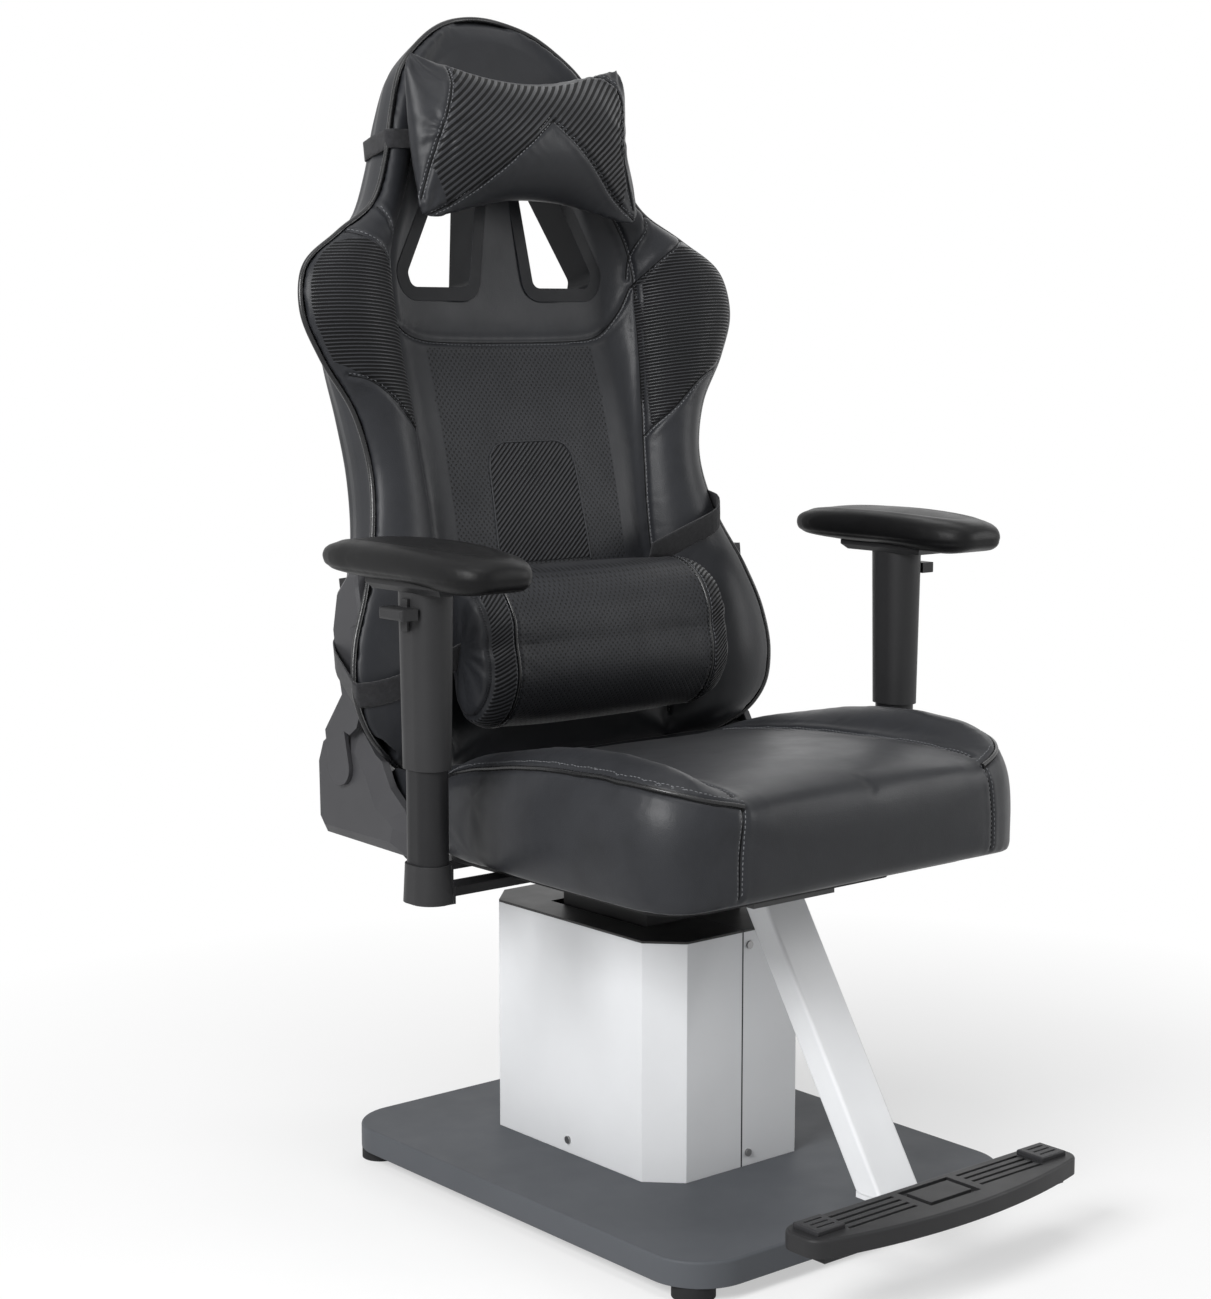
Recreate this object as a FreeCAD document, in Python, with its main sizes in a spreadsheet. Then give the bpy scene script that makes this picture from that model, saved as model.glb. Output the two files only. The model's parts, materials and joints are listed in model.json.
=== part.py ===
import FreeCAD, Part
import math
import os
import Sketcher
from FreeCAD import Vector

# An ophthalmic examination chair: a racing-style seat on an electric lift column, in millimetres.
# The chair faces -Y and stands on z = 0. Left and right are the seated person's own.

SIZES = {
    # Base plate and feet
    "plate_wide": 472.0,
    "plate_long": 602.0,
    "plate_thick": 27.0,
    "plate_ahead": 343.0,
    "plate_corner": 60.0,
    "plate_edge": 3.0,
    "foot_radius": 22.0,
    "foot_high": 15.0,
    "foot_inset_x": 31.0,
    "foot_inset_y": 36.0,
    "foot_stem_radius": 6.0,
    "foot_stem_long": 14.0,
    "stem_gap": 0.2,
    # Housing of the lift
    "housing_back": 72.0,
    "housing_wide": 225.0,
    "housing_long": 311.0,
    "housing_high": 260.0,
    "housing_chamfer": 33.5,
    "housing_wall": 2.0,
    "cover_thick": 2.5,
    "seam_gap": 0.8,
    "hole_wide": 144.0,
    "hole_long": 160.0,
    "post_wide": 40.0,
    "post_thick": 3.0,
    "post_foot": 22.0,
    "screw_seam_inset": 9.0,
    "screw_top_drop": 17.0,
    "screw_low_rise": 14.5,
    "screw_head_radius": 4.2,
    "screw_head_high": 2.2,
    "screw_shank_radius": 2.0,
    "screw_shank_long": 6.0,
    "screw_gap": 0.2,
    # Column, mast and drive
    "column_ahead": 8.0,
    "column_wide": 136.0,
    "column_long": 140.0,
    "column_wall": 4.0,
    "column_top_thick": 8.0,
    "column_bottom_rise": 44.0,
    "mast_wide": 116.0,
    "mast_long": 120.0,
    "mast_wall": 5.0,
    "mast_flange_wide": 190.0,
    "mast_flange_long": 168.0,
    "mast_flange_thick": 8.0,
    "mast_top_drop": 2.0,
    "bolt_inset_x": 15.0,
    "bolt_inset_y": 12.0,
    "base_bolt_radius": 6.0,
    "base_bolt_head_radius": 10.5,
    "base_bolt_head_high": 7.5,
    "base_bolt_long": 26.0,
    "pad_gap": 0.3,
    "mast_pad_high": 30.0,
    "mast_pad_wide": 60.0,
    "mast_pad_drop": 2.0,
    "column_pad_high": 22.0,
    "column_pad_rise": 2.0,
    "gear_high": 30.0,
    "gear_wide": 76.0,
    "gear_slot_gap": 0.5,
    "motor_back": 116.0,
    "motor_radius": 31.0,
    "motor_high": 116.0,
    "motor_cap_radius": 26.0,
    "motor_cap_high": 12.0,
    "screw_radius": 10.0,
    "screw_journal_radius": 8.0,
    "screw_journal_long": 14.0,
    "screw_collar_radius": 15.0,
    "screw_collar_high": 8.0,
    "screw_top_drop_column": 6.0,
    "shaft_gap": 0.06,
    "nut_radius": 22.0,
    "nut_high": 36.0,
    "nut_flange_radius": 30.0,
    "nut_flange_high": 8.0,
    "nut_rise": 10.0,
    "nut_tube_wall": 4.0,
    "nut_tube_flange_radius": 36.0,
    "nut_tube_flange_high": 6.0,
    "lift_travel": 200.0,
    "box_wide": 110.0,
    "box_deep": 46.0,
    "box_high": 140.0,
    "box_gap": 6.0,
    "inlet_off": 60.0,
    "inlet_rise": 60.0,
    "inlet_wide": 48.0,
    "inlet_high": 66.0,
    "inlet_face_thick": 2.5,
    "inlet_body_wide": 32.0,
    "inlet_body_high": 56.0,
    "inlet_body_deep": 26.0,
    "inlet_mouth_wide": 24.0,
    "inlet_mouth_high": 17.0,
    "inlet_mouth_deep": 18.0,
    "inlet_pin_wide": 2.2,
    "inlet_pin_high": 4.5,
    "inlet_pin_long": 13.0,
    "inlet_pin_pitch": 7.0,
    "rocker_wide": 13.0,
    "rocker_high": 19.0,
    "rocker_deep": 8.0,
    "rocker_rise": 15.0,
    "rocker_gap": 0.6,
    "rocker_tilt": 7.0,
    # Seat carriage
    "mount_low": 354.0,
    "mount_thick": 8.0,
    "mount_wide": 280.0,
    "mount_front": 165.0,
    "mount_back": 160.0,
    "mount_corner": 12.0,
    "mount_bolt_pitch": 90.0,
    "mount_bolt_radius": 5.0,
    "mount_bolt_head_radius": 8.5,
    "mount_bolt_head_high": 6.0,
    "mount_bolt_long": 14.0,
    "rail_high": 10.0,
    "rail_wide": 260.0,
    "front_rail_y": 90.0,
    "rear_rail_y": 125.0,
    "rail_deep": 30.0,
    "pan_thick": 10.0,
    "pan_wide": 444.0,
    "pan_front": 215.0,
    "pan_back": 160.0,
    "pan_corner": 40.0,
    "seat_half": 262.0,
    "seat_front": 273.0,
    "seat_back": 168.0,
    "seat_high": 142.0,
    # Footrest
    "strut_wide": 57.0,
    "strut_thick": 37.1,
    "strut_wall": 2.5,
    "strut_corner": 4.0,
    "strut_slope_share": 0.6283,
    "strut_foot_y": 364.9,
    "strut_flange_thick": 6.0,
    "strut_flange_wide": 116.0,
    "strut_flange_long": 66.0,
    "strut_bolt_inset": 14.0,
    "bar_half": 190.0,
    "bar_top": 94.0,
    "bar_thick": 18.0,
    "bar_rear": 336.0,
    "bar_depth": 76.0,
    "bar_end_depth": 50.0,
    "bar_corner": 18.0,
    "bar_edge": 3.0,
    "bar_lip": 6.0,
    "bar_groove_deep": 2.2,
    "bar_groove_wide": 4.6,
    "bar_groove_pitch": 10.4,
    "bar_groove_start": 46.0,
    "bar_groove_end": 139.0,
    "bar_recess_half": 36.0,
    "bar_recess_long": 46.0,
    "bar_recess_deep": 3.5,
    "bar_recess_inset": 8.0,
    "insert_gap": 7.0,
    "insert_high": 3.2,
    "bumper_high": 9.0,
    "bumper_inner": 118.0,
    "bumper_outer": 172.0,
    "bracket_thick": 6.0,
    "bracket_wide": 54.0,
    "bracket_front": 398.0,
    "tread_inner": 142.0,
    "tread_outer": 178.0,
    "tread_long": 34.0,
    "tread_high": 5.0,
    "tread_edge": 1.5,
    "tread_bar_wide": 3.2,
    "tread_bar_deep": 1.4,
    # Armrests
    "arm_half": 335.0,
    "arm_y": 19.0,
    "arm_bar_front": 32.0,
    "arm_bar_deep": 27.0,
    "arm_bar_inner": 100.0,
    "arm_ear_thick": 8.0,
    "arm_ear_high": 18.0,
    "socket_bottom": 366.0,
    "socket_high": 39.0,
    "socket_low_x": 22.0,
    "socket_low_y": 27.5,
    "socket_top_x": 20.0,
    "socket_top_y": 25.5,
    "socket_rib_wide": 6.0,
    "socket_rib_out": 5.0,
    "post_half_x": 17.5,
    "post_half_y": 23.5,
    "post_seat": 12.0,
    "post_top": 586.0,
    "post_gap": 0.3,
    "sleeve_bottom": 501.0,
    "sleeve_top": 678.0,
    "sleeve_low_x": 20.5,
    "sleeve_low_y": 27.0,
    "sleeve_top_x": 23.0,
    "sleeve_top_y": 30.0,
    "sleeve_roof": 6.0,
    "arm_plate_half_x": 29.0,
    "arm_plate_half_y": 62.0,
    "arm_plate_thick": 11.0,
    "arm_plate_bevel": 6.0,
    "rest_half_x": 49.0,
    "rest_long": 274.0,
    "rest_high": 40.0,
    "rest_y": 22.0,
    "button_half_y": 20.0,
    "button_out": 20.0,
    "button_thick": 12.0,
    "button_z": 652.0,
    "button_stem_half_y": 5.5,
    "button_stem_low": 640.0,
    "button_stem_high": 32.0,
    "button_stem_thick": 3.0,
    "button_gap": 0.4,
    # Recliner
    "pivot_y": 259.0,
    "pivot_z": 462.0,
    "lean": 9.29,
    "back_side": 250.0,
    "bracket_skin": 4.0,
    "bracket_gap": 0.5,
    "pin_radius": 6.0,
    "pin_head_radius": 11.0,
    "pin_head_high": 5.0,
    "sector_radius": 35.0,
    "sector_tooth": 3.0,
    "sector_pitch": 6.0,
    "pawl_arm_y": 44.0,
    "pawl_arm_z": 32.0,
    "pawl_lift": 0.6,
    "pawl_boss_radius": 11.0,
    "stud_radius": 5.0,
    "stud_nut_radius": 8.5,
    "stud_nut_high": 6.0,
    "rod_radius": 5.0,
    "lower_shell_deep": 15.0,
    "lower_shell_bevel": 6.0,
    "upper_shell_bevel": 3.0,
    "shell_wall": 2.5,
    "tongue_radius": 19.5,
    "tongue_thick": 5.0,
        "lever_out": 8.0,
    "lever_thick": 7.0,
    "lever_high": 24.0,
    "lever_long": 178.0,
    "lever_grip_long": 96.0,
    "lever_grip_thick": 13.0,
    # Backrest, in its own upright frame: x across, d to the rear of the pivot, and up
    "back_low": 20.0,
    "back_high": 845.0,
    "back_half": 300.0,
    "back_face": 43.0,
    "back_ridge": 50.0,
    "back_dish": 26.0,
    "back_piping": 33.0,
    "back_split": 4.0,
    "back_rear": 22.0,
    "back_step": 40.0,
    "back_joint_gap": 0.3,
    "back_rear_round": 12.0,
    "tray_wall": 5.0,
    "tray_inset": 14.0,
    "frame_radius": 9.5,
    "frame_bend": 60.0,
    "lug_thick": 5.0,
    "lug_low": 58.0,
    "lug_high": 204.0,
    "lug_front": 60.0,
    "notch_front": 74.8,
    "notch_high": 212.0,
    "trim_flange": 15.5,
    "trim_flange_thick": 3.0,
    "trim_wall": 2.5,
    "trim_nose_thick": 7.0,
    "trim_nose_depth": 14.0,
    "trim_turn": 1.0,
    "trim_tip": 5.0,
    "trim_low": 506.0,
    "trim_top": 655.0,
    "trim_corner": 26.0,
    "pillow_half": 156.0,
    "pillow_end_high": 190.0,
    "pillow_mid_z": 674.0,
    "pillow_thick": 106.0,
    "pillow_d": 84.5,
    "strap_wide": 21.0,
    "strap_thick": 1.6,
    "strap_gap": 0.5,
    "head_strap_z": 679.0,
    "lumbar_half": 178.0,
    "lumbar_high": 174.0,
    "lumbar_thick": 104.0,
    "lumbar_z": 110.0,
    "lumbar_d": 52.0,
    "lumbar_strap_wide": 30.0,
    "lumbar_strap_z": 212.0,
    # One overrun for every through cut
    "overrun": 1.0,
}

# How far a corner of the octagon moves along its side when the side moves in
MITRE_SHARE = math.sqrt(2) - 1

doc = FreeCAD.newDocument("examination_chair")
sheet = doc.addObject("Spreadsheet::Sheet", "Sizes")
NODES = []


class Size:
    """A number that also carries the spreadsheet formula it comes from."""

    def __init__(self, value, text):
        self.value = float(value)
        self.text = text

    def __float__(self):
        return self.value

    def __neg__(self):
        return Size(-self.value, f"(0 - {self.text})")

    def __add__(self, other):
        other = as_size(other)
        return Size(self.value + other.value, f"({self.text} + {other.text})")

    def __sub__(self, other):
        other = as_size(other)
        return Size(self.value - other.value, f"({self.text} - {other.text})")

    def __rsub__(self, other):
        return as_size(other) - self

    def __mul__(self, other):
        other = as_size(other)
        return Size(self.value * other.value, f"({self.text} * {other.text})")

    def __truediv__(self, other):
        other = as_size(other)
        return Size(self.value / other.value, f"({self.text} / {other.text})")

    __radd__ = __add__
    __rmul__ = __mul__


def as_size(value):
    if isinstance(value, Size):
        return value
    return Size(value, repr(float(value)))


class Sizes:
    """The sheet's aliases as attributes, such as size.plate_wide."""

    def __init__(self):
        for row, (alias, value) in enumerate(SIZES.items(), start=1):
            sheet.set(f"A{row}", alias)
            sheet.set(f"B{row}", str(value))
            sheet.setAlias(f"B{row}", alias)
            setattr(self, alias, Size(value, f"Sizes.{alias}"))


size = Sizes()
doc.recompute()
ZERO = as_size(0)


def sine(angle):
    return Size(math.sin(math.radians(float(angle))), f"sin({angle.text} * 1deg)")


def cosine(angle):
    return Size(math.cos(math.radians(float(angle))), f"cos({angle.text} * 1deg)")


def bind(thing, prop, value):
    """Ties one property of a document object to the sheet."""
    thing.setExpression(prop, as_size(value).text)


def move(thing, x=0, y=0, z=0):
    """Binds a placement's position to the sheet."""
    for axis, value in zip("xyz", (x, y, z)):
        bind(thing, f".Placement.Base.{axis}", value)
    return thing


def lean_back(thing):
    """Tips a piece built upright about the recliner's axis to the backrest's rest angle."""
    thing.Placement = FreeCAD.Placement(Vector(), FreeCAD.Rotation(Vector(-1, 0, 0), 1))
    bind(thing, ".Placement.Rotation.Angle", Size(float(size.lean), f"{size.lean.text} * 1deg"))
    return move(thing, 0, size.pivot_y, size.pivot_z)


def node(thing, label):
    """Names a finished sub-part and puts it on the list of files."""
    thing.Label = label
    NODES.append(thing)
    return thing


# Primitives and booleans


def block(name, x, y, z):
    """A box from three pairs of limits."""
    box = doc.addObject("Part::Box", name)
    for prop, (low, high) in zip(("Length", "Width", "Height"), (x, y, z)):
        bind(box, prop, as_size(high) - as_size(low))
    return move(box, x[0], y[0], z[0])


def rod(name, radius, low, high, x=0, y=0):
    """An upright cylinder between two heights."""
    cylinder = doc.addObject("Part::Cylinder", name)
    bind(cylinder, "Radius", radius)
    bind(cylinder, "Height", as_size(high) - as_size(low))
    return move(cylinder, x, y, low)


def cross_rod(name, radius, low, high, y=0, z=0):
    """A cylinder along X between two places."""
    cylinder = doc.addObject("Part::Cylinder", name)
    cylinder.Placement = FreeCAD.Placement(Vector(), FreeCAD.Rotation(Vector(0, 0, 1), Vector(1, 0, 0)))
    bind(cylinder, "Radius", radius)
    bind(cylinder, "Height", as_size(high) - as_size(low))
    return move(cylinder, low, y, z)


def long_rod(name, radius, low, high, x=0, z=0):
    """A cylinder along Y between two places."""
    cylinder = doc.addObject("Part::Cylinder", name)
    cylinder.Placement = FreeCAD.Placement(Vector(), FreeCAD.Rotation(Vector(0, 0, 1), Vector(0, 1, 0)))
    bind(cylinder, "Radius", radius)
    bind(cylinder, "Height", as_size(high) - as_size(low))
    return move(cylinder, x, low, z)


def compound(name, parts):
    group = doc.addObject("Part::Compound", name)
    group.Links = parts
    return group


def fuse(name, parts):
    joined = doc.addObject("Part::MultiFuse", name)
    joined.Shapes = parts
    return joined


def cut(name, base, tools):
    """Base less every tool."""
    result = doc.addObject("Part::Cut", name)
    result.Base = base
    result.Tool = tools[0] if len(tools) == 1 else compound(name + "_tools", tools)
    return result


def mirror(thing, label):
    """The same piece for the other side of the chair."""
    twin = doc.addObject("Part::Mirroring", label)
    twin.Source = thing
    twin.Base = Vector(0, 0, 0)
    twin.Normal = Vector(1, 0, 0)
    return node(twin, label)


# Bodies made of sketches and features


def new_body(name):
    return doc.addObject("PartDesign::Body", name)


def origin_plane(body, role):
    return [feature for feature in body.Origin.OriginFeatures if feature.Role == role][0]


def sketch(body, role, lift=0):
    """An empty sketch on one of the body's own origin planes, lifted along its normal."""
    drawing = body.newObject("Sketcher::SketchObject", body.Name + "_sketch")
    drawing.AttachmentSupport = [(origin_plane(body, role), "")]
    drawing.MapMode = "FlatFace"
    bind(drawing, ".AttachmentOffset.Base.z", lift)
    return drawing


def place_point(drawing, geometry, end, x, y):
    """Fixes one point of a sketch by two bound distances from its origin."""
    for kind, value in (("DistanceX", as_size(x)), ("DistanceY", as_size(y))):
        index = drawing.addConstraint(Sketcher.Constraint(kind, -1, 1, geometry, end, float(value)))
        drawing.setExpression(f"Constraints[{index}]", value.text)


def flat(point):
    return Vector(float(point[0]), float(point[1]), 0)


def outline(drawing, corners):
    """A closed outline. A corner (x, y) starts a straight side, and (x, y, via_x, via_y) an arc."""
    first = drawing.GeometryCount
    ends = []
    arcs = []
    for index, corner in enumerate(corners):
        start = flat(corner)
        stop = flat(corners[(index + 1) % len(corners)])
        if len(corner) == 2:
            drawing.addGeometry(Part.LineSegment(start, stop), False)
            ends.append((1, 2))
            continue
        via = flat(corner[2:])
        turn = (via - start).cross(stop - via).z
        if turn > 0:
            drawing.addGeometry(Part.Arc(start, via, stop), False)
            ends.append((1, 2))
        else:
            drawing.addGeometry(Part.Arc(stop, via, start), False)
            ends.append((2, 1))
        arcs.append((first + index, corner[2], corner[3]))
    for index in range(len(corners)):
        after = (index + 1) % len(corners)
        drawing.addConstraint(
            Sketcher.Constraint("Coincident", first + index, ends[index][1], first + after, ends[after][0])
        )
    for index, corner in enumerate(corners):
        place_point(drawing, first + index, ends[index][0], corner[0], corner[1])
    for geometry, x, y in arcs:
        point = drawing.addGeometry(Part.Point(flat((x, y))), True)
        place_point(drawing, point, 1, x, y)
        drawing.addConstraint(Sketcher.Constraint("PointOnObject", point, 1, geometry))


def circle(drawing, x, y, radius):
    geometry = drawing.addGeometry(Part.Circle(flat((x, y)), Vector(0, 0, 1), float(radius)), False)
    place_point(drawing, geometry, 3, x, y)
    index = drawing.addConstraint(Sketcher.Constraint("Radius", geometry, float(radius)))
    drawing.setExpression(f"Constraints[{index}]", as_size(radius).text)


def stadium(drawing, half_x, half_y, x=0, y=0):
    """An oval of two straight sides and two round ends, long in the sketch's second direction."""
    straight = half_y - half_x
    outline(
        drawing,
        [
            (x + half_x, y - straight),
            (x + half_x, y + straight, x + ZERO, y + half_y),
            (x - half_x, y + straight),
            (x - half_x, y - straight, x + ZERO, y - half_y),
        ],
    )


def rectangle(drawing, x, y):
    outline(drawing, [(x[0], y[0]), (x[1], y[0]), (x[1], y[1]), (x[0], y[1])])


def pad(body, drawing, length):
    feature = body.newObject("PartDesign::Pad", body.Name + "_pad")
    feature.Profile = drawing
    bind(feature, "Length", length)
    body.Tip = feature
    doc.recompute()
    return feature


def pocket(body, drawing, depth, backwards=False):
    """A pocket whose cut is checked by the volume it takes."""
    before = body.Shape.Volume
    feature = body.newObject("PartDesign::Pocket", body.Name + "_pocket")
    feature.Profile = drawing
    bind(feature, "Length", depth)
    feature.Reversed = backwards
    body.Tip = feature
    doc.recompute()
    if not body.Shape.Volume < before:
        raise RuntimeError(f"the pocket {feature.Name} cuts nothing")
    return feature


def loft(body, low, high):
    feature = body.newObject("PartDesign::AdditiveLoft", body.Name + "_loft")
    feature.Profile = low
    feature.Sections = [high]
    feature.Ruled = True
    body.Tip = feature
    doc.recompute()
    return feature


def edges_where(feature, test):
    """The names of the edges whose shape passes a test."""
    return [f"Edge{number}" for number, edge in enumerate(feature.Shape.Edges, start=1) if test(edge)]


def round_edges(body, feature, test, radius, kind="PartDesign::Fillet"):
    names = edges_where(feature, test)
    result = body.newObject(kind, body.Name + "_edges")
    result.Base = (feature, names)
    bind(result, "Radius" if kind.endswith("Fillet") else "Size", radius)
    body.Tip = result
    doc.recompute()
    return result


def upright(edge):
    """True for an edge along Z."""
    run = edge.Vertexes[-1].Point - edge.Vertexes[0].Point
    return run.Length > 0 and abs(run.z) > 0.99 * run.Length


def at_height(height):
    """A test for edges that lie in one level plane."""
    near = float(size.overrun) / 100
    return lambda edge: all(abs(vertex.Z - float(height)) < near for vertex in edge.Vertexes)


# Shapes made from rows of sections


def arc(start, via, stop):
    return Part.Arc(start, via, stop).toShape()


def line(start, stop):
    return Part.LineSegment(start, stop).toShape()


def solid_loft(sections, ruled=False):
    """One closed solid through a row of wires."""
    shape = Part.makeLoft(sections, True, ruled, False)
    if shape.Volume < 0:
        shape.reverse()
    return shape


LOCAL = {}


def shape_node(name, shape):
    """A document object that holds a shape worked out from the sheet."""
    thing = doc.addObject("Part::Feature", name)
    thing.Shape = shape
    LOCAL[name] = shape.copy()
    return thing


# Heights that several pieces share

plate_top = size.foot_high + size.plate_thick
housing_top = plate_top + size.housing_high
column_y = size.housing_back - size.column_ahead
column_bottom = plate_top + size.column_bottom_rise
mount_bottom = size.mount_low
mount_top = mount_bottom + size.mount_thick
pan_bottom = mount_top + size.rail_high
pan_top = pan_bottom + size.pan_thick
column_top = mount_bottom
gear_bottom = plate_top + size.mast_flange_thick
gear_top = gear_bottom + size.gear_high
plate_front = size.housing_back - size.plate_ahead
plate_rear = plate_front + size.plate_long
plate_middle = plate_front + size.plate_long / 2


# Base plate and feet


def foot_places():
    x = size.plate_wide / 2 - size.foot_inset_x
    rise = size.plate_long / 2 - size.foot_inset_y
    return [(sx * x, plate_middle + sy * rise) for sx in (-1, 1) for sy in (-1, 1)]


def base_bolt_places():
    x = size.mast_flange_wide / 2 - size.bolt_inset_x
    y = size.mast_flange_long / 2 - size.bolt_inset_y
    return [(sx * x, column_y + sy * y) for sx in (-1, 1) for sy in (-1, 1)]


def base_plate():
    body = new_body("base_plate")
    drawing = sketch(body, "XY_Plane", size.foot_high)
    half = size.plate_wide / 2
    rectangle(drawing, (-half, half), (plate_front, plate_rear))
    slab = pad(body, drawing, size.plate_thick)
    slab = round_edges(body, slab, upright, size.plate_corner)
    round_edges(body, slab, at_height(plate_top), size.plate_edge)
    stems = sketch(body, "XY_Plane", size.foot_high)
    for x, y in foot_places():
        circle(stems, x, y, size.foot_stem_radius + size.stem_gap)
    pocket(body, stems, size.foot_stem_long + size.overrun, backwards=True)
    bolts = sketch(body, "XY_Plane", plate_top)
    for x, y in base_bolt_places():
        circle(bolts, x, y, size.base_bolt_radius + size.stem_gap)
    pocket(body, bolts, size.base_bolt_long - size.mast_flange_thick + size.overrun)
    node(body, "base_plate")


def leveling_feet():
    feet = []
    for number, (x, y) in enumerate(foot_places(), start=1):
        puck = rod(f"foot_{number}_puck", size.foot_radius, 0, size.foot_high, x, y)
        top = size.foot_high + size.foot_stem_long
        stem = rod(f"foot_{number}_stem", size.foot_stem_radius, size.foot_high / 2, top, x, y)
        feet.append(fuse(f"foot_{number}", [puck, stem]))
    node(compound("leveling_feet", feet), "leveling_feet")


# Housing


def half_octagon(inset=0):
    """The housing's outline on its left half, from the front seam round to the rear seam."""
    inset = as_size(inset)
    wide = size.housing_wide / 2
    long = size.housing_long / 2
    corner = size.housing_chamfer + inset * MITRE_SHARE
    return [
        (size.seam_gap / 2, inset - long),
        (wide - corner, inset - long),
        (wide - inset, corner - long),
        (wide - inset, long - corner),
        (wide - corner, long - inset),
        (size.seam_gap / 2, long - inset),
    ]


def wall_hole(name, x, z, face_y, radius):
    """A tool along Y through the housing's front or rear wall and the post behind it."""
    reach = size.housing_wall + size.post_thick + size.overrun
    return long_rod(name, radius, face_y - reach, face_y + reach, x, z)


def seam_screw_heights():
    return [housing_top - size.screw_top_drop, plate_top + size.screw_low_rise]


def housing_half(label, turned, inlet):
    """One folded half of the housing, drawn about the housing's centre."""
    body = new_body(label + "_sheet")
    drawing = sketch(body, "XY_Plane", plate_top)
    outline(drawing, half_octagon() + half_octagon(size.housing_wall)[::-1])
    pad(body, drawing, size.housing_high - size.cover_thick)
    radius = size.screw_shank_radius + size.screw_gap
    tools = []
    for number, z in enumerate(seam_screw_heights()):
        face = -size.housing_long / 2
        tools.append(wall_hole(f"{label}_hole_{number}", size.screw_seam_inset, z, face, radius))
    reach = size.housing_wide / 2
    low = plate_top + size.screw_low_rise
    tools.append(cross_rod(f"{label}_side_hole", radius, reach / 2, reach + size.overrun, 0, low))
    if inlet:
        gap = size.screw_gap
        half_x = size.inlet_body_wide / 2 + gap
        middle = plate_top + size.inlet_rise
        half_z = size.inlet_body_high / 2 + gap
        rear = size.housing_long / 2
        tools.append(
            block(
                label + "_inlet_hole",
                (size.inlet_off - half_x, size.inlet_off + half_x),
                (rear - size.housing_wall - size.overrun, rear + size.overrun),
                (middle - half_z, middle + half_z),
            )
        )
    half = cut(label, body, tools)
    if turned:
        half.Placement = FreeCAD.Placement(Vector(), FreeCAD.Rotation(Vector(0, 0, 1), 180))
    move(half, 0, size.housing_back, 0)
    return node(half, label)


def top_cover(label, turned):
    """Half of the dark top sheet, with half of the column's hole."""
    body = new_body(label)
    drawing = sketch(body, "XY_Plane", housing_top - size.cover_thick)
    seam = size.seam_gap / 2
    half_x = size.hole_wide / 2
    half_y = size.hole_long / 2
    notch = [(seam, half_y), (half_x, half_y), (half_x, -half_y), (seam, -half_y)]
    outline(drawing, half_octagon() + notch)
    pad(body, drawing, size.cover_thick)
    if turned:
        body.Placement = FreeCAD.Placement(Vector(), FreeCAD.Rotation(Vector(0, 0, 1), 180))
    move(body, 0, size.housing_back, 0)
    return node(body, label)


# The side angles, as shares of the post's foot: their height and the depth of their toe
ANGLE_HIGH_SHARE = 1.2
ANGLE_TOE_SHARE = 0.5


def housing_brackets():
    """Two seam posts and two side angles that the halves are screwed to."""
    parts = []
    inner = size.housing_long / 2 - size.housing_wall
    half = size.post_wide / 2
    top = housing_top - size.cover_thick
    radius = size.screw_shank_radius + size.screw_gap
    for name, side in (("front", -1), ("rear", 1)):
        near = size.housing_back + side * inner
        far = near - side * size.post_thick
        toe = near - side * size.post_foot
        upright_y = (near, far) if side < 0 else (far, near)
        toe_y = (near, toe) if side < 0 else (toe, near)
        post = block(f"{name}_post_bar", (-half, half), upright_y, (plate_top, top))
        shoe = block(f"{name}_post_toe", (-half, half), toe_y, (plate_top, plate_top + size.post_thick))
        tools = [
            wall_hole(f"{name}_post_hole_{number}", -side * size.screw_seam_inset, z, near, radius)
            for number, z in enumerate(seam_screw_heights())
        ]
        parts.append(cut(f"{name}_post", fuse(f"{name}_post_blank", [post, shoe]), tools))
    wall = size.housing_wide / 2 - size.housing_wall
    y = (size.housing_back - half / 2, size.housing_back + half / 2)
    high = plate_top + size.post_foot * ANGLE_HIGH_SHARE
    for name, side in (("left", 1), ("right", -1)):
        near = side * wall
        far = near - side * size.post_thick
        toe = near - side * size.post_foot * ANGLE_TOE_SHARE
        up_x = (far, near) if side > 0 else (near, far)
        toe_x = (toe, near) if side > 0 else (near, toe)
        bar = block(f"{name}_angle_bar", up_x, y, (plate_top, high))
        shoe = block(f"{name}_angle_toe", toe_x, y, (plate_top, plate_top + size.post_thick))
        low = plate_top + size.screw_low_rise
        span = (wall - size.post_foot, wall + size.overrun)
        ends = span if side > 0 else (-span[1], -span[0])
        hole = cross_rod(f"{name}_angle_hole", radius, ends[0], ends[1], size.housing_back, low)
        parts.append(cut(f"{name}_angle", fuse(f"{name}_angle_blank", [bar, shoe]), [hole]))
    node(compound("housing_brackets", parts), "housing_brackets")


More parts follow.
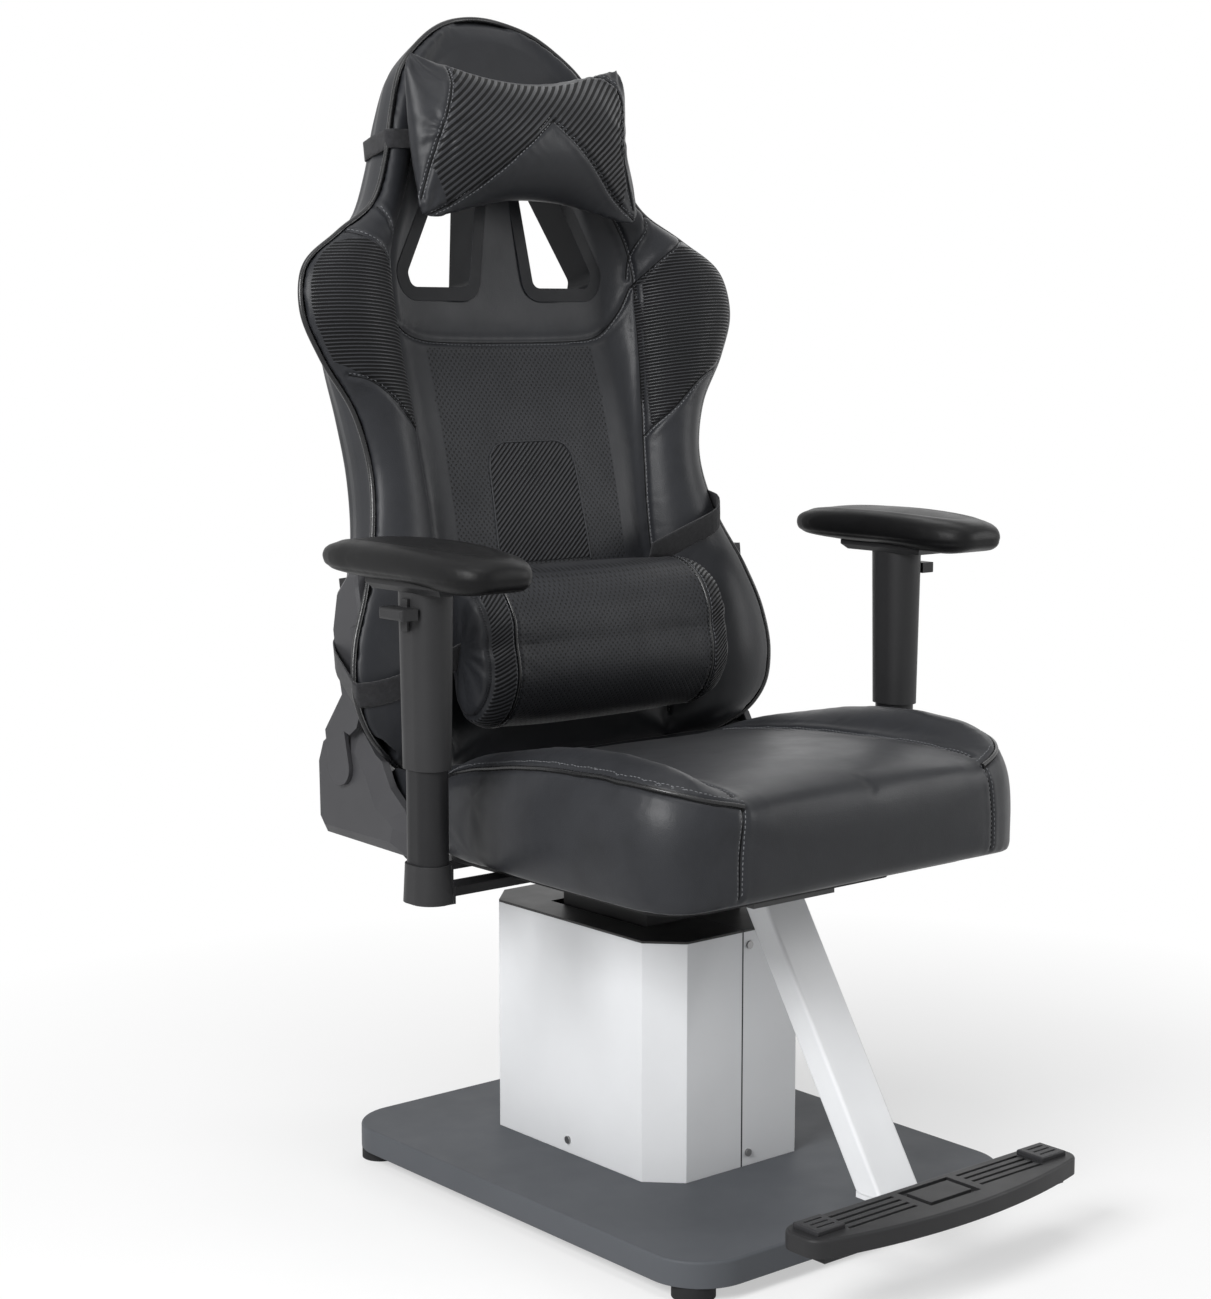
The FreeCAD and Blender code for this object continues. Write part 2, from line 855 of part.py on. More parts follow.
def housing_screws():
    screws = []
    for name, side in (("front", -1), ("rear", 1)):
        face = size.housing_back + side * size.housing_long / 2
        out = face + side * size.screw_head_high
        end = face - side * size.screw_shank_long
        x = -side * size.screw_seam_inset
        for number, z in enumerate(seam_screw_heights()):
            head_y = (out, face) if side < 0 else (face, out)
            shank_y = (out, end) if side < 0 else (end, out)
            head = long_rod(f"{name}_screw_{number}_head", size.screw_head_radius, *head_y, x, z)
            shank = long_rod(f"{name}_screw_{number}_shank", size.screw_shank_radius, *shank_y, x, z)
            screws.append(fuse(f"{name}_screw_{number}", [head, shank]))
    for name, side in (("left", 1), ("right", -1)):
        face = side * size.housing_wide / 2
        out = face + side * size.screw_head_high
        end = face - side * size.screw_shank_long
        z = plate_top + size.screw_low_rise
        head_x = (out, face) if side < 0 else (face, out)
        shank_x = (out, end) if side < 0 else (end, out)
        head = cross_rod(f"{name}_screw_head", size.screw_head_radius, *head_x, size.housing_back, z)
        shank = cross_rod(f"{name}_screw_shank", size.screw_shank_radius, *shank_x, size.housing_back, z)
        screws.append(fuse(f"{name}_screw", [head, shank]))
    node(compound("housing_screws", screws), "housing_screws")


# Mast, gear unit, motor and lead screw


def square_tube(name, wide, long, wall, low, high):
    """An upright square tube about the column's axis."""
    body = new_body(name)
    drawing = sketch(body, "XY_Plane", low)
    rectangle(drawing, (-wide / 2, wide / 2), (column_y - long / 2, column_y + long / 2))
    inner_x = wide / 2 - wall
    inner_y = long / 2 - wall
    rectangle(drawing, (-inner_x, inner_x), (column_y - inner_y, column_y + inner_y))
    pad(body, drawing, as_size(high) - as_size(low))
    return body


def guide_mast():
    top = column_top - size.column_top_thick - size.mast_top_drop
    tube = square_tube("mast_tube", size.mast_wide, size.mast_long, size.mast_wall, plate_top, top)
    flange = new_body("mast_flange")
    drawing = sketch(flange, "XY_Plane", plate_top)
    half_x = size.mast_flange_wide / 2
    half_y = size.mast_flange_long / 2
    rectangle(drawing, (-half_x, half_x), (column_y - half_y, column_y + half_y))
    for x, y in base_bolt_places():
        circle(drawing, x, y, size.base_bolt_radius + size.stem_gap)
    pad(flange, drawing, size.mast_flange_thick)
    gap = size.gear_slot_gap
    half_slot = size.gear_wide / 2 + gap
    rear = column_y + size.mast_long / 2
    slot = block(
        "mast_slot",
        (-half_slot, half_slot),
        (rear - size.mast_wall - size.overrun, rear + size.overrun),
        (gear_bottom, gear_top + gap),
    )
    node(cut("guide_mast", fuse("mast_blank", [tube, flange]), [slot]), "guide_mast")


def hex_bolt(name, x, y, face, radius, head_radius, head_high, long):
    """A hexagon bolt whose head sits on a level face."""
    head = doc.addObject("Part::Prism", name + "_head")
    head.Polygon = 6
    bind(head, "Circumradius", head_radius)
    bind(head, "Height", head_high)
    move(head, x, y, face)
    shank = rod(name + "_shank", radius, face - long, face + head_high / 2, x, y)
    return fuse(name, [head, shank])


def base_bolts():
    bolts = [
        hex_bolt(
            f"base_bolt_{number}",
            x,
            y,
            gear_bottom,
            size.base_bolt_radius,
            size.base_bolt_head_radius,
            size.base_bolt_head_high,
            size.base_bolt_long,
        )
        for number, (x, y) in enumerate(base_bolt_places(), start=1)
    ]
    node(compound("base_bolts", bolts), "base_bolts")


def guide_pads(label, low, high, outside):
    """Four slide pads in the gap between mast and column; outside pads sit on the column."""
    gap_x = (size.column_wide - size.mast_wide) / 2 - size.column_wall
    gap_y = (size.column_long - size.mast_long) / 2 - size.column_wall
    half = size.mast_pad_wide / 2
    pads = []
    for side in (-1, 1):
        inner = size.mast_wide / 2
        limits = (inner + size.pad_gap, inner + gap_x) if outside else (inner, inner + gap_x - size.pad_gap)
        x = limits if side > 0 else (-limits[1], -limits[0])
        pads.append(block(f"{label}_x{side + 1}", x, (column_y - half, column_y + half), (low, high)))
        inner = size.mast_long / 2
        limits = (inner + size.pad_gap, inner + gap_y) if outside else (inner, inner + gap_y - size.pad_gap)
        y = limits if side > 0 else (-limits[1], -limits[0])
        y = (column_y + y[0], column_y + y[1])
        pads.append(block(f"{label}_y{side + 1}", (-half, half), y, (low, high)))
    node(compound(label, pads), label)


# The gear case's foot, as shares of the case's half width: its half width and its reach past the motor
GEAR_FOOT_WIDE_SHARE = 0.8
GEAR_FOOT_REACH_SHARE = 0.6


def lift_gearbox():
    """The sealed spur gear case: one bore for the lead screw, and the motor's seat behind the mast."""
    body = new_body("gear_case")
    drawing = sketch(body, "XY_Plane", gear_bottom)
    half = size.gear_wide / 2
    motor_y = column_y + size.motor_back
    outline(
        drawing,
        [
            (-half, column_y, ZERO, column_y - half),
            (half, column_y),
            (half, motor_y, ZERO, motor_y + half),
            (-half, motor_y),
        ],
    )
    pad(body, drawing, size.gear_high)
    bore = sketch(body, "XY_Plane", gear_top)
    circle(bore, 0, column_y, size.screw_journal_radius + size.shaft_gap)
    pocket(body, bore, size.screw_journal_long + size.overrun)
    foot_front = column_y + size.mast_flange_long / 2 + size.stem_gap
    foot = block(
        "gear_foot",
        (-half * GEAR_FOOT_WIDE_SHARE, half * GEAR_FOOT_WIDE_SHARE),
        (foot_front, motor_y + half * GEAR_FOOT_REACH_SHARE),
        (plate_top, gear_bottom + size.overrun),
    )
    node(fuse("lift_gearbox", [body, foot]), "lift_gearbox")


def revolved(label, profile, x=0, y=0):
    """A turned piece about an upright axis; the profile lists (radius, height) pairs."""
    body = new_body(label)
    drawing = sketch(body, "XZ_Plane")
    outline(drawing, profile)
    feature = body.newObject("PartDesign::Revolution", label + "_turn")
    feature.Profile = drawing
    feature.ReferenceAxis = (drawing, ["V_Axis"])
    feature.Angle = 360
    body.Tip = feature
    move(body, x, y, 0)
    return body


def lift_motor():
    top = gear_top + size.motor_high
    neck = size.motor_cap_radius
    profile = [
        (ZERO, gear_top),
        (size.motor_radius, gear_top),
        (size.motor_radius, top),
        (neck, top),
        (neck, top + size.motor_cap_high),
        (ZERO, top + size.motor_cap_high),
    ]
    motor = revolved("lift_motor", profile, 0, column_y + size.motor_back)
    node(motor, "lift_motor")


def lead_screw():
    """The rotating spindle: journal, shoulder, rod and the stop collar at its top."""
    top = column_top - size.column_top_thick - size.screw_top_drop_column
    shoulder = gear_top + size.stem_gap
    profile = [
        (ZERO, gear_top - size.screw_journal_long),
        (size.screw_journal_radius, gear_top - size.screw_journal_long),
        (size.screw_journal_radius, shoulder),
        (size.screw_radius, shoulder),
        (size.screw_radius, top - size.screw_collar_high),
        (size.screw_collar_radius, top - size.screw_collar_high),
        (size.screw_collar_radius, top),
        (ZERO, top),
    ]
    node(revolved("lead_screw", profile, 0, column_y), "lead_screw")


def lead_nut():
    low = gear_top + size.nut_rise
    bore = size.screw_radius + size.shaft_gap
    profile = [
        (bore, low),
        (size.nut_flange_radius, low),
        (size.nut_flange_radius, low + size.nut_flange_high),
        (size.nut_radius, low + size.nut_flange_high),
        (size.nut_radius, low + size.nut_high),
        (bore, low + size.nut_high),
    ]
    node(revolved("lead_nut", profile, 0, column_y), "lead_nut")


def nut_tube():
    """The push tube that hangs from the column's top plate and carries the nut."""
    low = gear_top + size.nut_rise + size.nut_high
    top = column_top - size.column_top_thick
    bore = size.nut_radius - size.nut_tube_wall
    profile = [
        (bore, low),
        (size.nut_radius, low),
        (size.nut_radius, top - size.nut_tube_flange_high),
        (size.nut_tube_flange_radius, top - size.nut_tube_flange_high),
        (size.nut_tube_flange_radius, top),
        (bore, top),
    ]
    node(revolved("nut_tube", profile, 0, column_y), "nut_tube")


def control_box():
    """The control unit in front of the mast."""
    front = size.housing_back - size.housing_long / 2 + size.housing_wall + size.post_thick + size.box_gap
    body = new_body("control_box")
    drawing = sketch(body, "XY_Plane", plate_top)
    half = size.box_wide / 2
    toe = size.post_foot - size.post_thick
    rectangle(drawing, (-half, half), (front + toe - size.box_gap + size.overrun, front + size.box_deep))
    case = pad(body, drawing, size.box_high)
    round_edges(body, case, upright, size.box_gap / 2)
    node(body, "control_box")


# The depth of the rocker's well as a share of the rocker's own
ROCKER_WELL_SHARE = 1.4


def power_inlet():
    """Mains inlet with its switch frame, set in the rear wall: recess, three pins and rocker well."""
    rear = size.housing_back + size.housing_long / 2
    z = plate_top + size.inlet_rise
    half_face = size.inlet_wide / 2
    x = (size.inlet_off - half_face, size.inlet_off + half_face)
    face = block(
        "inlet_face",
        x,
        (rear, rear + size.inlet_face_thick),
        (z - size.inlet_high / 2, z + size.inlet_high / 2),
    )
    half = size.inlet_body_wide / 2
    inner = rear - size.inlet_body_deep
    trunk = block(
        "inlet_trunk",
        (size.inlet_off - half, size.inlet_off + half),
        (inner, rear + size.inlet_face_thick),
        (z - size.inlet_body_high / 2, z + size.inlet_body_high / 2),
    )
    mouth_z = z - size.inlet_body_high / 4
    out = rear + size.inlet_face_thick + size.overrun
    floor = rear + size.inlet_face_thick - size.inlet_mouth_deep
    mouth = block(
        "inlet_mouth",
        (size.inlet_off - size.inlet_mouth_wide / 2, size.inlet_off + size.inlet_mouth_wide / 2),
        (floor, out),
        (mouth_z - size.inlet_mouth_high / 2, mouth_z + size.inlet_mouth_high / 2),
    )
    well_x = size.rocker_wide / 2 + size.rocker_gap
    well_z = size.rocker_high / 2 + size.rocker_gap
    rocker_z = z + size.rocker_rise
    well = block(
        "rocker_well",
        (size.inlet_off - well_x, size.inlet_off + well_x),
        (rear + size.inlet_face_thick - size.rocker_deep * ROCKER_WELL_SHARE, out),
        (rocker_z - well_z, rocker_z + well_z),
    )
    hollow = cut("inlet_hollow", fuse("inlet_blank", [face, trunk]), [mouth, well])
    pins = []
    pin_x = size.inlet_pin_wide / 2
    pin_z = size.inlet_pin_high / 2
    for number in (-1, 0, 1):
        middle_x = size.inlet_off + number * size.inlet_pin_pitch
        middle_z = mouth_z + (1 - abs(number)) * size.inlet_pin_high / 2
        pins.append(
            block(
                f"inlet_pin_{number + 2}",
                (middle_x - pin_x, middle_x + pin_x),
                (floor - size.overrun, floor + size.inlet_pin_long),
                (middle_z - pin_z, middle_z + pin_z),
            )
        )
    node(fuse("power_inlet", [hollow] + pins), "power_inlet")


def rocker_axis():
    """Where the power rocker turns: (y, z) of its axis along X."""
    rear = size.housing_back + size.housing_long / 2
    return rear + size.inlet_face_thick - size.rocker_deep / 2, plate_top + size.inlet_rise + size.rocker_rise


# The rocker's side view: depth behind and ahead of its axis as shares of its depth, the height of
# its back as a share of its own, and the dip of its middle as a share of its tips' rise
ROCKER_BACK_SHARE = 0.35
ROCKER_FRONT_SHARE = 0.5
ROCKER_NARROW_SHARE = 0.4
ROCKER_DIP_SHARE = 0.2


def switch_rocker():
    """The power rocker, a shallow V in side view."""
    axis_y, axis_z = rocker_axis()
    body = new_body("switch_rocker")
    half_x = size.rocker_wide / 2
    drawing = sketch(body, "YZ_Plane", size.inlet_off - half_x)
    back = size.rocker_deep * ROCKER_BACK_SHARE
    front = size.rocker_deep * ROCKER_FRONT_SHARE
    high = size.rocker_high / 2 - size.rocker_gap
    tip = high * sine(size.rocker_tilt)
    outline(
        drawing,
        [
            (-back, -high * ROCKER_NARROW_SHARE),
            (front + tip, -high),
            (front - tip * ROCKER_DIP_SHARE, ZERO),
            (front + tip, high),
            (-back, high * ROCKER_NARROW_SHARE),
        ],
    )
    pad(body, drawing, size.rocker_wide)
    move(body, 0, axis_y, axis_z)
    node(body, "switch_rocker")


# Seat carriage


def lift_column():
    """The outer square column that rises with the seat, closed by its top plate."""
    low_top = column_top - size.column_top_thick
    tube = square_tube(
        "column_tube", size.column_wide, size.column_long, size.column_wall, column_bottom, low_top
    )
    half_x = size.column_wide / 2
    half_y = size.column_long / 2
    roof = new_body("column_roof")
    drawing = sketch(roof, "XY_Plane", low_top)
    rectangle(drawing, (-half_x, half_x), (column_y - half_y, column_y + half_y))
    for x, y in mount_bolt_places():
        circle(drawing, x, y, size.mount_bolt_radius + size.stem_gap)
    pad(roof, drawing, size.column_top_thick)
    node(fuse("lift_column", [tube, roof]), "lift_column")


def mount_bolt_places():
    reach = size.mount_bolt_pitch / 2
    return [(sx * reach, column_y + sy * reach) for sx in (-1, 1) for sy in (-1, 1)]


def strut_face(z):
    """Y of the strut's front face at a height."""
    return z * size.strut_slope_share - size.strut_foot_y


def strut_bolt_places():
    top = mount_bottom - size.strut_flange_thick
    middle = strut_face(top) + size.strut_thick / 2
    x = size.strut_flange_wide / 2 - size.strut_bolt_inset
    y = size.strut_flange_long / 2 - size.strut_bolt_inset
    return [(sx * x, middle + sy * y) for sx in (-1, 1) for sy in (-1, 1)]


def seat_mount_plate():
    body = new_body("seat_mount_plate")
    drawing = sketch(body, "XY_Plane", mount_bottom)
    half = size.mount_wide / 2
    rectangle(drawing, (-half, half), (-size.mount_front, size.mount_back))
    plate = pad(body, drawing, size.mount_thick)
    round_edges(body, plate, upright, size.mount_corner)
    holes = sketch(body, "XY_Plane", mount_top)
    for x, y in mount_bolt_places() + strut_bolt_places():
        circle(holes, x, y, size.mount_bolt_radius + size.stem_gap)
    pocket(body, holes, size.mount_thick + size.overrun)
    node(body, "seat_mount_plate")


def carriage_bolts():
    bolts = []
    for number, (x, y) in enumerate(mount_bolt_places() + strut_bolt_places(), start=1):
        bolts.append(
            hex_bolt(
                f"carriage_bolt_{number}",
                x,
                y,
                mount_top,
                size.mount_bolt_radius,
                size.mount_bolt_head_radius,
                size.mount_bolt_head_high,
                size.mount_bolt_long,
            )
        )
    node(compound("carriage_bolts", bolts), "carriage_bolts")


def seat_frame():
    """The seat pan with the two cross rails under it."""
    body = new_body("seat_pan")
    drawing = sketch(body, "XY_Plane", pan_bottom)
    half = size.pan_wide / 2
    rectangle(drawing, (-half, half), (-size.pan_front, size.pan_back))
    board = pad(body, drawing, size.pan_thick)
    round_edges(body, board, upright, size.pan_corner)
    rail = size.rail_wide / 2
    over = size.overrun
    front = block(
        "front_rail",
        (-rail, rail),
        (-size.front_rail_y, -size.front_rail_y + size.rail_deep),
        (mount_top, pan_bottom + over),
    )
    rear = block(
        "rear_rail",
        (-rail, rail),
        (size.rear_rail_y, size.rear_rail_y + size.rail_deep),
        (mount_top, pan_bottom + over),
    )
    node(fuse("seat_frame", [body, front, rear]), "seat_frame")


# Seat cushion rows from front to rear: place along the seat, bottom and top half widths,
# height of the bottom edge, of the panel and of the bolster's crest, and the panel seam's half width
SEAT_SHARES = [
    (0.000, 0.62, 0.60, 0.14, 0.60, 0.62, 0.56),
    (0.012, 0.74, 0.72, 0.07, 0.70, 0.72, 0.60),
    (0.045, 0.86, 0.86, 0.02, 0.755, 0.80, 0.645),
    (0.110, 0.935, 0.955, 0.00, 0.785, 0.930, 0.660),
    (0.220, 0.960, 0.995, 0.00, 0.800, 1.000, 0.665),
    (0.380, 0.960, 1.000, 0.00, 0.795, 1.005, 0.650),
    (0.560, 0.955, 0.995, 0.00, 0.775, 0.945, 0.630),
    (0.740, 0.940, 0.975, 0.00, 0.735, 0.830, 0.615),
    (0.900, 0.900, 0.925, 0.00, 0.665, 0.700, 0.600),
    (1.000, 0.830, 0.840, 0.03, 0.560, 0.580, 0.580),
]


# Shares that shape the seat's section: the height where the side turns in, the crest's place between
# seam and side, the side's belly and its swell, the two flanks of the bolster, and the panel's crown
SEAT_TURN_SHARE = 0.72
SEAT_CREST_SHARE = 0.42
SEAT_BELLY_SHARE = 0.62
SEAT_SWELL_SHARE = 0.014
SEAT_FLANK_SHARE = 0.55
SEAT_FLANK_RISE_SHARE = 0.78
SEAT_INNER_RISE_SHARE = 0.62
SEAT_CROWN_SHARE = 0.035


def between(low, high, share):
    """The place a share of the way from one value to another."""
    return low + (high - low) * share


def seat_section(row):
    """One closed cross-section of the seat: flat underside, drawn-in sides, bolsters and panel."""
    along, low, wide, bottom, panel, crest, seam = row
    half = float(size.seat_half)
    high = float(size.seat_high)
    y = float(size.seat_back) * along - float(size.seat_front) * (1 - along)
    z0 = float(pan_top) + bottom * high
    z_panel = float(pan_top) + panel * high
    z_crest = float(pan_top) + crest * high
    z_side = between(z0, z_panel, SEAT_TURN_SHARE)
    x_low = half * low
    x_wide = half * wide
    x_seam = half * seam
    x_crest = between(x_seam, x_wide, SEAT_CREST_SHARE)
    bulge = between(x_low, x_wide, SEAT_BELLY_SHARE) + half * SEAT_SWELL_SHARE
    z_bulge = (z0 + z_side) / 2
    x_flank = between(x_crest, x_wide, SEAT_FLANK_SHARE)
    z_flank = between(z_side, z_crest, SEAT_FLANK_RISE_SHARE)
    z_inner = between(z_panel, z_crest, SEAT_INNER_RISE_SHARE)
    edges = [line(Vector(-x_low, y, z0), Vector(x_low, y, z0))]
    for side in (1, -1):
        foot = Vector(side * x_low, y, z0)
        belly = Vector(side * bulge, y, z_bulge)
        shoulder = Vector(side * x_wide, y, z_side)
        top = Vector(side * x_crest, y, z_crest)
        crease = Vector(side * x_seam, y, z_panel)
        run = [
            (foot, belly, shoulder),
            (shoulder, Vector(side * x_flank, y, z_flank), top),
            (top, Vector(side * (x_crest + x_seam) / 2, y, z_inner), crease),
        ]
        if side > 0:
            edges += [arc(*step) for step in run]
            edges.append(arc(crease, Vector(0, y, z_panel + high * SEAT_CROWN_SHARE), Vector(-crease.x, y, z_panel)))
        else:
            edges += [arc(*step[::-1]) for step in run[::-1]]
    return Part.Wire(edges)


def seat_cushion():
    """The seat cushion, with its underside cut level just above the pan."""
    shape = solid_loft([seat_section(row) for row in SEAT_SHARES])
    half = 2 * float(size.seat_half)
    level = Part.makeBox(
        2 * half, 2 * half, half, Vector(-half, -half, float(pan_top) + float(size.back_joint_gap) - half)
    )
    shape = shape.cut(level)
    node(shape_node("seat_cushion", shape), "seat_cushion")


# Footrest


# How much longer a level cut through the slanted strut's wall is than the wall
SLANT_SHARE = math.sqrt(1 + SIZES["strut_slope_share"] ** 2)


def footrest_strut():
    """The slanted rectangular tube with its top flange and the bracket under the foot bar."""
    bottom = size.bar_top - size.bar_thick
    top = mount_bottom - size.strut_flange_thick
    half = size.strut_wide / 2
    outer = new_body("strut_outer")
    drawing = sketch(outer, "YZ_Plane", -half)
    thick = size.strut_thick
    low_y = strut_face(bottom)
    top_y = strut_face(top)
    outline(drawing, [(low_y, bottom), (low_y + thick, bottom), (top_y + thick, top), (top_y, top)])
    tube = pad(outer, drawing, size.strut_wide)
    slanted = lambda edge: abs(edge.BoundBox.ZLength - (float(top) - float(bottom))) < float(size.overrun)
    round_edges(outer, tube, slanted, size.strut_corner)
    inner = new_body("strut_inner")
    wall = size.strut_wall
    over = size.overrun
    drawing = sketch(inner, "YZ_Plane", wall - half)
    y = [strut_face(bottom - over), strut_face(top + over)]
    skin = wall * SLANT_SHARE
    outline(
        drawing,
        [
            (y[0] + skin, bottom - over),
            (y[0] + thick - skin, bottom - over),
            (y[1] + thick - skin, top + over),
            (y[1] + skin, top + over),
        ],
    )
    pad(inner, drawing, size.strut_wide - 2 * wall)
    hollow = cut("strut_tube", outer, [inner])
    middle = top_y + thick / 2
    half_y = size.strut_flange_long / 2
    flange = new_body("strut_flange")
    drawing = sketch(flange, "XY_Plane", top)
    half_x = size.strut_flange_wide / 2
    rectangle(drawing, (-half_x, half_x), (middle - half_y, middle + half_y))
    for x, yy in strut_bolt_places():
        circle(drawing, x, yy, size.mount_bolt_radius + size.stem_gap)
    pad(flange, drawing, size.strut_flange_thick)
    shoe = block(
        "strut_shoe",
        (-size.bracket_wide / 2, size.bracket_wide / 2),
        (-size.bracket_front, low_y + thick),
        (bottom - size.bracket_thick, bottom),
    )
    node(fuse("footrest_strut", [hollow, flange, shoe]), "footrest_strut")


def bar_outline(inset=0):
    """The foot bar in plan: straight rear edge, bowed front edge."""
    inset = as_size(inset)
    half = size.bar_half - inset
    rear = -size.bar_rear - inset
    front_end = -size.bar_rear - size.bar_end_depth + inset
    front = -size.bar_rear - size.bar_depth + inset
    return [(half, rear), (-half, rear), (-half, front_end, ZERO, front), (half, front_end)]


# Where the bumpers under the bar begin and end, as shares of the bar's depth at its ends
BUMPER_SHARES = (0.9, 0.2)


def footrest_bar():
    """The moulded foot bar: bowed slab, tread grooves, centre recess with its plain raised plate."""
    body = new_body("footrest_slab")
    bottom = size.bar_top - size.bar_thick
    drawing = sketch(body, "XY_Plane", bottom)
    outline(drawing, bar_outline())
    slab = pad(body, drawing, size.bar_thick)
    slab = round_edges(body, slab, upright, size.bar_corner)
    round_edges(body, slab, at_height(size.bar_top), size.bar_edge)
    first = -size.bar_rear - size.bar_recess_inset
    grooves = sketch(body, "XY_Plane", size.bar_top)
    for side in (-1, 1):
        for count in range(4):
            rear = first - count * size.bar_groove_pitch - size.bar_groove_wide / 2
            near = side * size.bar_groove_start
            far = side * size.bar_groove_end
            x = (near, far) if side > 0 else (far, near)
            rectangle(grooves, x, (rear - size.bar_groove_wide, rear))
    pocket(body, grooves, size.bar_groove_deep)
    recess = sketch(body, "XY_Plane", size.bar_top)
    half = size.bar_recess_half
    rectangle(recess, (-half, half), (first - size.bar_recess_long, first))
    inner = half - size.insert_gap
    rectangle(recess, (-inner, inner), (first - size.bar_recess_long + size.insert_gap, first - size.insert_gap))
    pocket(body, recess, size.bar_recess_deep)
    bumpers = []
    for side in (-1, 1):
        near = side * size.bumper_inner
        far = side * size.bumper_outer
        x = (near, far) if side > 0 else (far, near)
        y = [-size.bar_rear - size.bar_end_depth * share for share in BUMPER_SHARES]
        bumpers.append(block(f"bumper_{side + 2}", x, y, (bottom - size.bumper_high, bottom + size.overrun)))
    node(fuse("footrest_bar", [body] + bumpers), "footrest_bar")


def footrest_treads():
    """The two raised rubber treads near the ends, each with plain cross bars."""
    treads = []
    rear = -size.bar_rear - size.bar_recess_inset
    top = size.bar_top + size.tread_high
    for side in (-1, 1):
        near = side * size.tread_inner
        far = side * size.tread_outer
        x = (near, far) if side > 0 else (far, near)
        body = new_body(f"tread_{side + 2}")
        drawing = sketch(body, "XY_Plane", size.bar_top)
        rectangle(drawing, x, (rear - size.tread_long, rear))
        slab = pad(body, drawing, size.tread_high)
        round_edges(body, slab, at_height(top), size.tread_edge)
        slots = sketch(body, "XY_Plane", top)
        wide = size.tread_bar_wide
        for count in range(1, 4):
            middle = rear - size.tread_long * (count / 4)
            rectangle(slots, (x[0] + wide * 2, x[1] - wide * 2), (middle - wide / 2, middle + wide / 2))
        pocket(body, slots, size.tread_bar_deep)
        treads.append(body)
    node(compound("footrest_treads", treads), "footrest_treads")


# Armrests


def arm_brackets():
    """A flat steel bar from under the pan to each armrest socket."""
    outer = size.arm_half - size.socket_top_x - size.arm_ear_thick / 2
    y = (size.arm_bar_front, size.arm_bar_front + size.arm_bar_deep)
    bar = block("arm_bar_left", (size.arm_bar_inner, outer), y, (mount_top, pan_bottom))
    twin = doc.addObject("Part::Mirroring", "arm_bar_right")
    twin.Source = bar
    twin.Normal = Vector(1, 0, 0)
    node(compound("arm_brackets", [bar, twin]), "arm_brackets")


# The socket's ear, slot and rib as shares of the ear's thickness, the socket's height and the post's depth
EAR_OUT_SHARE = 1.5
EAR_IN_SHARE = 0.5
SLOT_OUT_SHARE = 2.0
RIB_HIGH_SHARE = 0.85
WELL_SHARE = 0.3


def arm_socket():
    """The flared cup that clamps the post, with its rib and the ear that takes the bar."""
    body = new_body("socket_cup")
    low = sketch(body, "XY_Plane", size.socket_bottom)
    stadium(low, size.socket_low_x, size.socket_low_y, size.arm_half, size.arm_y)
    high = sketch(body, "XY_Plane", size.socket_bottom + size.socket_high)
    stadium(high, size.socket_top_x, size.socket_top_y, size.arm_half, size.arm_y)
    loft(body, low, high)
    well = sketch(body, "XY_Plane", size.socket_bottom + size.socket_high)
    stadium(well, size.post_half_x, size.post_half_y, size.arm_half, size.arm_y)
    pocket(body, well, size.socket_high - size.post_seat)
    inner = size.arm_half - size.socket_low_x
    middle = (mount_top + pan_bottom) / 2
    ear = block(
        "socket_ear",
        (inner - size.arm_ear_thick * EAR_OUT_SHARE, inner + size.arm_ear_thick * EAR_IN_SHARE),
        (size.arm_y, size.arm_bar_front + size.arm_bar_deep + size.arm_ear_thick / 2),
        (middle - size.arm_ear_high / 2, middle + size.arm_ear_high / 2),
    )
    slot = block(
        "socket_bar_slot",
        (inner - size.arm_ear_thick * SLOT_OUT_SHARE, size.arm_half - size.socket_top_x - size.arm_ear_thick / 2),
        (size.arm_bar_front, size.arm_bar_front + size.arm_bar_deep),
        (mount_top, pan_bottom),
    )
    rib = block(
        "socket_rib",
        (inner - size.socket_rib_out, inner + size.socket_rib_out),
        (size.arm_y - size.socket_rib_wide, size.arm_y),
        (size.socket_bottom + size.socket_rib_out, size.socket_bottom + size.socket_high * RIB_HIGH_SHARE),
    )
    keep = block(
        "post_room",
        (size.arm_half - size.post_half_x, size.arm_half + size.post_half_x),
        (size.arm_y - size.post_half_y * WELL_SHARE, size.arm_y + size.post_half_y * WELL_SHARE),
        (size.socket_bottom + size.post_seat, size.socket_bottom + size.socket_high + size.overrun),
    )
    cup = fuse("socket_blank", [body, ear, rib])
    return node(cut("arm_socket_left", cup, [slot, keep]), "arm_socket_left")


def arm_post():
    body = new_body("arm_post_left")
    drawing = sketch(body, "XY_Plane", size.socket_bottom + size.post_seat)
    stadium(drawing, size.post_half_x, size.post_half_y, size.arm_half, size.arm_y)
    pad(body, drawing, size.post_top - size.socket_bottom - size.post_seat)
    return node(body, "arm_post_left")


def arm_sleeve():
    """The tapered sleeve that slides on the post."""
    body = new_body("arm_sleeve_left")
    low = sketch(body, "XY_Plane", size.sleeve_bottom)
    stadium(low, size.sleeve_low_x, size.sleeve_low_y, size.arm_half, size.arm_y)
    high = sketch(body, "XY_Plane", size.sleeve_top)
    stadium(high, size.sleeve_top_x, size.sleeve_top_y, size.arm_half, size.arm_y)
    loft(body, low, high)
    bore = sketch(body, "XY_Plane", size.sleeve_bottom)
    gap = size.post_gap
    stadium(bore, size.post_half_x + gap, size.post_half_y + gap, size.arm_half, size.arm_y)
    pocket(body, bore, size.sleeve_top - size.sleeve_bottom - size.sleeve_roof, backwards=True)
    return node(body, "arm_sleeve_left")


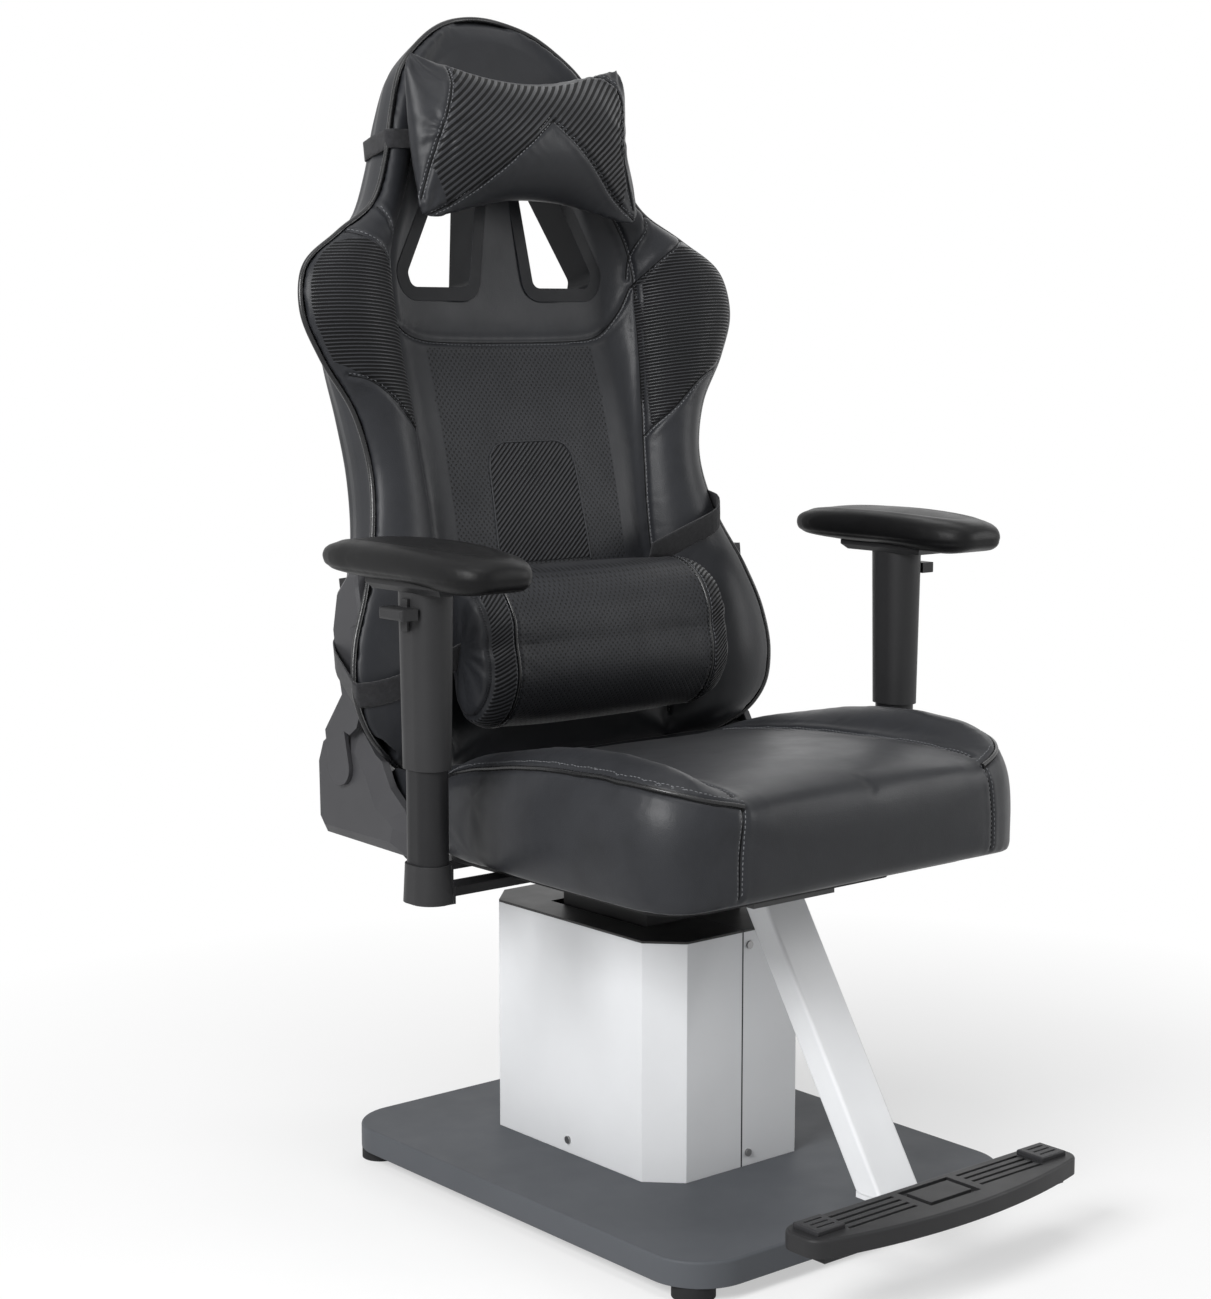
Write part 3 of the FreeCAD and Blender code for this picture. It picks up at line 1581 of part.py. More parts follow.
def arm_pad_plate():
    """The plate under the pad, bevelled at its lower edges."""
    body = new_body("arm_pad_plate_left")
    drawing = sketch(body, "XY_Plane", size.sleeve_top)
    half_x = size.arm_plate_half_x
    half_y = size.arm_plate_half_y
    x = (size.arm_half - half_x, size.arm_half + half_x)
    rectangle(drawing, x, (size.arm_y - half_y, size.arm_y + half_y))
    plate = pad(body, drawing, size.arm_plate_thick)
    level = at_height(size.sleeve_top)
    round_edges(body, plate, level, size.arm_plate_bevel, "PartDesign::Chamfer")
    return node(body, "arm_pad_plate_left")


# Armrest pad rows from front to rear: place, half width, height of the underside and of the crown
REST_SHARES = [
    (0.000, 0.42, 0.10, 0.42),
    (0.020, 0.66, -0.02, 0.60),
    (0.070, 0.86, -0.12, 0.76),
    (0.160, 0.97, -0.14, 0.88),
    (0.290, 1.00, -0.07, 0.97),
    (0.430, 1.00, 0.00, 1.02),
    (0.600, 0.98, 0.00, 1.03),
    (0.770, 0.94, 0.02, 0.98),
    (0.900, 0.86, 0.08, 0.86),
    (0.970, 0.68, 0.16, 0.72),
    (1.000, 0.44, 0.26, 0.56),
]


# Points of the pad's section on one side, as shares of its half width and its rise: underside's end,
# lower turn, flank, upper turn and shoulder
REST_POINT_SHARES = [(0.66, 0.0), (0.90, 0.13), (1.0, 0.5), (0.925, 0.76), (0.72, 0.88)]


def rest_section(row):
    """One closed cross-section of the arm pad: flat underside, round flanks and crowned top."""
    along, wide, low, high = row
    y = float(size.rest_y) + float(size.rest_long) * (along - 0.5)
    half = float(size.rest_half_x) * wide
    base = float(size.sleeve_top) + float(size.arm_plate_thick)
    z0 = base + float(size.rest_high) * low
    z1 = base + float(size.rest_high) * high
    middle = float(size.arm_half)
    right = [Vector(middle + half * x, y, between(z0, z1, z)) for x, z in REST_POINT_SHARES]
    left = [Vector(middle - half * x, y, between(z0, z1, z)) for x, z in REST_POINT_SHARES]
    edges = [
        line(left[0], right[0]),
        arc(*right[:3]),
        arc(*right[2:]),
        arc(right[4], Vector(middle, y, z1), left[4]),
        arc(*left[:1:-1]),
        arc(*left[2::-1]),
    ]
    return Part.Wire(edges)


def arm_pad():
    """The padded rest; its underside is cut level where it lies on its plate."""
    shape = solid_loft([rest_section(row) for row in REST_SHARES])
    plate_top_z = float(size.sleeve_top) + float(size.arm_plate_thick)
    half_x = float(size.arm_plate_half_x)
    half_y = float(size.arm_plate_half_y)
    deep = float(size.rest_high)
    seat = Part.makeBox(
        2 * half_x,
        2 * half_y,
        deep,
        Vector(float(size.arm_half) - half_x, float(size.arm_y) - half_y, plate_top_z - deep),
    )
    return node(shape_node("arm_pad_left", shape.cut(seat)), "arm_pad_left")


def height_button():
    """The height paddle on the sleeve's outer side: a cross bar on a flat stem."""
    x0 = size.arm_half + size.sleeve_top_x + size.button_gap
    y = size.arm_y
    stem = block(
        "button_stem",
        (x0, x0 + size.button_stem_thick),
        (y - size.button_stem_half_y, y + size.button_stem_half_y),
        (size.button_stem_low, size.button_stem_low + size.button_stem_high),
    )
    body = new_body("button_bar")
    drawing = sketch(body, "XY_Plane", size.button_z)
    rectangle(drawing, (x0, x0 + size.button_out), (y - size.button_half_y, y + size.button_half_y))
    bar = pad(body, drawing, size.button_thick)
    far = float(x0 + size.button_out)
    outer = lambda edge: all(abs(vertex.X - far) < float(size.overrun) for vertex in edge.Vertexes)
    round_edges(body, bar, outer, size.button_thick / 3)
    return node(fuse("height_button_left", [stem, body]), "height_button_left")


# Recliner. The plates lie side by side: backrest's side, upper bracket, lower bracket, covers

upper_skin = size.back_side + size.bracket_gap
lower_skin = upper_skin + size.bracket_skin + size.bracket_gap
cover_inner = lower_skin + size.bracket_skin + size.bracket_gap
cover_outer = cover_inner + size.lower_shell_deep
tongue_inner = cover_outer + size.bracket_gap
tongue_outer = tongue_inner + size.tongue_thick


def tooth_ring(radius, height, pitch, first, count, outward):
    """Points of a row of pointed teeth on an arc, by angle from +Y in the YZ plane."""
    points = []
    for number in range(count):
        start = math.radians(first + pitch * number)
        middle = math.radians(first + pitch * (number + 0.5))
        peak = radius + height if outward else radius - height
        points.append((radius * math.cos(start), radius * math.sin(start)))
        points.append((peak * math.cos(middle), peak * math.sin(middle)))
    stop = math.radians(first + pitch * count)
    points.append((radius * math.cos(stop), radius * math.sin(stop)))
    return points


def plate_yz(points, low, thick):
    """A flat plate across X from a closed outline of (y, z) points."""
    corners = [Vector(low, y, z) for y, z in points]
    face = Part.Face(Part.makePolygon(corners + corners[:1]))
    return face.extrude(Vector(thick, 0, 0))


def disc_yz(radius, low, thick, y=0.0, z=0.0):
    return Part.makeCylinder(radius, thick, Vector(low, y, z), Vector(1, 0, 0))


# Corners of the recliner's plates and covers, as shares of the sector's radius.
# The upper pieces are given in the backrest's upright frame, the lower ones in the chair's.
UPPER_ARM_SHARES = [(0.70, 0.35), (-0.40, 1.9), (-0.85, 5.45), (-1.65, 5.45), (-1.75, 2.1), (-0.95, 0.2)]
STUD_SHARES = [(-1.18, 2.75), (-1.22, 4.9)]
LOWER_ARM_SHARES = [
    (-3.60, -2.57),
    (-2.83, -2.57),
    (-0.60, -1.55),
    (0.75, -0.65),
    (0.80, 0.30),
    (-0.55, 0.75),
    (-2.05, -0.30),
    (-3.55, -1.85),
]
UPPER_BLADE_SHARES = [
    (-0.49, 2.14),
    (-0.40, 3.37),
    (-0.40, 4.29),
    (-0.83, 5.37),
    (-1.60, 5.94),
    (-2.03, 5.89),
    (-2.00, 5.46),
    (-2.04, 4.36),
    (-2.05, 4.20),
    (-2.11, 2.46),
    (-1.57, 1.74),
]
UPPER_RIDGE_SHARES = [
    (-0.60, 2.24),
    (-0.50, 3.37),
    (-0.50, 4.25),
    (-0.90, 5.28),
    (-1.60, 5.80),
    (-1.94, 5.76),
    (-1.91, 5.40),
    (-1.95, 4.38),
    (-1.42, 4.24),
    (-1.60, 2.70),
    (-1.46, 2.05),
]
TONGUE_SHARES = [
    (0.54, 1.20),
    (-0.49, 2.14),
    (-0.60, 2.24),
    (-1.46, 2.05),
    (-1.57, 1.74),
    (-1.20, 1.17),
    (-0.77, 0.97),
    (-0.49, 1.11),
]
LOWER_SHELL_SHARES = [
    (1.15, 0.74),
    (1.42, 0.03),
    (1.38, -1.77),
    (1.15, -2.24),
    (-3.14, -2.34),
    (-3.34, -1.63),
    (-3.06, -0.94),
    (-2.29, -0.37),
    (-1.83, 0.40),
    (-1.51, 0.57),
    (-0.80, 1.26),
    (-0.30, 1.10),
]
LOWER_RIDGE_SHARES = [
    (1.08, 0.66),
    (1.34, 0.02),
    (1.30, -1.72),
    (1.08, -1.97),
    (-2.49, -1.99),
    (-2.63, -1.54),
    (-2.35, -1.32),
    (-1.71, -1.03),
    (-1.35, -0.40),
    (-1.20, -0.11),
    (-0.60, 0.52),
    (-0.25, 0.60),
]


def in_radii(shares):
    radius = float(size.sector_radius)
    return [(y * radius, z * radius) for y, z in shares]


# The toothed sector's first tooth and the plain turn of its hub, in degrees from the rear
SECTOR_START = 222
SECTOR_TEETH = 20
HUB_ANGLES = range(350, 576, 12)


def on_circle(radius, angle):
    return radius * math.cos(math.radians(angle)), radius * math.sin(math.radians(angle))


def recliner_upper():
    """The backrest's side plate: toothed sector, pin bore and the arm that is bolted to the frame."""
    low = float(upper_skin)
    thick = float(size.bracket_skin)
    tooth = float(size.sector_tooth)
    root = float(size.sector_radius) - tooth
    pitch = float(size.sector_pitch)
    teeth = tooth_ring(root, tooth, pitch, SECTOR_START, SECTOR_TEETH, True)
    turn = [on_circle(root, angle) for angle in HUB_ANGLES]
    hub = plate_yz(teeth + turn, low, thick)
    shape = hub.fuse(plate_yz(in_radii(UPPER_ARM_SHARES), low, thick)).removeSplitter()
    over = float(size.overrun)
    bore = float(size.pin_radius + size.shaft_gap)
    holes = [disc_yz(bore, low - over, thick + 2 * over)]
    for y, z in in_radii(STUD_SHARES):
        holes.append(disc_yz(float(size.stud_radius + size.stem_gap), low - over, thick + 2 * over, y, z))
    shape = shape.cut(holes)
    shape_object = shape_node("recliner_upper_left", shape)
    lean_back(shape_object)
    return node(shape_object, "recliner_upper_left")


def pawl_axis():
    return size.pivot_y - size.pawl_arm_y, size.pivot_z - size.pawl_arm_z


# How far below the axis the foot's web ends, as a share of the sector's radius
WEB_TOP_SHARE = 2.4


def recliner_lower():
    """The seat's side plate: pin and rod bores, and the foot that is bolted under the pan."""
    low = float(lower_skin)
    thick = float(size.bracket_skin)
    over = float(size.overrun)
    pivot = Vector(0, float(size.pivot_y), float(size.pivot_z))
    plate = plate_yz(in_radii(LOWER_ARM_SHARES), 0, thick)
    plate.translate(Vector(low, pivot.y, pivot.z))
    y = pivot.y + in_radii(LOWER_ARM_SHARES)[0][0]
    deep = in_radii([(LOWER_ARM_SHARES[1][0] - LOWER_ARM_SHARES[0][0], 0)])[0][0]
    inner = float(size.mount_wide) / 2 + over
    foot = Part.makeBox(low + thick - inner, deep, float(size.rail_high), Vector(inner, y, float(mount_top)))
    web_high = pivot.z - float(mount_top) - WEB_TOP_SHARE * float(size.sector_radius)
    web = Part.makeBox(thick, deep, web_high, Vector(low, y, float(mount_top)))
    shape = plate.fuse([foot, web]).removeSplitter()
    pin = disc_yz(float(size.pin_radius) + float(size.stem_gap), low - over, thick + 2 * over, pivot.y, pivot.z)
    rod_y, rod_z = (float(value) for value in pawl_axis())
    hole = disc_yz(float(size.rod_radius) + float(size.shaft_gap), low - over, thick + 2 * over, rod_y, rod_z)
    return node(shape_node("recliner_lower_left", shape.cut([pin, hole])), "recliner_lower_left")


def recliner_pins():
    """The two shouldered pins that the backrest turns on."""
    pins = []
    for name, side in (("left", 1), ("right", -1)):
        near = side * (size.back_side + size.bracket_gap / 2)
        seat = side * (lower_skin + size.bracket_skin)
        far = seat + side * size.pin_head_high
        shank_x = (near, far) if side > 0 else (far, near)
        head_x = (seat, far) if side > 0 else (far, seat)
        shank = cross_rod(f"{name}_pin_shank", size.pin_radius, *shank_x, size.pivot_y, size.pivot_z)
        head = cross_rod(f"{name}_pin_head", size.pin_head_radius, *head_x, size.pivot_y, size.pivot_z)
        pins.append(fuse(f"{name}_pin", [shank, head]))
    node(compound("recliner_pins", pins), "recliner_pins")


# The pawl: its first tooth and its tail in degrees from the rear, and its teeth; its back stands off by
# a count of tooth heights, and its arm's upper edge lies a share of the boss above the rod
PAWL_START = 240
PAWL_TEETH = 5
PAWL_TAIL_ANGLES = (270, 255)
PAWL_BACK_SHARE = 4
PAWL_ARM_SHARE = 0.3


def release_rod():
    """The cross rod that turns both toothed pawls."""
    rod_y, rod_z = (float(value) for value in pawl_axis())
    reach = float(tongue_outer + size.lever_out)
    near = float(cover_inner)
    rod_shape = disc_yz(float(size.rod_radius), -near, near + reach, rod_y, rod_z)
    thick = float(size.bracket_skin)
    low = float(upper_skin)
    tip = float(size.sector_radius + size.pawl_lift)
    tooth = float(size.sector_tooth)
    pitch = float(size.sector_pitch)
    inner = tooth_ring(tip + tooth, tooth, pitch, PAWL_START, PAWL_TEETH, False)
    back = [on_circle(tip + PAWL_BACK_SHARE * tooth, angle) for angle in PAWL_TAIL_ANGLES]
    boss = float(size.pawl_boss_radius)
    arm_y = -float(size.pawl_arm_y)
    arm_z = -float(size.pawl_arm_z)
    points = inner + back + [(arm_y, arm_z - boss), (arm_y, arm_z + boss * PAWL_ARM_SHARE)]
    shape = rod_shape
    for side in (1, -1):
        pawl = plate_yz(points, low if side > 0 else -low - thick, thick)
        pawl.translate(Vector(0, float(size.pivot_y), float(size.pivot_z)))
        start = low if side > 0 else -low - thick
        shape = shape.fuse([pawl, disc_yz(boss, start, thick, rod_y, rod_z)])
    node(shape_node("release_rod", shape.removeSplitter()), "release_rod")


def recline_lever():
    """The release lever on the person's left: hub on the rod, flat arm and rounded grip."""
    rod_y, rod_z = pawl_axis()
    inner = tongue_outer + size.bracket_gap
    outer = inner + size.lever_thick
    hub = cross_rod("lever_hub", size.lever_high / 2, inner, outer, rod_y, rod_z)
    reach = rod_y - size.lever_long
    arm = block(
        "lever_arm",
        (inner, outer),
        (reach + size.lever_grip_long / 2, rod_y),
        (rod_z - size.lever_high / 3, rod_z + size.lever_high / 3),
    )
    body = new_body("lever_grip")
    drawing = sketch(body, "XY_Plane", rod_z - size.lever_high / 2)
    rectangle(drawing, (inner, inner + size.lever_grip_thick), (reach, reach + size.lever_grip_long))
    grip = pad(body, drawing, size.lever_high)
    round_edges(body, grip, lambda edge: not upright(edge), size.lever_grip_thick / 3)
    bore = cross_rod(
        "lever_bore", size.rod_radius, inner - size.overrun, inner + size.lever_out, rod_y, rod_z
    )
    node(cut("recline_lever", fuse("lever_blank", [hub, arm, body]), [bore]), "recline_lever")


def shrunk(points, amount):
    """An outline moved inwards by an amount."""
    face = Part.Face(Part.makePolygon([Vector(0, y, z) for y, z in points + points[:1]]))
    return face.makeOffset2D(-amount, 2, False, False, False).OuterWire


def faceted_shell(outer, ridge, low, high, bevel):
    """A hollow moulded cover: walls, facets that lean in to a smaller outline, and a flat outer face."""
    wall = float(size.shell_wall)
    skirt = plate_yz(outer, low, high - low - bevel)
    base = Part.makePolygon([Vector(high - bevel, y, z) for y, z in outer + outer[:1]])
    top = Part.makePolygon([Vector(high, y, z) for y, z in ridge + ridge[:1]])
    shape = skirt.fuse(solid_loft([base, top], ruled=True)).removeSplitter()
    hollow = Part.Face(shrunk(outer, wall)).extrude(Vector(high - low - bevel - wall, 0, 0))
    hollow.translate(Vector(low, 0, 0))
    return shape.cut(hollow)


# The lower cover's hole round the release rod, as a share of the rod's radius
ROD_HOLE_SHARE = 1.6


def lower_covers():
    """The faceted lower covers: the left one is pierced by the release rod."""
    low = float(cover_inner)
    high = float(cover_outer)
    outer = in_radii(LOWER_SHELL_SHARES)
    shape = faceted_shell(outer, in_radii(LOWER_RIDGE_SHARES), low, high, float(size.lower_shell_bevel))
    shape.translate(Vector(0, float(size.pivot_y), float(size.pivot_z)))
    mirror(shape_node("lower_cover_blank", shape), "lower_cover_right")
    rod_y, rod_z = (float(value) for value in pawl_axis())
    hole = disc_yz(float(size.rod_radius) * ROD_HOLE_SHARE, low, high - low + float(size.overrun), rod_y, rod_z)
    node(shape_node("lower_cover_left", shape.cut(hole)), "lower_cover_left")


def upper_cover():
    """The faceted upper cover: a hollow blade on the bracket's arm and a tongue over the pivot."""
    low = float(lower_skin)
    high = float(tongue_outer)
    blade = in_radii(UPPER_BLADE_SHARES)
    shell = faceted_shell(blade, in_radii(UPPER_RIDGE_SHARES), low, high, float(size.upper_shell_bevel))
    near = float(tongue_inner)
    tongue_points = in_radii(TONGUE_SHARES)
    radius = float(size.tongue_radius)
    neck_points = [(-radius, 0.0), (radius, 0.0), tongue_points[0], tongue_points[-1]]
    tongue = [plate_yz(points, near, high - near) for points in (tongue_points, neck_points)]
    shape = shell.fuse(tongue + [disc_yz(radius, near, high - near)]).removeSplitter()
    cover = shape_node("upper_cover_left", shape)
    lean_back(cover)
    return node(cover, "upper_cover_left")


# Backrest rows from bottom to top, as shares of its height, half width and depths:
# height, front half width, side half width, rear half width, ridge, dish, panel seam, face, rear, piping
BACK_SHARES = [
    (0.000, 0.660, 0.640, 0.600, 0.15, 0.05, 0.500, 0.70, 0.60, 0.10),
    (0.012, 0.785, 0.745, 0.700, 0.45, 0.10, 0.520, 0.90, 0.85, 0.40),
    (0.035, 0.885, 0.815, 0.770, 0.78, 0.15, 0.530, 1.00, 1.00, 0.80),
    (0.065, 0.960, 0.832, 0.790, 0.92, 0.15, 0.535, 1.00, 1.00, 1.00),
    (0.110, 1.000, 0.832, 0.790, 1.04, 0.15, 0.535, 1.00, 1.00, 1.03),
    (0.170, 0.985, 0.832, 0.790, 1.04, 0.15, 0.535, 1.00, 1.00, 1.03),
    (0.235, 0.915, 0.832, 0.785, 0.98, 0.18, 0.533, 1.00, 1.00, 1.00),
    (0.315, 0.825, 0.760, 0.735, 0.80, 0.22, 0.530, 1.00, 1.00, 0.62),
    (0.400, 0.790, 0.745, 0.725, 0.66, 0.34, 0.545, 1.00, 1.00, 0.39),
    (0.470, 0.835, 0.770, 0.745, 0.72, 0.56, 0.562, 1.00, 1.00, 0.41),
    (0.540, 0.955, 0.815, 0.775, 0.88, 0.90, 0.578, 1.00, 1.00, 0.50),
    (0.600, 1.020, 0.850, 0.790, 0.96, 1.22, 0.585, 1.00, 1.00, 0.55),
    (0.650, 0.997, 0.840, 0.775, 0.90, 1.16, 0.588, 1.00, 1.00, 0.52),
    (0.700, 0.820, 0.730, 0.690, 0.60, 1.00, 0.560, 1.00, 1.00, 0.35),
    (0.745, 0.635, 0.595, 0.570, 0.28, 0.84, 0.500, 1.00, 1.00, 0.16),
    (0.800, 0.555, 0.525, 0.500, 0.20, 0.53, 0.440, 0.95, 1.00, 0.12),
    (0.865, 0.500, 0.470, 0.440, 0.20, 0.25, 0.390, 0.90, 0.95, 0.12),
    (0.925, 0.430, 0.400, 0.360, 0.18, 0.15, 0.330, 0.85, 0.85, 0.10),
    (0.960, 0.330, 0.302, 0.265, 0.14, 0.10, 0.245, 0.76, 0.70, 0.07),
    (0.985, 0.225, 0.205, 0.175, 0.10, 0.06, 0.160, 0.66, 0.54, 0.05),
    (1.000, 0.110, 0.100, 0.085, 0.06, 0.05, 0.070, 0.52, 0.35, 0.03),
]

# Shares that shape the cushion's section: how far forward the straight side runs, the waist's hollow,
# the crest's place between seam and side, the floor of the dish and its depth, and the cove beside it
BACK_SIDE_SHARE = 0.9
BACK_WAIST_SHARE = 0.10
BACK_CREST_SHARE = 0.56
BACK_FLOOR_SHARE = 0.84
BACK_FLOOR_DEEP_SHARE = 0.88
BACK_COVE_SHARE = 0.6


def back_section(row):
    """One level cross-section of the front cushion, from the joint plane forward to the bolsters."""
    up, front, side, _, ridge, dish, seam, face, _, piping = row
    half = float(size.back_half)
    z = float(size.back_high) * up - float(size.back_low)
    split = -float(size.back_split) - float(size.back_joint_gap)
    d_face = -float(size.back_face) * face
    d_ridge = d_face - float(size.back_ridge) * ridge
    d_pipe = d_face - float(size.back_piping) * piping
    d_side = between(split, max(-float(size.back_step), d_face), BACK_SIDE_SHARE)
    x_front = half * front
    x_side = half * side
    x_seam = half * seam
    x_crest = between(x_seam, x_front, BACK_CREST_SHARE)
    x_floor = x_seam * BACK_FLOOR_SHARE
    d_dish = d_face + float(size.back_dish) * dish
    d_floor = between(d_face, d_dish, BACK_FLOOR_DEEP_SHARE)
    edges = [line(Vector(-x_side, split, z), Vector(x_side, split, z))]
    for sign in (1, -1):
        heel = Vector(sign * x_side, split, z)
        knee = Vector(sign * x_side, d_side, z)
        pipe = Vector(sign * x_front, d_pipe, z)
        crest = Vector(sign * x_crest, d_ridge, z)
        crease = Vector(sign * x_seam, d_face, z)
        floor = Vector(sign * x_floor, d_floor, z)
        waist = (knee + pipe) * 0.5 + Vector(-sign * (pipe - knee).Length * BACK_WAIST_SHARE, 0, 0)
        cove_x = between(x_floor, x_seam, BACK_COVE_SHARE)
        cove = Vector(sign * cove_x, between(d_face, d_floor, BACK_COVE_SHARE), z)
        steps = [(heel, None, knee), (knee, waist, pipe), (pipe, crest, crease), (crease, cove, floor)]
        if sign < 0:
            steps = [step[::-1] for step in steps[::-1]]
        for start, via, stop in steps:
            edges.append(line(start, stop) if via is None else arc(start, via, stop))
        if sign > 0:
            edges.append(arc(floor, Vector(0, d_dish, z), Vector(-floor.x, floor.y, z)))
    return Part.Wire(edges)


# Shares that shape the shell's section: how far the side leans in before it turns, the turn's bulge
# sideways and to the rear, and the turn's size inside the hollow
SHELL_LEAN_SHARE = 0.6
SHELL_BULGE_SHARE = 0.05
SHELL_TURN_SHARE = 0.3
SHELL_INNER_SHARE = 0.3


def rear_section(row, inset=0.0, floor=0.0):
    """One level cross-section of the rear shell, or of the hollow inside it."""
    up, _, side, rear, _, _, _, _, depth, _ = row
    half = float(size.back_half)
    z = float(size.back_high) * up - float(size.back_low)
    split = -float(size.back_split)
    x_side = half * side - inset
    x_rear = half * rear - inset
    deep = float(size.back_rear) * depth - floor
    turn = float(size.back_rear_round) * depth * (1 if inset == 0 else SHELL_INNER_SHARE)
    edges = [line(Vector(x_side, split, z), Vector(-x_side, split, z))]
    left = [Vector(-x_side, split, z), Vector(-between(x_side, x_rear, SHELL_LEAN_SHARE), deep - turn, z)]
    bend = Vector(-x_rear - turn * SHELL_BULGE_SHARE, deep - turn * SHELL_TURN_SHARE, z)
    stop = Vector(-x_rear + turn, deep, z)
    edges.append(line(left[0], left[1]))
    edges.append(arc(left[1], bend, stop))
    edges.append(line(stop, Vector(-stop.x, deep, z)))
    edges.append(arc(Vector(-stop.x, deep, z), Vector(-bend.x, bend.y, z), Vector(-left[1].x, left[1].y, z)))
    edges.append(line(Vector(-left[1].x, left[1].y, z), Vector(x_side, split, z)))
    return Part.Wire(edges)


# Harness opening corners (x, height) on the left side, as shares of the opening's outer height:
# inner low, outer low, outer knee, outer top, inner top
TRIM_SHARES = [(0.225, 0.00), (0.93, 0.00), (1.00, 0.22), (0.60, 1.00), (0.07, 1.00)]


def trim_wire(inset, depth):
    """The rounded outline of a harness trim on a plane of given depth, moved in by an inset."""
    high = float(size.trim_top - size.trim_low)
    low = float(size.trim_low)
    corner = float(size.trim_corner)
    points = [Vector(x * high, 0, low + z * high) for x, z in TRIM_SHARES]
    face = Part.Face(Part.makePolygon(points + points[:1]))
    core = face.makeOffset2D(-corner, 2, False, False, False)
    wire = core.makeOffset2D(corner - inset, 0, False, False, False).OuterWire
    wire.translate(Vector(0, depth, 0))
    return wire


def trim_tool(inset, front, rear):
    """A prism of the trim's outline between two depths."""
    return Part.Face(trim_wire(inset, front)).extrude(Vector(0, rear - front, 0))


def both_sides(shape):
    return [shape, shape.mirror(Vector(), Vector(1, 0, 0))]


def opening_tools(gap):
    inset = float(size.trim_flange) - float(size.trim_wall) - gap
    tool = trim_tool(inset, -2 * float(size.back_face), 2 * float(size.back_rear))
    return both_sides(tool)


# Where the tilted slab turns, as a share of the opening's height across, and the rear flange's inset
# as a share of the front flange's width
NOSE_TURN_SHARE = 0.65
TAIL_INSET_SHARE = 0.3


def nose_slab(gap):
    """The tilted slab that the front flange of the left harness trim fills, grown by a gap."""
    big = float(size.back_half)
    high = float(size.trim_top - size.trim_low)
    thick = float(size.trim_nose_thick)
    slab = Part.makeBox(4 * big, thick + 2 * gap, 4 * big, Vector(-2 * big, -gap, -2 * big))
    middle = Vector(NOSE_TURN_SHARE * high, -float(size.trim_nose_depth), float(size.trim_low))
    turn = FreeCAD.Rotation(Vector(0, 0, 1), -float(size.trim_turn))
    tip = FreeCAD.Rotation(Vector(1, 0, 0), float(size.trim_tip))
    slab.Placement = FreeCAD.Placement(middle, turn.multiply(tip))
    return slab


def nose_tool(inset, gap):
    """The front flange's own shape: the trim outline cut to the tilted slab."""
    face = 3 * float(size.back_face)
    return trim_tool(inset, -face, face).common(nose_slab(gap))


def backrest_cushion():
    """The front cushion: dished panel between bolsters, side rebates for the frame's lugs, two openings."""
    shape = solid_loft([back_section(row) for row in BACK_SHARES])
    gap = float(size.back_joint_gap)
    over = float(size.overrun)
    x = float(size.back_side - size.lug_thick) - gap
    rebate = Part.makeBox(
        2 * float(size.lug_thick) + float(size.back_half),
        float(size.lug_front) + over,
        float(size.lug_high - size.lug_low) + 2 * gap,
        Vector(x, -float(size.lug_front) - gap, float(size.lug_low) - gap),
    )
    notch = Part.makeBox(
        float(size.back_half),
        float(size.notch_front),
        float(size.notch_high + size.back_low) + over,
        Vector(float(size.back_side) - gap, -float(size.notch_front), -float(size.back_low) - over),
    )
    rebate = rebate.fuse(notch)
    shape = shape.cut(both_sides(rebate) + opening_tools(gap) + both_sides(nose_tool(-gap, gap)))
    cushion = shape_node("backrest_cushion", shape)
    lean_back(cushion)
    node(cushion, "backrest_cushion")


# The frame's lug and its bridge: the depth of the shell's rebate in tube radii, the slot's height as a
# share of the lug's, and where it starts, as shares of the half width and of the lug's lower end
LUG_DEEP_SHARE = 1.7
LUG_SLOT_SHARE = 0.5
LUG_START_SHARE = 0.74
LUG_RISE_SHARE = 1.5
LUG_REACH_SHARE = 3


def back_shell():
    """The rear shell: a shallow tray that holds the frame against the cushion."""
    shape = solid_loft([rear_section(row) for row in BACK_SHARES])
    inner_rows = BACK_SHARES[2:-1]
    hollow = solid_loft(
        [rear_section(row, float(size.tray_inset), float(size.tray_wall)) for row in inner_rows]
    )
    gap = float(size.back_joint_gap)
    x = float(size.back_side - size.lug_thick) - gap
    deep = LUG_DEEP_SHARE * float(size.frame_radius) + 2 * gap
    rebate = Part.makeBox(
        float(size.lug_thick) * LUG_REACH_SHARE,
        deep + float(size.overrun),
        float(size.lug_high - size.lug_low) + 2 * gap,
        Vector(x, -float(size.back_split) - float(size.overrun), float(size.lug_low) - gap),
    )
    slot = Part.makeBox(
        float(size.tray_inset) + float(size.lug_thick) * LUG_REACH_SHARE,
        deep,
        float(size.lug_high - size.lug_low) * LUG_SLOT_SHARE,
        Vector(
            float(size.back_half) * LUG_START_SHARE,
            -float(size.back_split),
            float(size.lug_low) * LUG_RISE_SHARE,
        ),
    )
    ring = trim_tool(-gap, -float(size.back_face), float(size.back_rear) - float(size.tray_wall))
    tray = shape.cut([hollow.cut(both_sides(ring))] + both_sides(rebate) + both_sides(slot))
    tray = tray.cut(opening_tools(gap))
    shell = shape_node("back_shell", tray)
    lean_back(shell)
    node(shell, "back_shell")


# The frame loop's corners (x, height) as shares of the backrest's half width and height
FRAME_SHARES = [(0.70, 0.045), (0.735, 0.130), (0.655, 0.330), (0.655, 0.520), (0.465, 0.735), (0.30, 0.850)]


# The three cross tubes (x, height) in the same shares, and the thickness of cross tubes and bridges in
# shares of the loop's
CROSS_SHARES = [(0.70, 0.058), (0.69, 0.245), (0.655, 0.500)]
CROSS_THICK_SHARE = 0.9
BRIDGE_THICK_SHARE = 0.7
BRIDGE_START_SHARE = 0.70


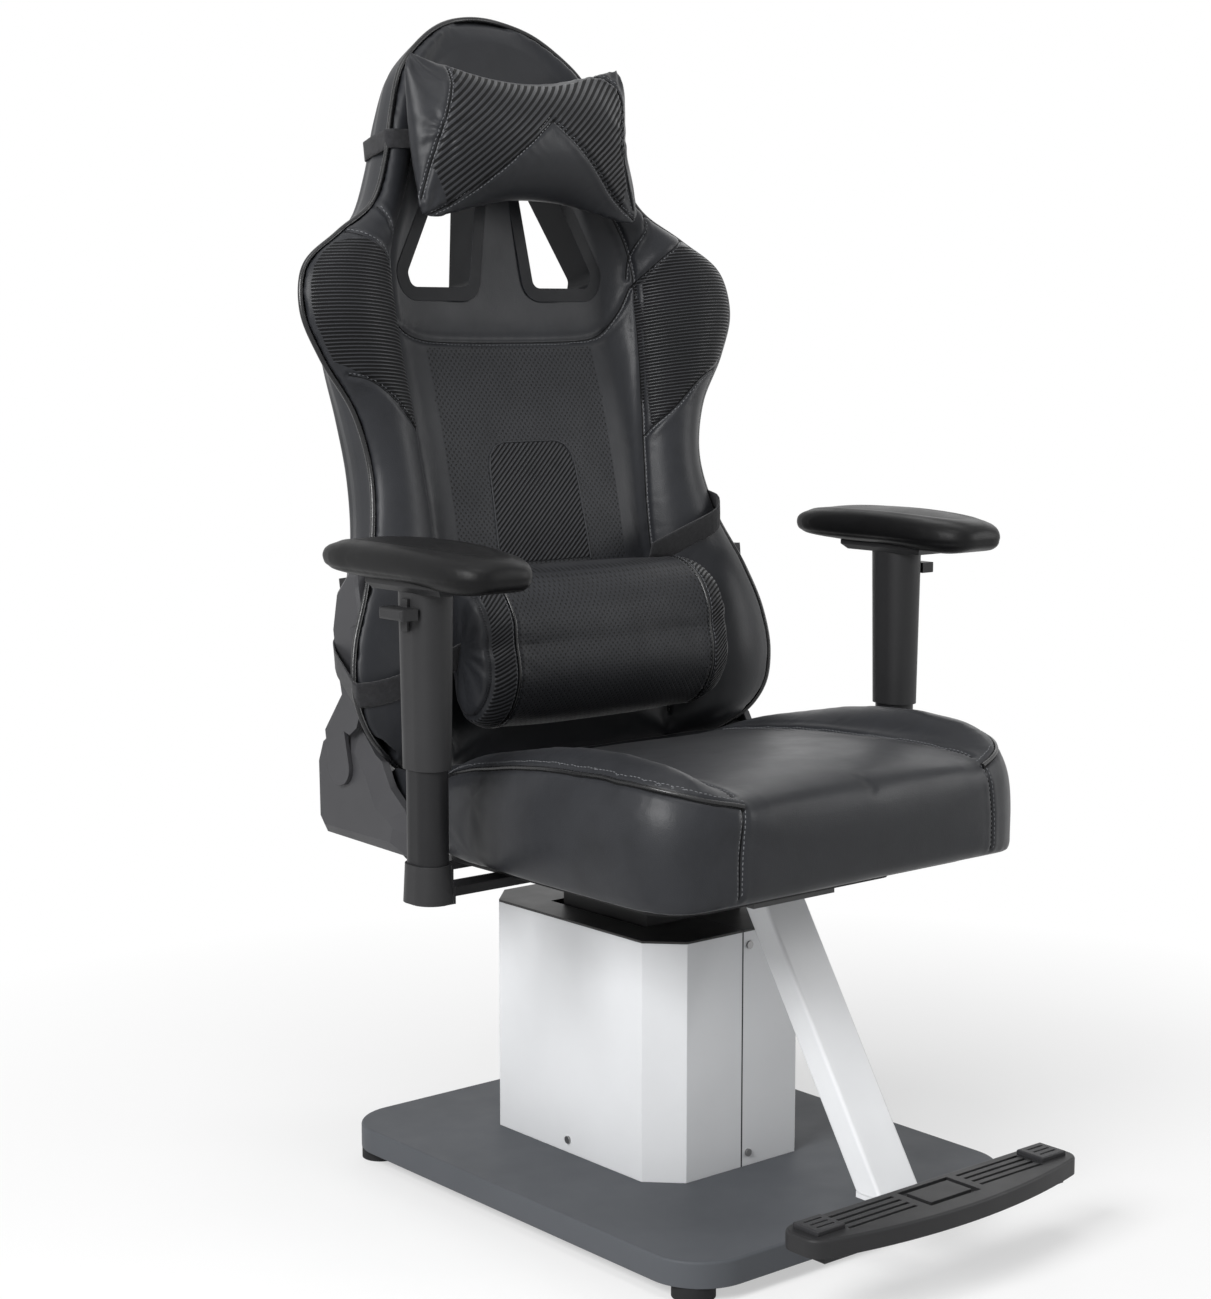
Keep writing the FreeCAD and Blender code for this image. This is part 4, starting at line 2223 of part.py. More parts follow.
def bent_tube(points, radius, bend):
    """A round bar along straight runs joined by tangent arcs."""
    edges = []
    last = points[0]
    for before, corner, after in zip(points, points[1:], points[2:]):
        a = (before - corner).normalize()
        b = (after - corner).normalize()
        angle = a.getAngle(b)
        reach = bend / math.tan(angle / 2)
        start = corner + a * reach
        stop = corner + b * reach
        middle = (a + b).normalize()
        centre = corner + middle * (bend / math.sin(angle / 2))
        edges.append(line(last, start))
        edges.append(arc(start, centre - middle * bend, stop))
        last = stop
    edges.append(line(last, points[-1]))
    path = Part.Wire(edges)
    first = edges[0]
    run = (first.Vertexes[1].Point - first.Vertexes[0].Point).normalize()
    profile = Part.Wire([Part.makeCircle(radius, points[0], run)])
    return path.makePipeShell([profile], True, True)


def back_frame():
    """The tubular frame: an outer loop, cross tubes, and the side lugs that take the recliner plates."""
    half = float(size.back_half)
    high = float(size.back_high)
    drop = float(size.back_low)
    depth = float(size.frame_radius) - float(size.back_split) + float(size.back_joint_gap)
    side = [Vector(x * half, depth, z * high - drop) for x, z in FRAME_SHARES]
    loop = [Vector(-p.x, p.y, p.z) for p in side] + side[::-1]
    tube = bent_tube(loop, float(size.frame_radius), float(size.frame_bend))
    radius = float(size.frame_radius)
    cross = []
    for share_x, share_z in CROSS_SHARES:
        x = share_x * half
        start = Vector(-x, depth, share_z * high - drop)
        cross.append(Part.makeCylinder(radius * CROSS_THICK_SHARE, 2 * x, start, Vector(1, 0, 0)))
    lug_low = float(size.lug_low)
    lug_high = float(size.lug_high)
    back_side = float(size.back_side)
    skin = float(size.lug_thick)
    front = float(size.lug_front)
    plate = Part.makeBox(
        skin + float(size.bracket_gap), front + depth, lug_high - lug_low, Vector(back_side - skin, -front, lug_low)
    )
    middle = lug_low * LUG_RISE_SHARE + (lug_high - lug_low) * LUG_SLOT_SHARE / 2
    start = Vector(BRIDGE_START_SHARE * half, depth, middle)
    bridge = Part.makeCylinder(
        radius * BRIDGE_THICK_SHARE, back_side - skin / 2 - start.x, start, Vector(1, 0, 0)
    )
    studs = []
    seat = float(upper_skin + size.bracket_skin)
    for y, z in in_radii(STUD_SHARES):
        studs.append(disc_yz(float(size.stud_radius), back_side - skin, seat + skin - back_side, y, z))
        studs.append(disc_yz(float(size.stud_nut_radius), seat, float(size.stud_nut_high), y, z))
    sides = [piece for tool in [plate, bridge] + studs for piece in both_sides(tool)]
    shape = tube.fuse(cross + sides).removeSplitter()
    frame = shape_node("back_frame", shape)
    lean_back(frame)
    node(frame, "back_frame")


def harness_trims():
    """The moulded trims of the two harness openings: front flange, liner through the back, rear flange."""
    rear = float(size.back_rear)
    thick = float(size.trim_flange_thick)
    wall = float(size.trim_wall)
    flange = float(size.trim_flange)
    nose = nose_tool(0.0, 0.0)
    deep = nose.BoundBox.YMin - thick
    liner = trim_tool(flange - wall, deep, rear).cut(front_of_nose())
    tail = trim_tool(flange * TAIL_INSET_SHARE, rear + float(size.back_joint_gap), rear + float(size.back_joint_gap) + thick)
    liner_tail = trim_tool(flange - wall, rear - thick, rear + thick)
    bore = trim_tool(flange, deep - 3 * thick, rear + 3 * thick)
    ring = liner.fuse([nose, tail, liner_tail]).cut(bore).removeSplitter()
    trims = shape_node("harness_trims", Part.makeCompound(both_sides(ring)))
    lean_back(trims)
    node(trims, "harness_trims")


def front_of_nose():
    """Everything in front of the left trim's front face."""
    slab = nose_slab(0.0)
    placement = slab.Placement
    big = float(size.back_half)
    deep = 4 * float(size.back_face)
    front = Part.makeBox(4 * big, deep, 4 * big, Vector(-2 * big, -deep, -2 * big))
    front.Placement = placement
    return front


# Pillows and straps. Head pillow rows from right to left: place, half height, thickness
PILLOW_SHARES = [
    (-1.000, 0.40, 0.10),
    (-0.975, 0.49, 0.22),
    (-0.880, 0.485, 0.46),
    (-0.660, 0.435, 0.78),
    (-0.340, 0.375, 0.97),
    (0.000, 0.352, 1.00),
]

# Lumbar pillow rows from its end to its middle: place, half height, depth ahead and behind
LUMBAR_SHARES = [
    (-1.000, 0.290, 0.58, 0.36),
    (-0.970, 0.400, 0.76, 0.42),
    (-0.880, 0.470, 0.92, 0.68),
    (-0.700, 0.487, 0.97, 1.04),
    (-0.450, 0.496, 0.99, 1.14),
    (0.000, 0.500, 1.00, 1.15),
]


def mirrored_rows(rows):
    return rows + [(-row[0],) + tuple(row[1:]) for row in rows[-2::-1]]


def lens_section(x, z, half, d, thick, belly):
    """A cushion's upright section: two arcs that meet at its top and bottom seams."""
    top = Vector(x, d, z + half)
    bottom = Vector(x, d, z - half)
    front = Vector(x, d - thick * belly, z)
    rear = Vector(x, d + thick * (1 - belly), z)
    return Part.Wire([arc(bottom, front, top), arc(top, rear, bottom)])


def head_pillow():
    """The bow-tie head pillow: concave top and bottom edges, four drawn-out tips."""
    sections = []
    for place, half, thick in mirrored_rows(PILLOW_SHARES):
        sections.append(
            lens_section(
                place * float(size.pillow_half),
                float(size.pillow_mid_z),
                half * float(size.pillow_end_high),
                -float(size.pillow_d),
                thick * float(size.pillow_thick),
                0.5,
            )
        )
    pillow = shape_node("head_pillow", solid_loft(sections))
    lean_back(pillow)
    node(pillow, "head_pillow")


def lumbar_section(row):
    place, half, ahead, behind = row
    x = place * float(size.lumbar_half)
    z = float(size.lumbar_z)
    high = half * float(size.lumbar_high)
    middle = -float(size.lumbar_d) - float(size.lumbar_thick) / 2
    back = middle + behind * float(size.lumbar_thick) / 2
    front = middle - ahead * float(size.lumbar_thick) / 2
    flat_half = high * 0.55
    points = [
        Vector(x, back, z - flat_half),
        Vector(x, middle, z - high),
        Vector(x, front, z),
        Vector(x, middle, z + high),
        Vector(x, back, z + flat_half),
    ]
    low_back = Vector(x, middle + (back - middle) * 0.70, z - high * 0.90)
    low_front = Vector(x, middle + (front - middle) * 0.70, z - high * 0.76)
    top_front = Vector(x, low_front.y, z + high * 0.76)
    top_back = Vector(x, low_back.y, z + high * 0.90)
    return Part.Wire(
        [
            arc(points[0], low_back, points[1]),
            arc(points[1], low_front, points[2]),
            arc(points[2], top_front, points[3]),
            arc(points[3], top_back, points[4]),
            line(points[4], points[0]),
        ]
    )


def lumbar_pillow():
    shape = solid_loft([lumbar_section(row) for row in mirrored_rows(LUMBAR_SHARES)])
    pillow = shape_node("lumbar_pillow", shape)
    lean_back(pillow)
    node(pillow, "lumbar_pillow")


def hull(points):
    """The convex outline of a list of flat points, anticlockwise."""
    points = sorted(set(points))
    chain = []
    for run in (points, points[::-1]):
        side = []
        for point in run:
            while len(side) > 1 and (side[-1][0] - side[-2][0]) * (point[1] - side[-2][1]) <= (
                side[-1][1] - side[-2][1]
            ) * (point[0] - side[-2][0]):
                side.pop()
            side.append(point)
        chain += side[:-1]
    return chain


def strap_round(shapes, height, rise, slope, wide):
    """A thin band pulled tight round some shapes, in a plane that rises across and to the rear."""
    thick = float(size.strap_thick)
    gap = float(size.strap_gap)
    normal = Vector(-rise, -slope, 1).normalize()
    across = Vector(1, 0, rise).normalize()
    rearward = normal.cross(across)
    origin = Vector(0, 0, height)
    points = []
    for offset in (-0.5, -0.25, 0.0, 0.25, 0.5):
        plane_at = normal.dot(origin) + offset * wide
        for shape in shapes:
            for wire in shape.slice(normal, plane_at):
                for point in wire.discretize(Number=150):
                    away = point - origin
                    points.append((round(away.dot(across), 2), round(away.dot(rearward), 2)))
    corners = [origin + across * u + rearward * v - normal * (wide / 2) for u, v in hull(points)]
    face = Part.Face(Part.makePolygon(corners + corners[:1]))
    outer = face.makeOffset2D(gap + thick, 2, False, False, False)
    inner = face.makeOffset2D(gap, 2, False, False, False)
    return outer.extrude(normal * wide).cut(inner.extrude(normal * wide))


# A strap's room in front, which the pillow hides: its depth in pillow thicknesses, its start as a share
# of the face's depth, its height in strap widths, and each strap's clear half width as a share of its
# pillow's; then the lumbar strap's rise across and to the rear
ROOM_DEEP_SHARE = 5
ROOM_START_SHARE = 1.3
ROOM_HIGH_SHARE = 9
HEAD_CLEAR_SHARE = 0.7
LUMBAR_CLEAR_SHARE = 0.62
LUMBAR_RISE_SHARE = 0.31
LUMBAR_SLOPE_SHARE = 0.5


def pillow_strap(label, shapes, pillow, half, height, rise, slope, wide):
    """A strap from one end of a pillow round the back to the other end."""
    band = strap_round(shapes, height, rise, slope, wide)
    deep = ROOM_DEEP_SHARE * float(size.pillow_thick)
    high = ROOM_HIGH_SHARE * wide
    corner = Vector(-half, -float(size.back_face) * ROOM_START_SHARE - deep, height - high / 2)
    room = Part.makeBox(2 * half, deep, high, corner)
    band = band.cut([pillow, room] + shapes)
    strap = shape_node(label, band)
    lean_back(strap)
    node(strap, label)


def head_strap():
    """The elastic strap that holds the head pillow."""
    pillow_strap(
        "head_strap",
        [LOCAL["backrest_cushion"], LOCAL["back_shell"]],
        LOCAL["head_pillow"],
        float(size.pillow_half) * HEAD_CLEAR_SHARE,
        float(size.head_strap_z),
        0.0,
        0.0,
        float(size.strap_wide),
    )


def lumbar_strap():
    """The lumbar pillow's strap: low on the right over the recliner's cover, high on the left."""
    cover = LOCAL["upper_cover_left"]
    pillow_strap(
        "lumbar_strap",
        [LOCAL["backrest_cushion"], LOCAL["back_shell"], cover.mirror(Vector(), Vector(1, 0, 0))],
        LOCAL["lumbar_pillow"],
        float(size.lumbar_half) * LUMBAR_CLEAR_SHARE,
        float(size.lumbar_strap_z),
        LUMBAR_RISE_SHARE,
        LUMBAR_SLOPE_SHARE,
        float(size.lumbar_strap_wide),
    )


def finish():
    """Recomputes the whole document, checks it and writes one file for each sub-part."""
    doc.recompute()
    bad = [thing.Name for thing in doc.Objects if "Invalid" in thing.State or "Error" in thing.State]
    for thing in NODES:
        if thing.Shape.isNull() or not thing.Shape.isValid():
            bad.append(thing.Label)
    if bad:
        raise RuntimeError(f"not built: {bad}")
    os.makedirs("parts", exist_ok=True)
    for thing in NODES:
        thing.Shape.exportStep(f"parts/{thing.Label}.step")
    print(f"{len(NODES)} sub-parts, {sum(len(thing.Shape.Solids) for thing in NODES)} solids")


base_plate()
leveling_feet()
left_half = housing_half("housing_left", False, True)
housing_half("housing_right", True, False)
top_cover("top_cover_left", False)
top_cover("top_cover_right", True)
housing_brackets()
housing_screws()
guide_mast()
base_bolts()
mast_top = column_top - size.column_top_thick - size.mast_top_drop
guide_pads(
    "mast_guide_pads",
    mast_top - size.mast_pad_drop - size.mast_pad_high,
    mast_top - size.mast_pad_drop,
    False,
)
lift_gearbox()
lift_motor()
lead_screw()
control_box()
power_inlet()
switch_rocker()
lift_column()
guide_pads(
    "column_guide_pads",
    column_bottom + size.column_pad_rise,
    column_bottom + size.column_pad_rise + size.column_pad_high,
    True,
)
lead_nut()
nut_tube()
seat_mount_plate()
carriage_bolts()
seat_frame()
seat_cushion()
footrest_strut()
footrest_bar()
footrest_treads()
arm_brackets()
for make, label in (
    (arm_socket, "arm_socket_right"),
    (arm_post, "arm_post_right"),
    (arm_sleeve, "arm_sleeve_right"),
    (arm_pad_plate, "arm_pad_plate_right"),
    (arm_pad, "arm_pad_right"),
    (height_button, "height_button_right"),
    (recliner_lower, "recliner_lower_right"),
    (recliner_upper, "recliner_upper_right"),
    (upper_cover, "upper_cover_right"),
):
    mirror(make(), label)
lower_covers()
recliner_pins()
release_rod()
recline_lever()
back_frame()
backrest_cushion()
back_shell()
harness_trims()
head_pillow()
lumbar_pillow()
head_strap()
lumbar_strap()
finish()
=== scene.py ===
"""An ophthalmic examination chair: its finishes, padded pieces, floor, light and camera."""

import json
import math

import bmesh
import bpy
import numpy as np
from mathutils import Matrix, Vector, kdtree, noise
from mathutils.bvhtree import BVHTree


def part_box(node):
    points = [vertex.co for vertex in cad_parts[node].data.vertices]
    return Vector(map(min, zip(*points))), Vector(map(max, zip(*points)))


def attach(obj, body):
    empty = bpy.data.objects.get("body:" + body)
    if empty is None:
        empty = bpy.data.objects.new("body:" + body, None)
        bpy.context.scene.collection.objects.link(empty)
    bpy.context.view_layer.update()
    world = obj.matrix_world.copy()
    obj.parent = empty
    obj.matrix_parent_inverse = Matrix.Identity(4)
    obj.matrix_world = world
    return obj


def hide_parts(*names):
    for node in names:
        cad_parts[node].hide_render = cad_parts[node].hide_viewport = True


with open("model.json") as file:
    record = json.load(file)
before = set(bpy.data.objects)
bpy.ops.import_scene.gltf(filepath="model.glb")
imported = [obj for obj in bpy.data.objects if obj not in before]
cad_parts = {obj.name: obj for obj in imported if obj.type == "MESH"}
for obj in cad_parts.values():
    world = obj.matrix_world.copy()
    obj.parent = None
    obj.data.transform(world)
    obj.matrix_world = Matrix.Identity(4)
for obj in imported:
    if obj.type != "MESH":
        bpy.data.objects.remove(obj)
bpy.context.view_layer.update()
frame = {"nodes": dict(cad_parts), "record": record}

MM = 0.001

# The photograph's view: eye, heading and pitch in degrees, and focal length in pixels of its frame
EYE = (-1.7438, -1.9386, 0.939)
HEADING = -39.95
PITCH = 7.56
FOCAL_PIXELS = 2460
FRAME_HIGH_PIXELS = 1299
SENSOR = 36.0

# The backrest's own frame: where it turns, and how far it leans back at rest
HINGE = (0.0, 259 * MM, 462 * MM)
LEAN = math.radians(9.29)

# Sizes that the backrest's sections share: half width, height, how far it reaches below the hinge,
# depths of its face, ridge, dish, piping, joint, step and rear, the turn of its rear edge, and the
# height of its rounded top as a share
BACK_HALF = 300 * MM
BACK_HIGH = 845 * MM
BACK_LOW = 20 * MM
BACK_FACE = 43 * MM
BACK_RIDGE = 50 * MM
BACK_DISH = 26 * MM
BACK_PIPE = 33 * MM
BACK_SPLIT = 4 * MM
BACK_STEP = 40 * MM
BACK_REAR = 22 * MM
BACK_TURN = 12 * MM
BACK_APEX = 1.004

# The depth ahead of which a place is on the backrest's front
FRONT_SIDE = -8 * MM

# Backrest rows from bottom to top, as shares of the sizes above:
# height, front half width, side half width, rear half width, ridge, dish, panel seam, face, rear, piping
BACK_ROWS = [
    (0.000, 0.660, 0.640, 0.600, 0.15, 0.05, 0.500, 0.70, 0.60, 0.10),
    (0.012, 0.785, 0.745, 0.700, 0.45, 0.10, 0.520, 0.90, 0.85, 0.40),
    (0.035, 0.885, 0.815, 0.770, 0.78, 0.15, 0.530, 1.00, 1.00, 0.80),
    (0.065, 0.960, 0.832, 0.790, 0.92, 0.15, 0.535, 1.00, 1.00, 1.00),
    (0.110, 1.000, 0.832, 0.790, 1.04, 0.15, 0.535, 1.00, 1.00, 1.03),
    (0.170, 0.985, 0.832, 0.790, 1.04, 0.15, 0.535, 1.00, 1.00, 1.03),
    (0.235, 0.915, 0.832, 0.785, 0.98, 0.18, 0.533, 1.00, 1.00, 1.00),
    (0.315, 0.825, 0.760, 0.735, 0.80, 0.22, 0.530, 1.00, 1.00, 0.62),
    (0.400, 0.790, 0.745, 0.725, 0.66, 0.34, 0.545, 1.00, 1.00, 0.39),
    (0.470, 0.835, 0.770, 0.745, 0.72, 0.56, 0.562, 1.00, 1.00, 0.41),
    (0.540, 0.955, 0.815, 0.775, 0.88, 0.90, 0.578, 1.00, 1.00, 0.50),
    (0.600, 1.020, 0.850, 0.790, 0.96, 1.22, 0.585, 1.00, 1.00, 0.55),
    (0.650, 0.997, 0.840, 0.775, 0.90, 1.16, 0.588, 1.00, 1.00, 0.52),
    (0.700, 0.820, 0.730, 0.690, 0.60, 1.00, 0.560, 1.00, 1.00, 0.35),
    (0.745, 0.635, 0.595, 0.570, 0.28, 0.84, 0.500, 1.00, 1.00, 0.16),
    (0.800, 0.555, 0.525, 0.500, 0.20, 0.53, 0.440, 0.95, 1.00, 0.12),
    (0.865, 0.500, 0.470, 0.440, 0.20, 0.25, 0.390, 0.90, 0.95, 0.12),
    (0.925, 0.430, 0.400, 0.360, 0.18, 0.15, 0.330, 0.85, 0.85, 0.10),
    (0.960, 0.330, 0.302, 0.265, 0.14, 0.10, 0.245, 0.76, 0.70, 0.07),
    (0.985, 0.225, 0.205, 0.175, 0.10, 0.06, 0.160, 0.66, 0.54, 0.05),
    (1.000, 0.110, 0.100, 0.085, 0.06, 0.05, 0.070, 0.52, 0.35, 0.03),
]

# Grid of the soft forms: large pieces, pillows and arm rests
VOXEL = 5 * MM
PILLOW_VOXEL = 4 * MM
REST_VOXEL = 3.5 * MM

# Sewing: radius of the near-black cord that paints shade in a seam and beside piping, of the piping on each
# piece, and of thread, length of a stitch and of the space after it, and how far beside its seam each
# piece's stitching runs
SEAM_SHADE = 0.55 * MM
PIPING_SHADE = 0.9 * MM
BACK_PIPING = 3.0 * MM
COVER_PIPING = 1.8 * MM
LUMBAR_PIPING = 1.8 * MM
SEAT_PIPE = 2.3 * MM
THREAD_RADIUS = 0.42 * MM
STITCH = 3.4 * MM
STITCH_SPACE = 1.3 * MM
BACK_STITCHING = 3.4 * MM
COVER_STITCHING = 3.6 * MM
HEAD_STITCHING = 3.2 * MM
LUMBAR_STITCHING = 4.4 * MM
SEAT_STITCHING = 3.6 * MM
SEAT_PIPE_STITCHING = 9 * MM

# Cloth: frames that it swells for, steps of its pins' strength, its pressure, and how far each piece
# may swell
CLOTH_FRAMES = 20
PIN_STEPS = 4
PRESSURE = 4.0
PILLOW_PRESSURE = 3.0
BACK_SWELL = 7 * MM
SEAT_SWELL = 8 * MM
HEAD_SWELL = 8 * MM
LUMBAR_SWELL = 7 * MM

# Ribbed panels: turn of the ribs, their pitch and their height
CENTRE_RIBS = (math.radians(42), 4.6 * MM, 1.0 * MM)
WING_TURN = math.radians(3)
WING_RIBS = (3.8 * MM, 0.55 * MM)
PILLOW_RIBS = (math.radians(38), 6.0 * MM, 0.9 * MM)
LUMBAR_RIBS = (math.radians(38), 4.6 * MM, 0.8 * MM)


def lean(x, d, t):
    """A place on the backrest (across, to the rear, up along it) in the row frame."""
    y = HINGE[1] + d * math.cos(LEAN) + t * math.sin(LEAN)
    z = HINGE[2] + t * math.cos(LEAN) - d * math.sin(LEAN)
    return Vector((x, y, z))


def unlean(points):
    """Row-frame points as the backrest's own (across, to the rear, up along it)."""
    y = points[:, 1] - HINGE[1]
    z = points[:, 2] - HINGE[2]
    d = y * math.cos(LEAN) - z * math.sin(LEAN)
    t = y * math.sin(LEAN) + z * math.cos(LEAN)
    return np.stack([points[:, 0], d, t], 1)


REARWARD = lean(0, 1, 0) - lean(0, 0, 0)


# Materials. Each is a node tree on one shader

# A Mix node's sockets for colours: its two inputs and its output
MIX_FIRST, MIX_SECOND, MIX_RESULT = 6, 7, 2

# Cosine of the turn between a face's own normal and the rounded one: where an edge starts and is full
EDGE_STARTS, EDGE_FULL = 0.995, 0.86


class Finish:
    """A node material, built step by step; what is even all over is a plain socket value."""

    def __init__(self, name, colour, rough, metal=0.0, specular=0.5):
        self.material = bpy.data.materials.new(name)
        self.material.use_nodes = True
        self.material.diffuse_color = (*colour, 1)
        self.tree = self.material.node_tree
        self.shader = self.tree.nodes["Principled BSDF"]
        self.colour = colour
        self.rough = rough
        self.set("Base Color", (*colour, 1))
        self.set("Roughness", rough)
        self.set("Metallic", metal)
        self.set("Specular IOR Level", specular)
        self.coordinates = self.add("ShaderNodeTexCoord").outputs["Object"]
        self.normal = None
        self.paint = None
        self.gloss = None

    def add(self, kind, **settings):
        made = self.tree.nodes.new(kind)
        for key, value in settings.items():
            setattr(made, key, value)
        return made

    def link(self, start, stop):
        self.tree.links.new(start, stop)

    def set(self, socket, value):
        self.shader.inputs[socket].default_value = value

    def mapped(self, scale=(1, 1, 1), turn=(0, 0, 0), where=None):
        """The object's own coordinates, stretched and then turned."""
        mapping = self.add("ShaderNodeMapping")
        self.link(where or self.coordinates, mapping.inputs["Vector"])
        mapping.inputs["Scale"].default_value = scale
        mapping.inputs["Rotation"].default_value = turn
        return mapping.outputs["Vector"]

    def noise(self, scale, detail=3.0, rough=0.5, where=None):
        texture = self.add("ShaderNodeTexNoise")
        self.link(where or self.coordinates, texture.inputs["Vector"])
        texture.inputs["Scale"].default_value = scale
        texture.inputs["Detail"].default_value = detail
        texture.inputs["Roughness"].default_value = rough
        return texture.outputs["Fac"]

    def cells(self, scale, feature="F1", where=None, random=1.0):
        texture = self.add("ShaderNodeTexVoronoi", feature=feature)
        self.link(where or self.coordinates, texture.inputs["Vector"])
        texture.inputs["Scale"].default_value = scale
        texture.inputs["Randomness"].default_value = random
        return texture.outputs["Distance"]

    def maths(self, operation, first, second=None):
        node = self.add("ShaderNodeMath", operation=operation)
        for socket, value in zip(node.inputs, (first, second)):
            if value is None:
                continue
            if isinstance(value, (int, float)):
                socket.default_value = value
            else:
                self.link(value, socket)
        return node.outputs["Value"]

    def spread(self, value, low, high, out_low=0.0, out_high=1.0):
        """A value stretched from one range to another, held inside it."""
        node = self.add("ShaderNodeMapRange")
        self.link(value, node.inputs["Value"])
        sockets = ("From Min", "From Max", "To Min", "To Max")
        for socket, number in zip(sockets, (low, high, out_low, out_high)):
            node.inputs[socket].default_value = number
        return node.outputs["Result"]

    def clouds(self, scale, detail, low, high):
        """Noise with its range between low and high stretched to full contrast."""
        return self.spread(self.noise(scale, detail), low, high)

    def tint(self, amount, factor):
        """Mixes the colour towards a lighter or darker one where the factor is high."""
        node = self.add("ShaderNodeMix", data_type="RGBA")
        self.link(factor, node.inputs["Factor"])
        start, stop = node.inputs[MIX_FIRST], node.inputs[MIX_SECOND]
        if self.paint is None:
            start.default_value = (*self.colour, 1)
        else:
            self.link(self.paint, start)
        stop.default_value = (*[min(1.0, c * amount) for c in self.colour], 1)
        self.paint = node.outputs[MIX_RESULT]

    def polish(self, change, factor):
        """Adds to the roughness where the factor is high."""
        base = self.gloss if self.gloss is not None else self.rough
        self.gloss = self.maths("ADD", self.maths("MULTIPLY", factor, change), base)

    def bump(self, height, distance, strength=1.0):
        node = self.add("ShaderNodeBump")
        self.link(height, node.inputs["Height"])
        node.inputs["Distance"].default_value = distance
        node.inputs["Strength"].default_value = strength
        if self.normal is not None:
            self.link(self.normal, node.inputs["Normal"])
        self.normal = node.outputs["Normal"]

    def soft_edges(self, radius):
        """Rounds the look of sharp edges, and gives where they are, from 0 to 1."""
        bevel = self.add("ShaderNodeBevel", samples=4)
        bevel.inputs["Radius"].default_value = radius
        self.normal = bevel.outputs["Normal"]
        plain = self.add("ShaderNodeNewGeometry").outputs["True Normal"]
        dot = self.add("ShaderNodeVectorMath", operation="DOT_PRODUCT")
        self.link(self.normal, dot.inputs[0])
        self.link(plain, dot.inputs[1])
        return self.spread(dot.outputs["Value"], EDGE_STARTS, EDGE_FULL)

    def done(self):
        if self.paint is not None:
            self.link(self.paint, self.shader.inputs["Base Color"])
        if self.gloss is not None:
            self.link(self.gloss, self.shader.inputs["Roughness"])
        if self.normal is not None:
            self.link(self.normal, self.shader.inputs["Normal"])
        return self.material


def paint(name, colour, rough, edge_lightening=1.25, specular=0.4, joint=False, bare=None):
    """Painted metal: fine orange peel, faint clouding and rubbed edges.

    joint draws the dark joint at x = 0, and bare is the height from which the metal has no paint.
    """
    finish = Finish(name, colour, rough, specular=specular)
    edges = finish.soft_edges(1.2 * MM)
    finish.tint(0.93, finish.clouds(7.0, 4.0, 0.35, 0.75))
    worn = finish.maths("MULTIPLY", edges, finish.clouds(60.0, 4.0, 0.35, 0.7))
    finish.tint(edge_lightening, worn)
    finish.polish(0.10, finish.clouds(25.0, 5.0, 0.3, 0.8))
    finish.polish(-0.08, worn)
    if joint or bare:
        split = finish.add("ShaderNodeSeparateXYZ")
        finish.link(finish.coordinates, split.inputs[0])
    if joint:
        off = finish.maths("ABSOLUTE", split.outputs["X"])
        finish.tint(0.06, finish.spread(off, 0.8 * MM, 1.3 * MM, 1.0, 0.0))
    if bare:
        finish.tint(0.05, finish.spread(split.outputs["Z"], bare - 0.3 * MM, bare + 0.3 * MM))
    finish.bump(finish.noise(900.0, 2.0), 0.00006)
    return finish.done()


def plastic(name, colour, rough, grain=1400.0, texture=0.00007, edge_lightening=1.7, specular=0.5):
    """Moulded plastic: spark-eroded texture, softly shaded, with edges rubbed smooth and lightened; on the
    trim the lightened edges are a painted highlight.
    """
    finish = Finish(name, colour, rough, specular=specular)
    edges = finish.soft_edges(1.0 * MM)
    finish.tint(1.18, finish.clouds(9.0, 3.0, 0.4, 0.8))
    worn_and_highlit_edges = finish.maths("MULTIPLY", edges, finish.clouds(45.0, 4.0, 0.25, 0.65))
    # Lightens the rubbed edges; on the trim this lightening is a painted highlight.
    finish.tint(edge_lightening, worn_and_highlit_edges)
    finish.polish(-0.12, worn_and_highlit_edges)
    finish.polish(0.08, finish.clouds(30.0, 4.0, 0.35, 0.75))
    finish.bump(finish.noise(grain, 3.0, 0.6), texture)
    return finish.done()


def metal(name, colour, rough):
    """Bare or plated metal with a fine texture and dull patches."""
    finish = Finish(name, colour, rough, metal=1.0)
    edges = finish.soft_edges(0.5 * MM)
    finish.tint(0.8, finish.clouds(18.0, 5.0, 0.45, 0.75))
    finish.tint(1.15, edges)
    finish.polish(0.15, finish.clouds(35.0, 5.0, 0.35, 0.75))
    finish.bump(finish.noise(500.0, 2.0), 0.00003)
    return finish.done()


LEATHER = (0.0172, 0.0181, 0.0208)


def leather_base(name, colour, rough):
    """Smooth coated leather: pebbled grain, fine creases, colour that drifts a little."""
    finish = Finish(name, colour, rough, specular=0.20)
    finish.set("Sheen Weight", 0.03)
    finish.set("Sheen Roughness", 0.4)
    finish.tint(1.22, finish.clouds(6.0, 4.0, 0.38, 0.78))
    finish.tint(0.80, finish.clouds(28.0, 5.0, 0.45, 0.85))
    finish.polish(0.09, finish.clouds(22.0, 4.0, 0.3, 0.8))
    finish.bump(finish.noise(55.0, 5.0, 0.6), 0.0004, 0.5)
    finish.bump(finish.cells(950.0), 0.00010, 0.8)
    return finish


def leather(name="leather", colour=LEATHER, rough=0.37):
    return leather_base(name, colour, rough).done()


def perforated_leather():
    """Leather with a fine grid of pin holes, laid out on the leaning panel."""
    finish = leather_base("perforated_leather", LEATHER, 0.46)
    upright = finish.mapped(turn=(-LEAN, 0, 0))
    flat = finish.mapped((1, 0, 1), where=upright)
    slanted = finish.mapped(turn=(0, math.radians(45), 0), where=flat)
    holes = finish.cells(210.0, random=0.0, where=slanted)
    pin = finish.spread(holes, 0.20, 0.29, 1.0, 0.0)
    finish.tint(0.12, pin)
    finish.bump(finish.maths("MULTIPLY", pin, -1.0), 0.0006)
    return finish.done()


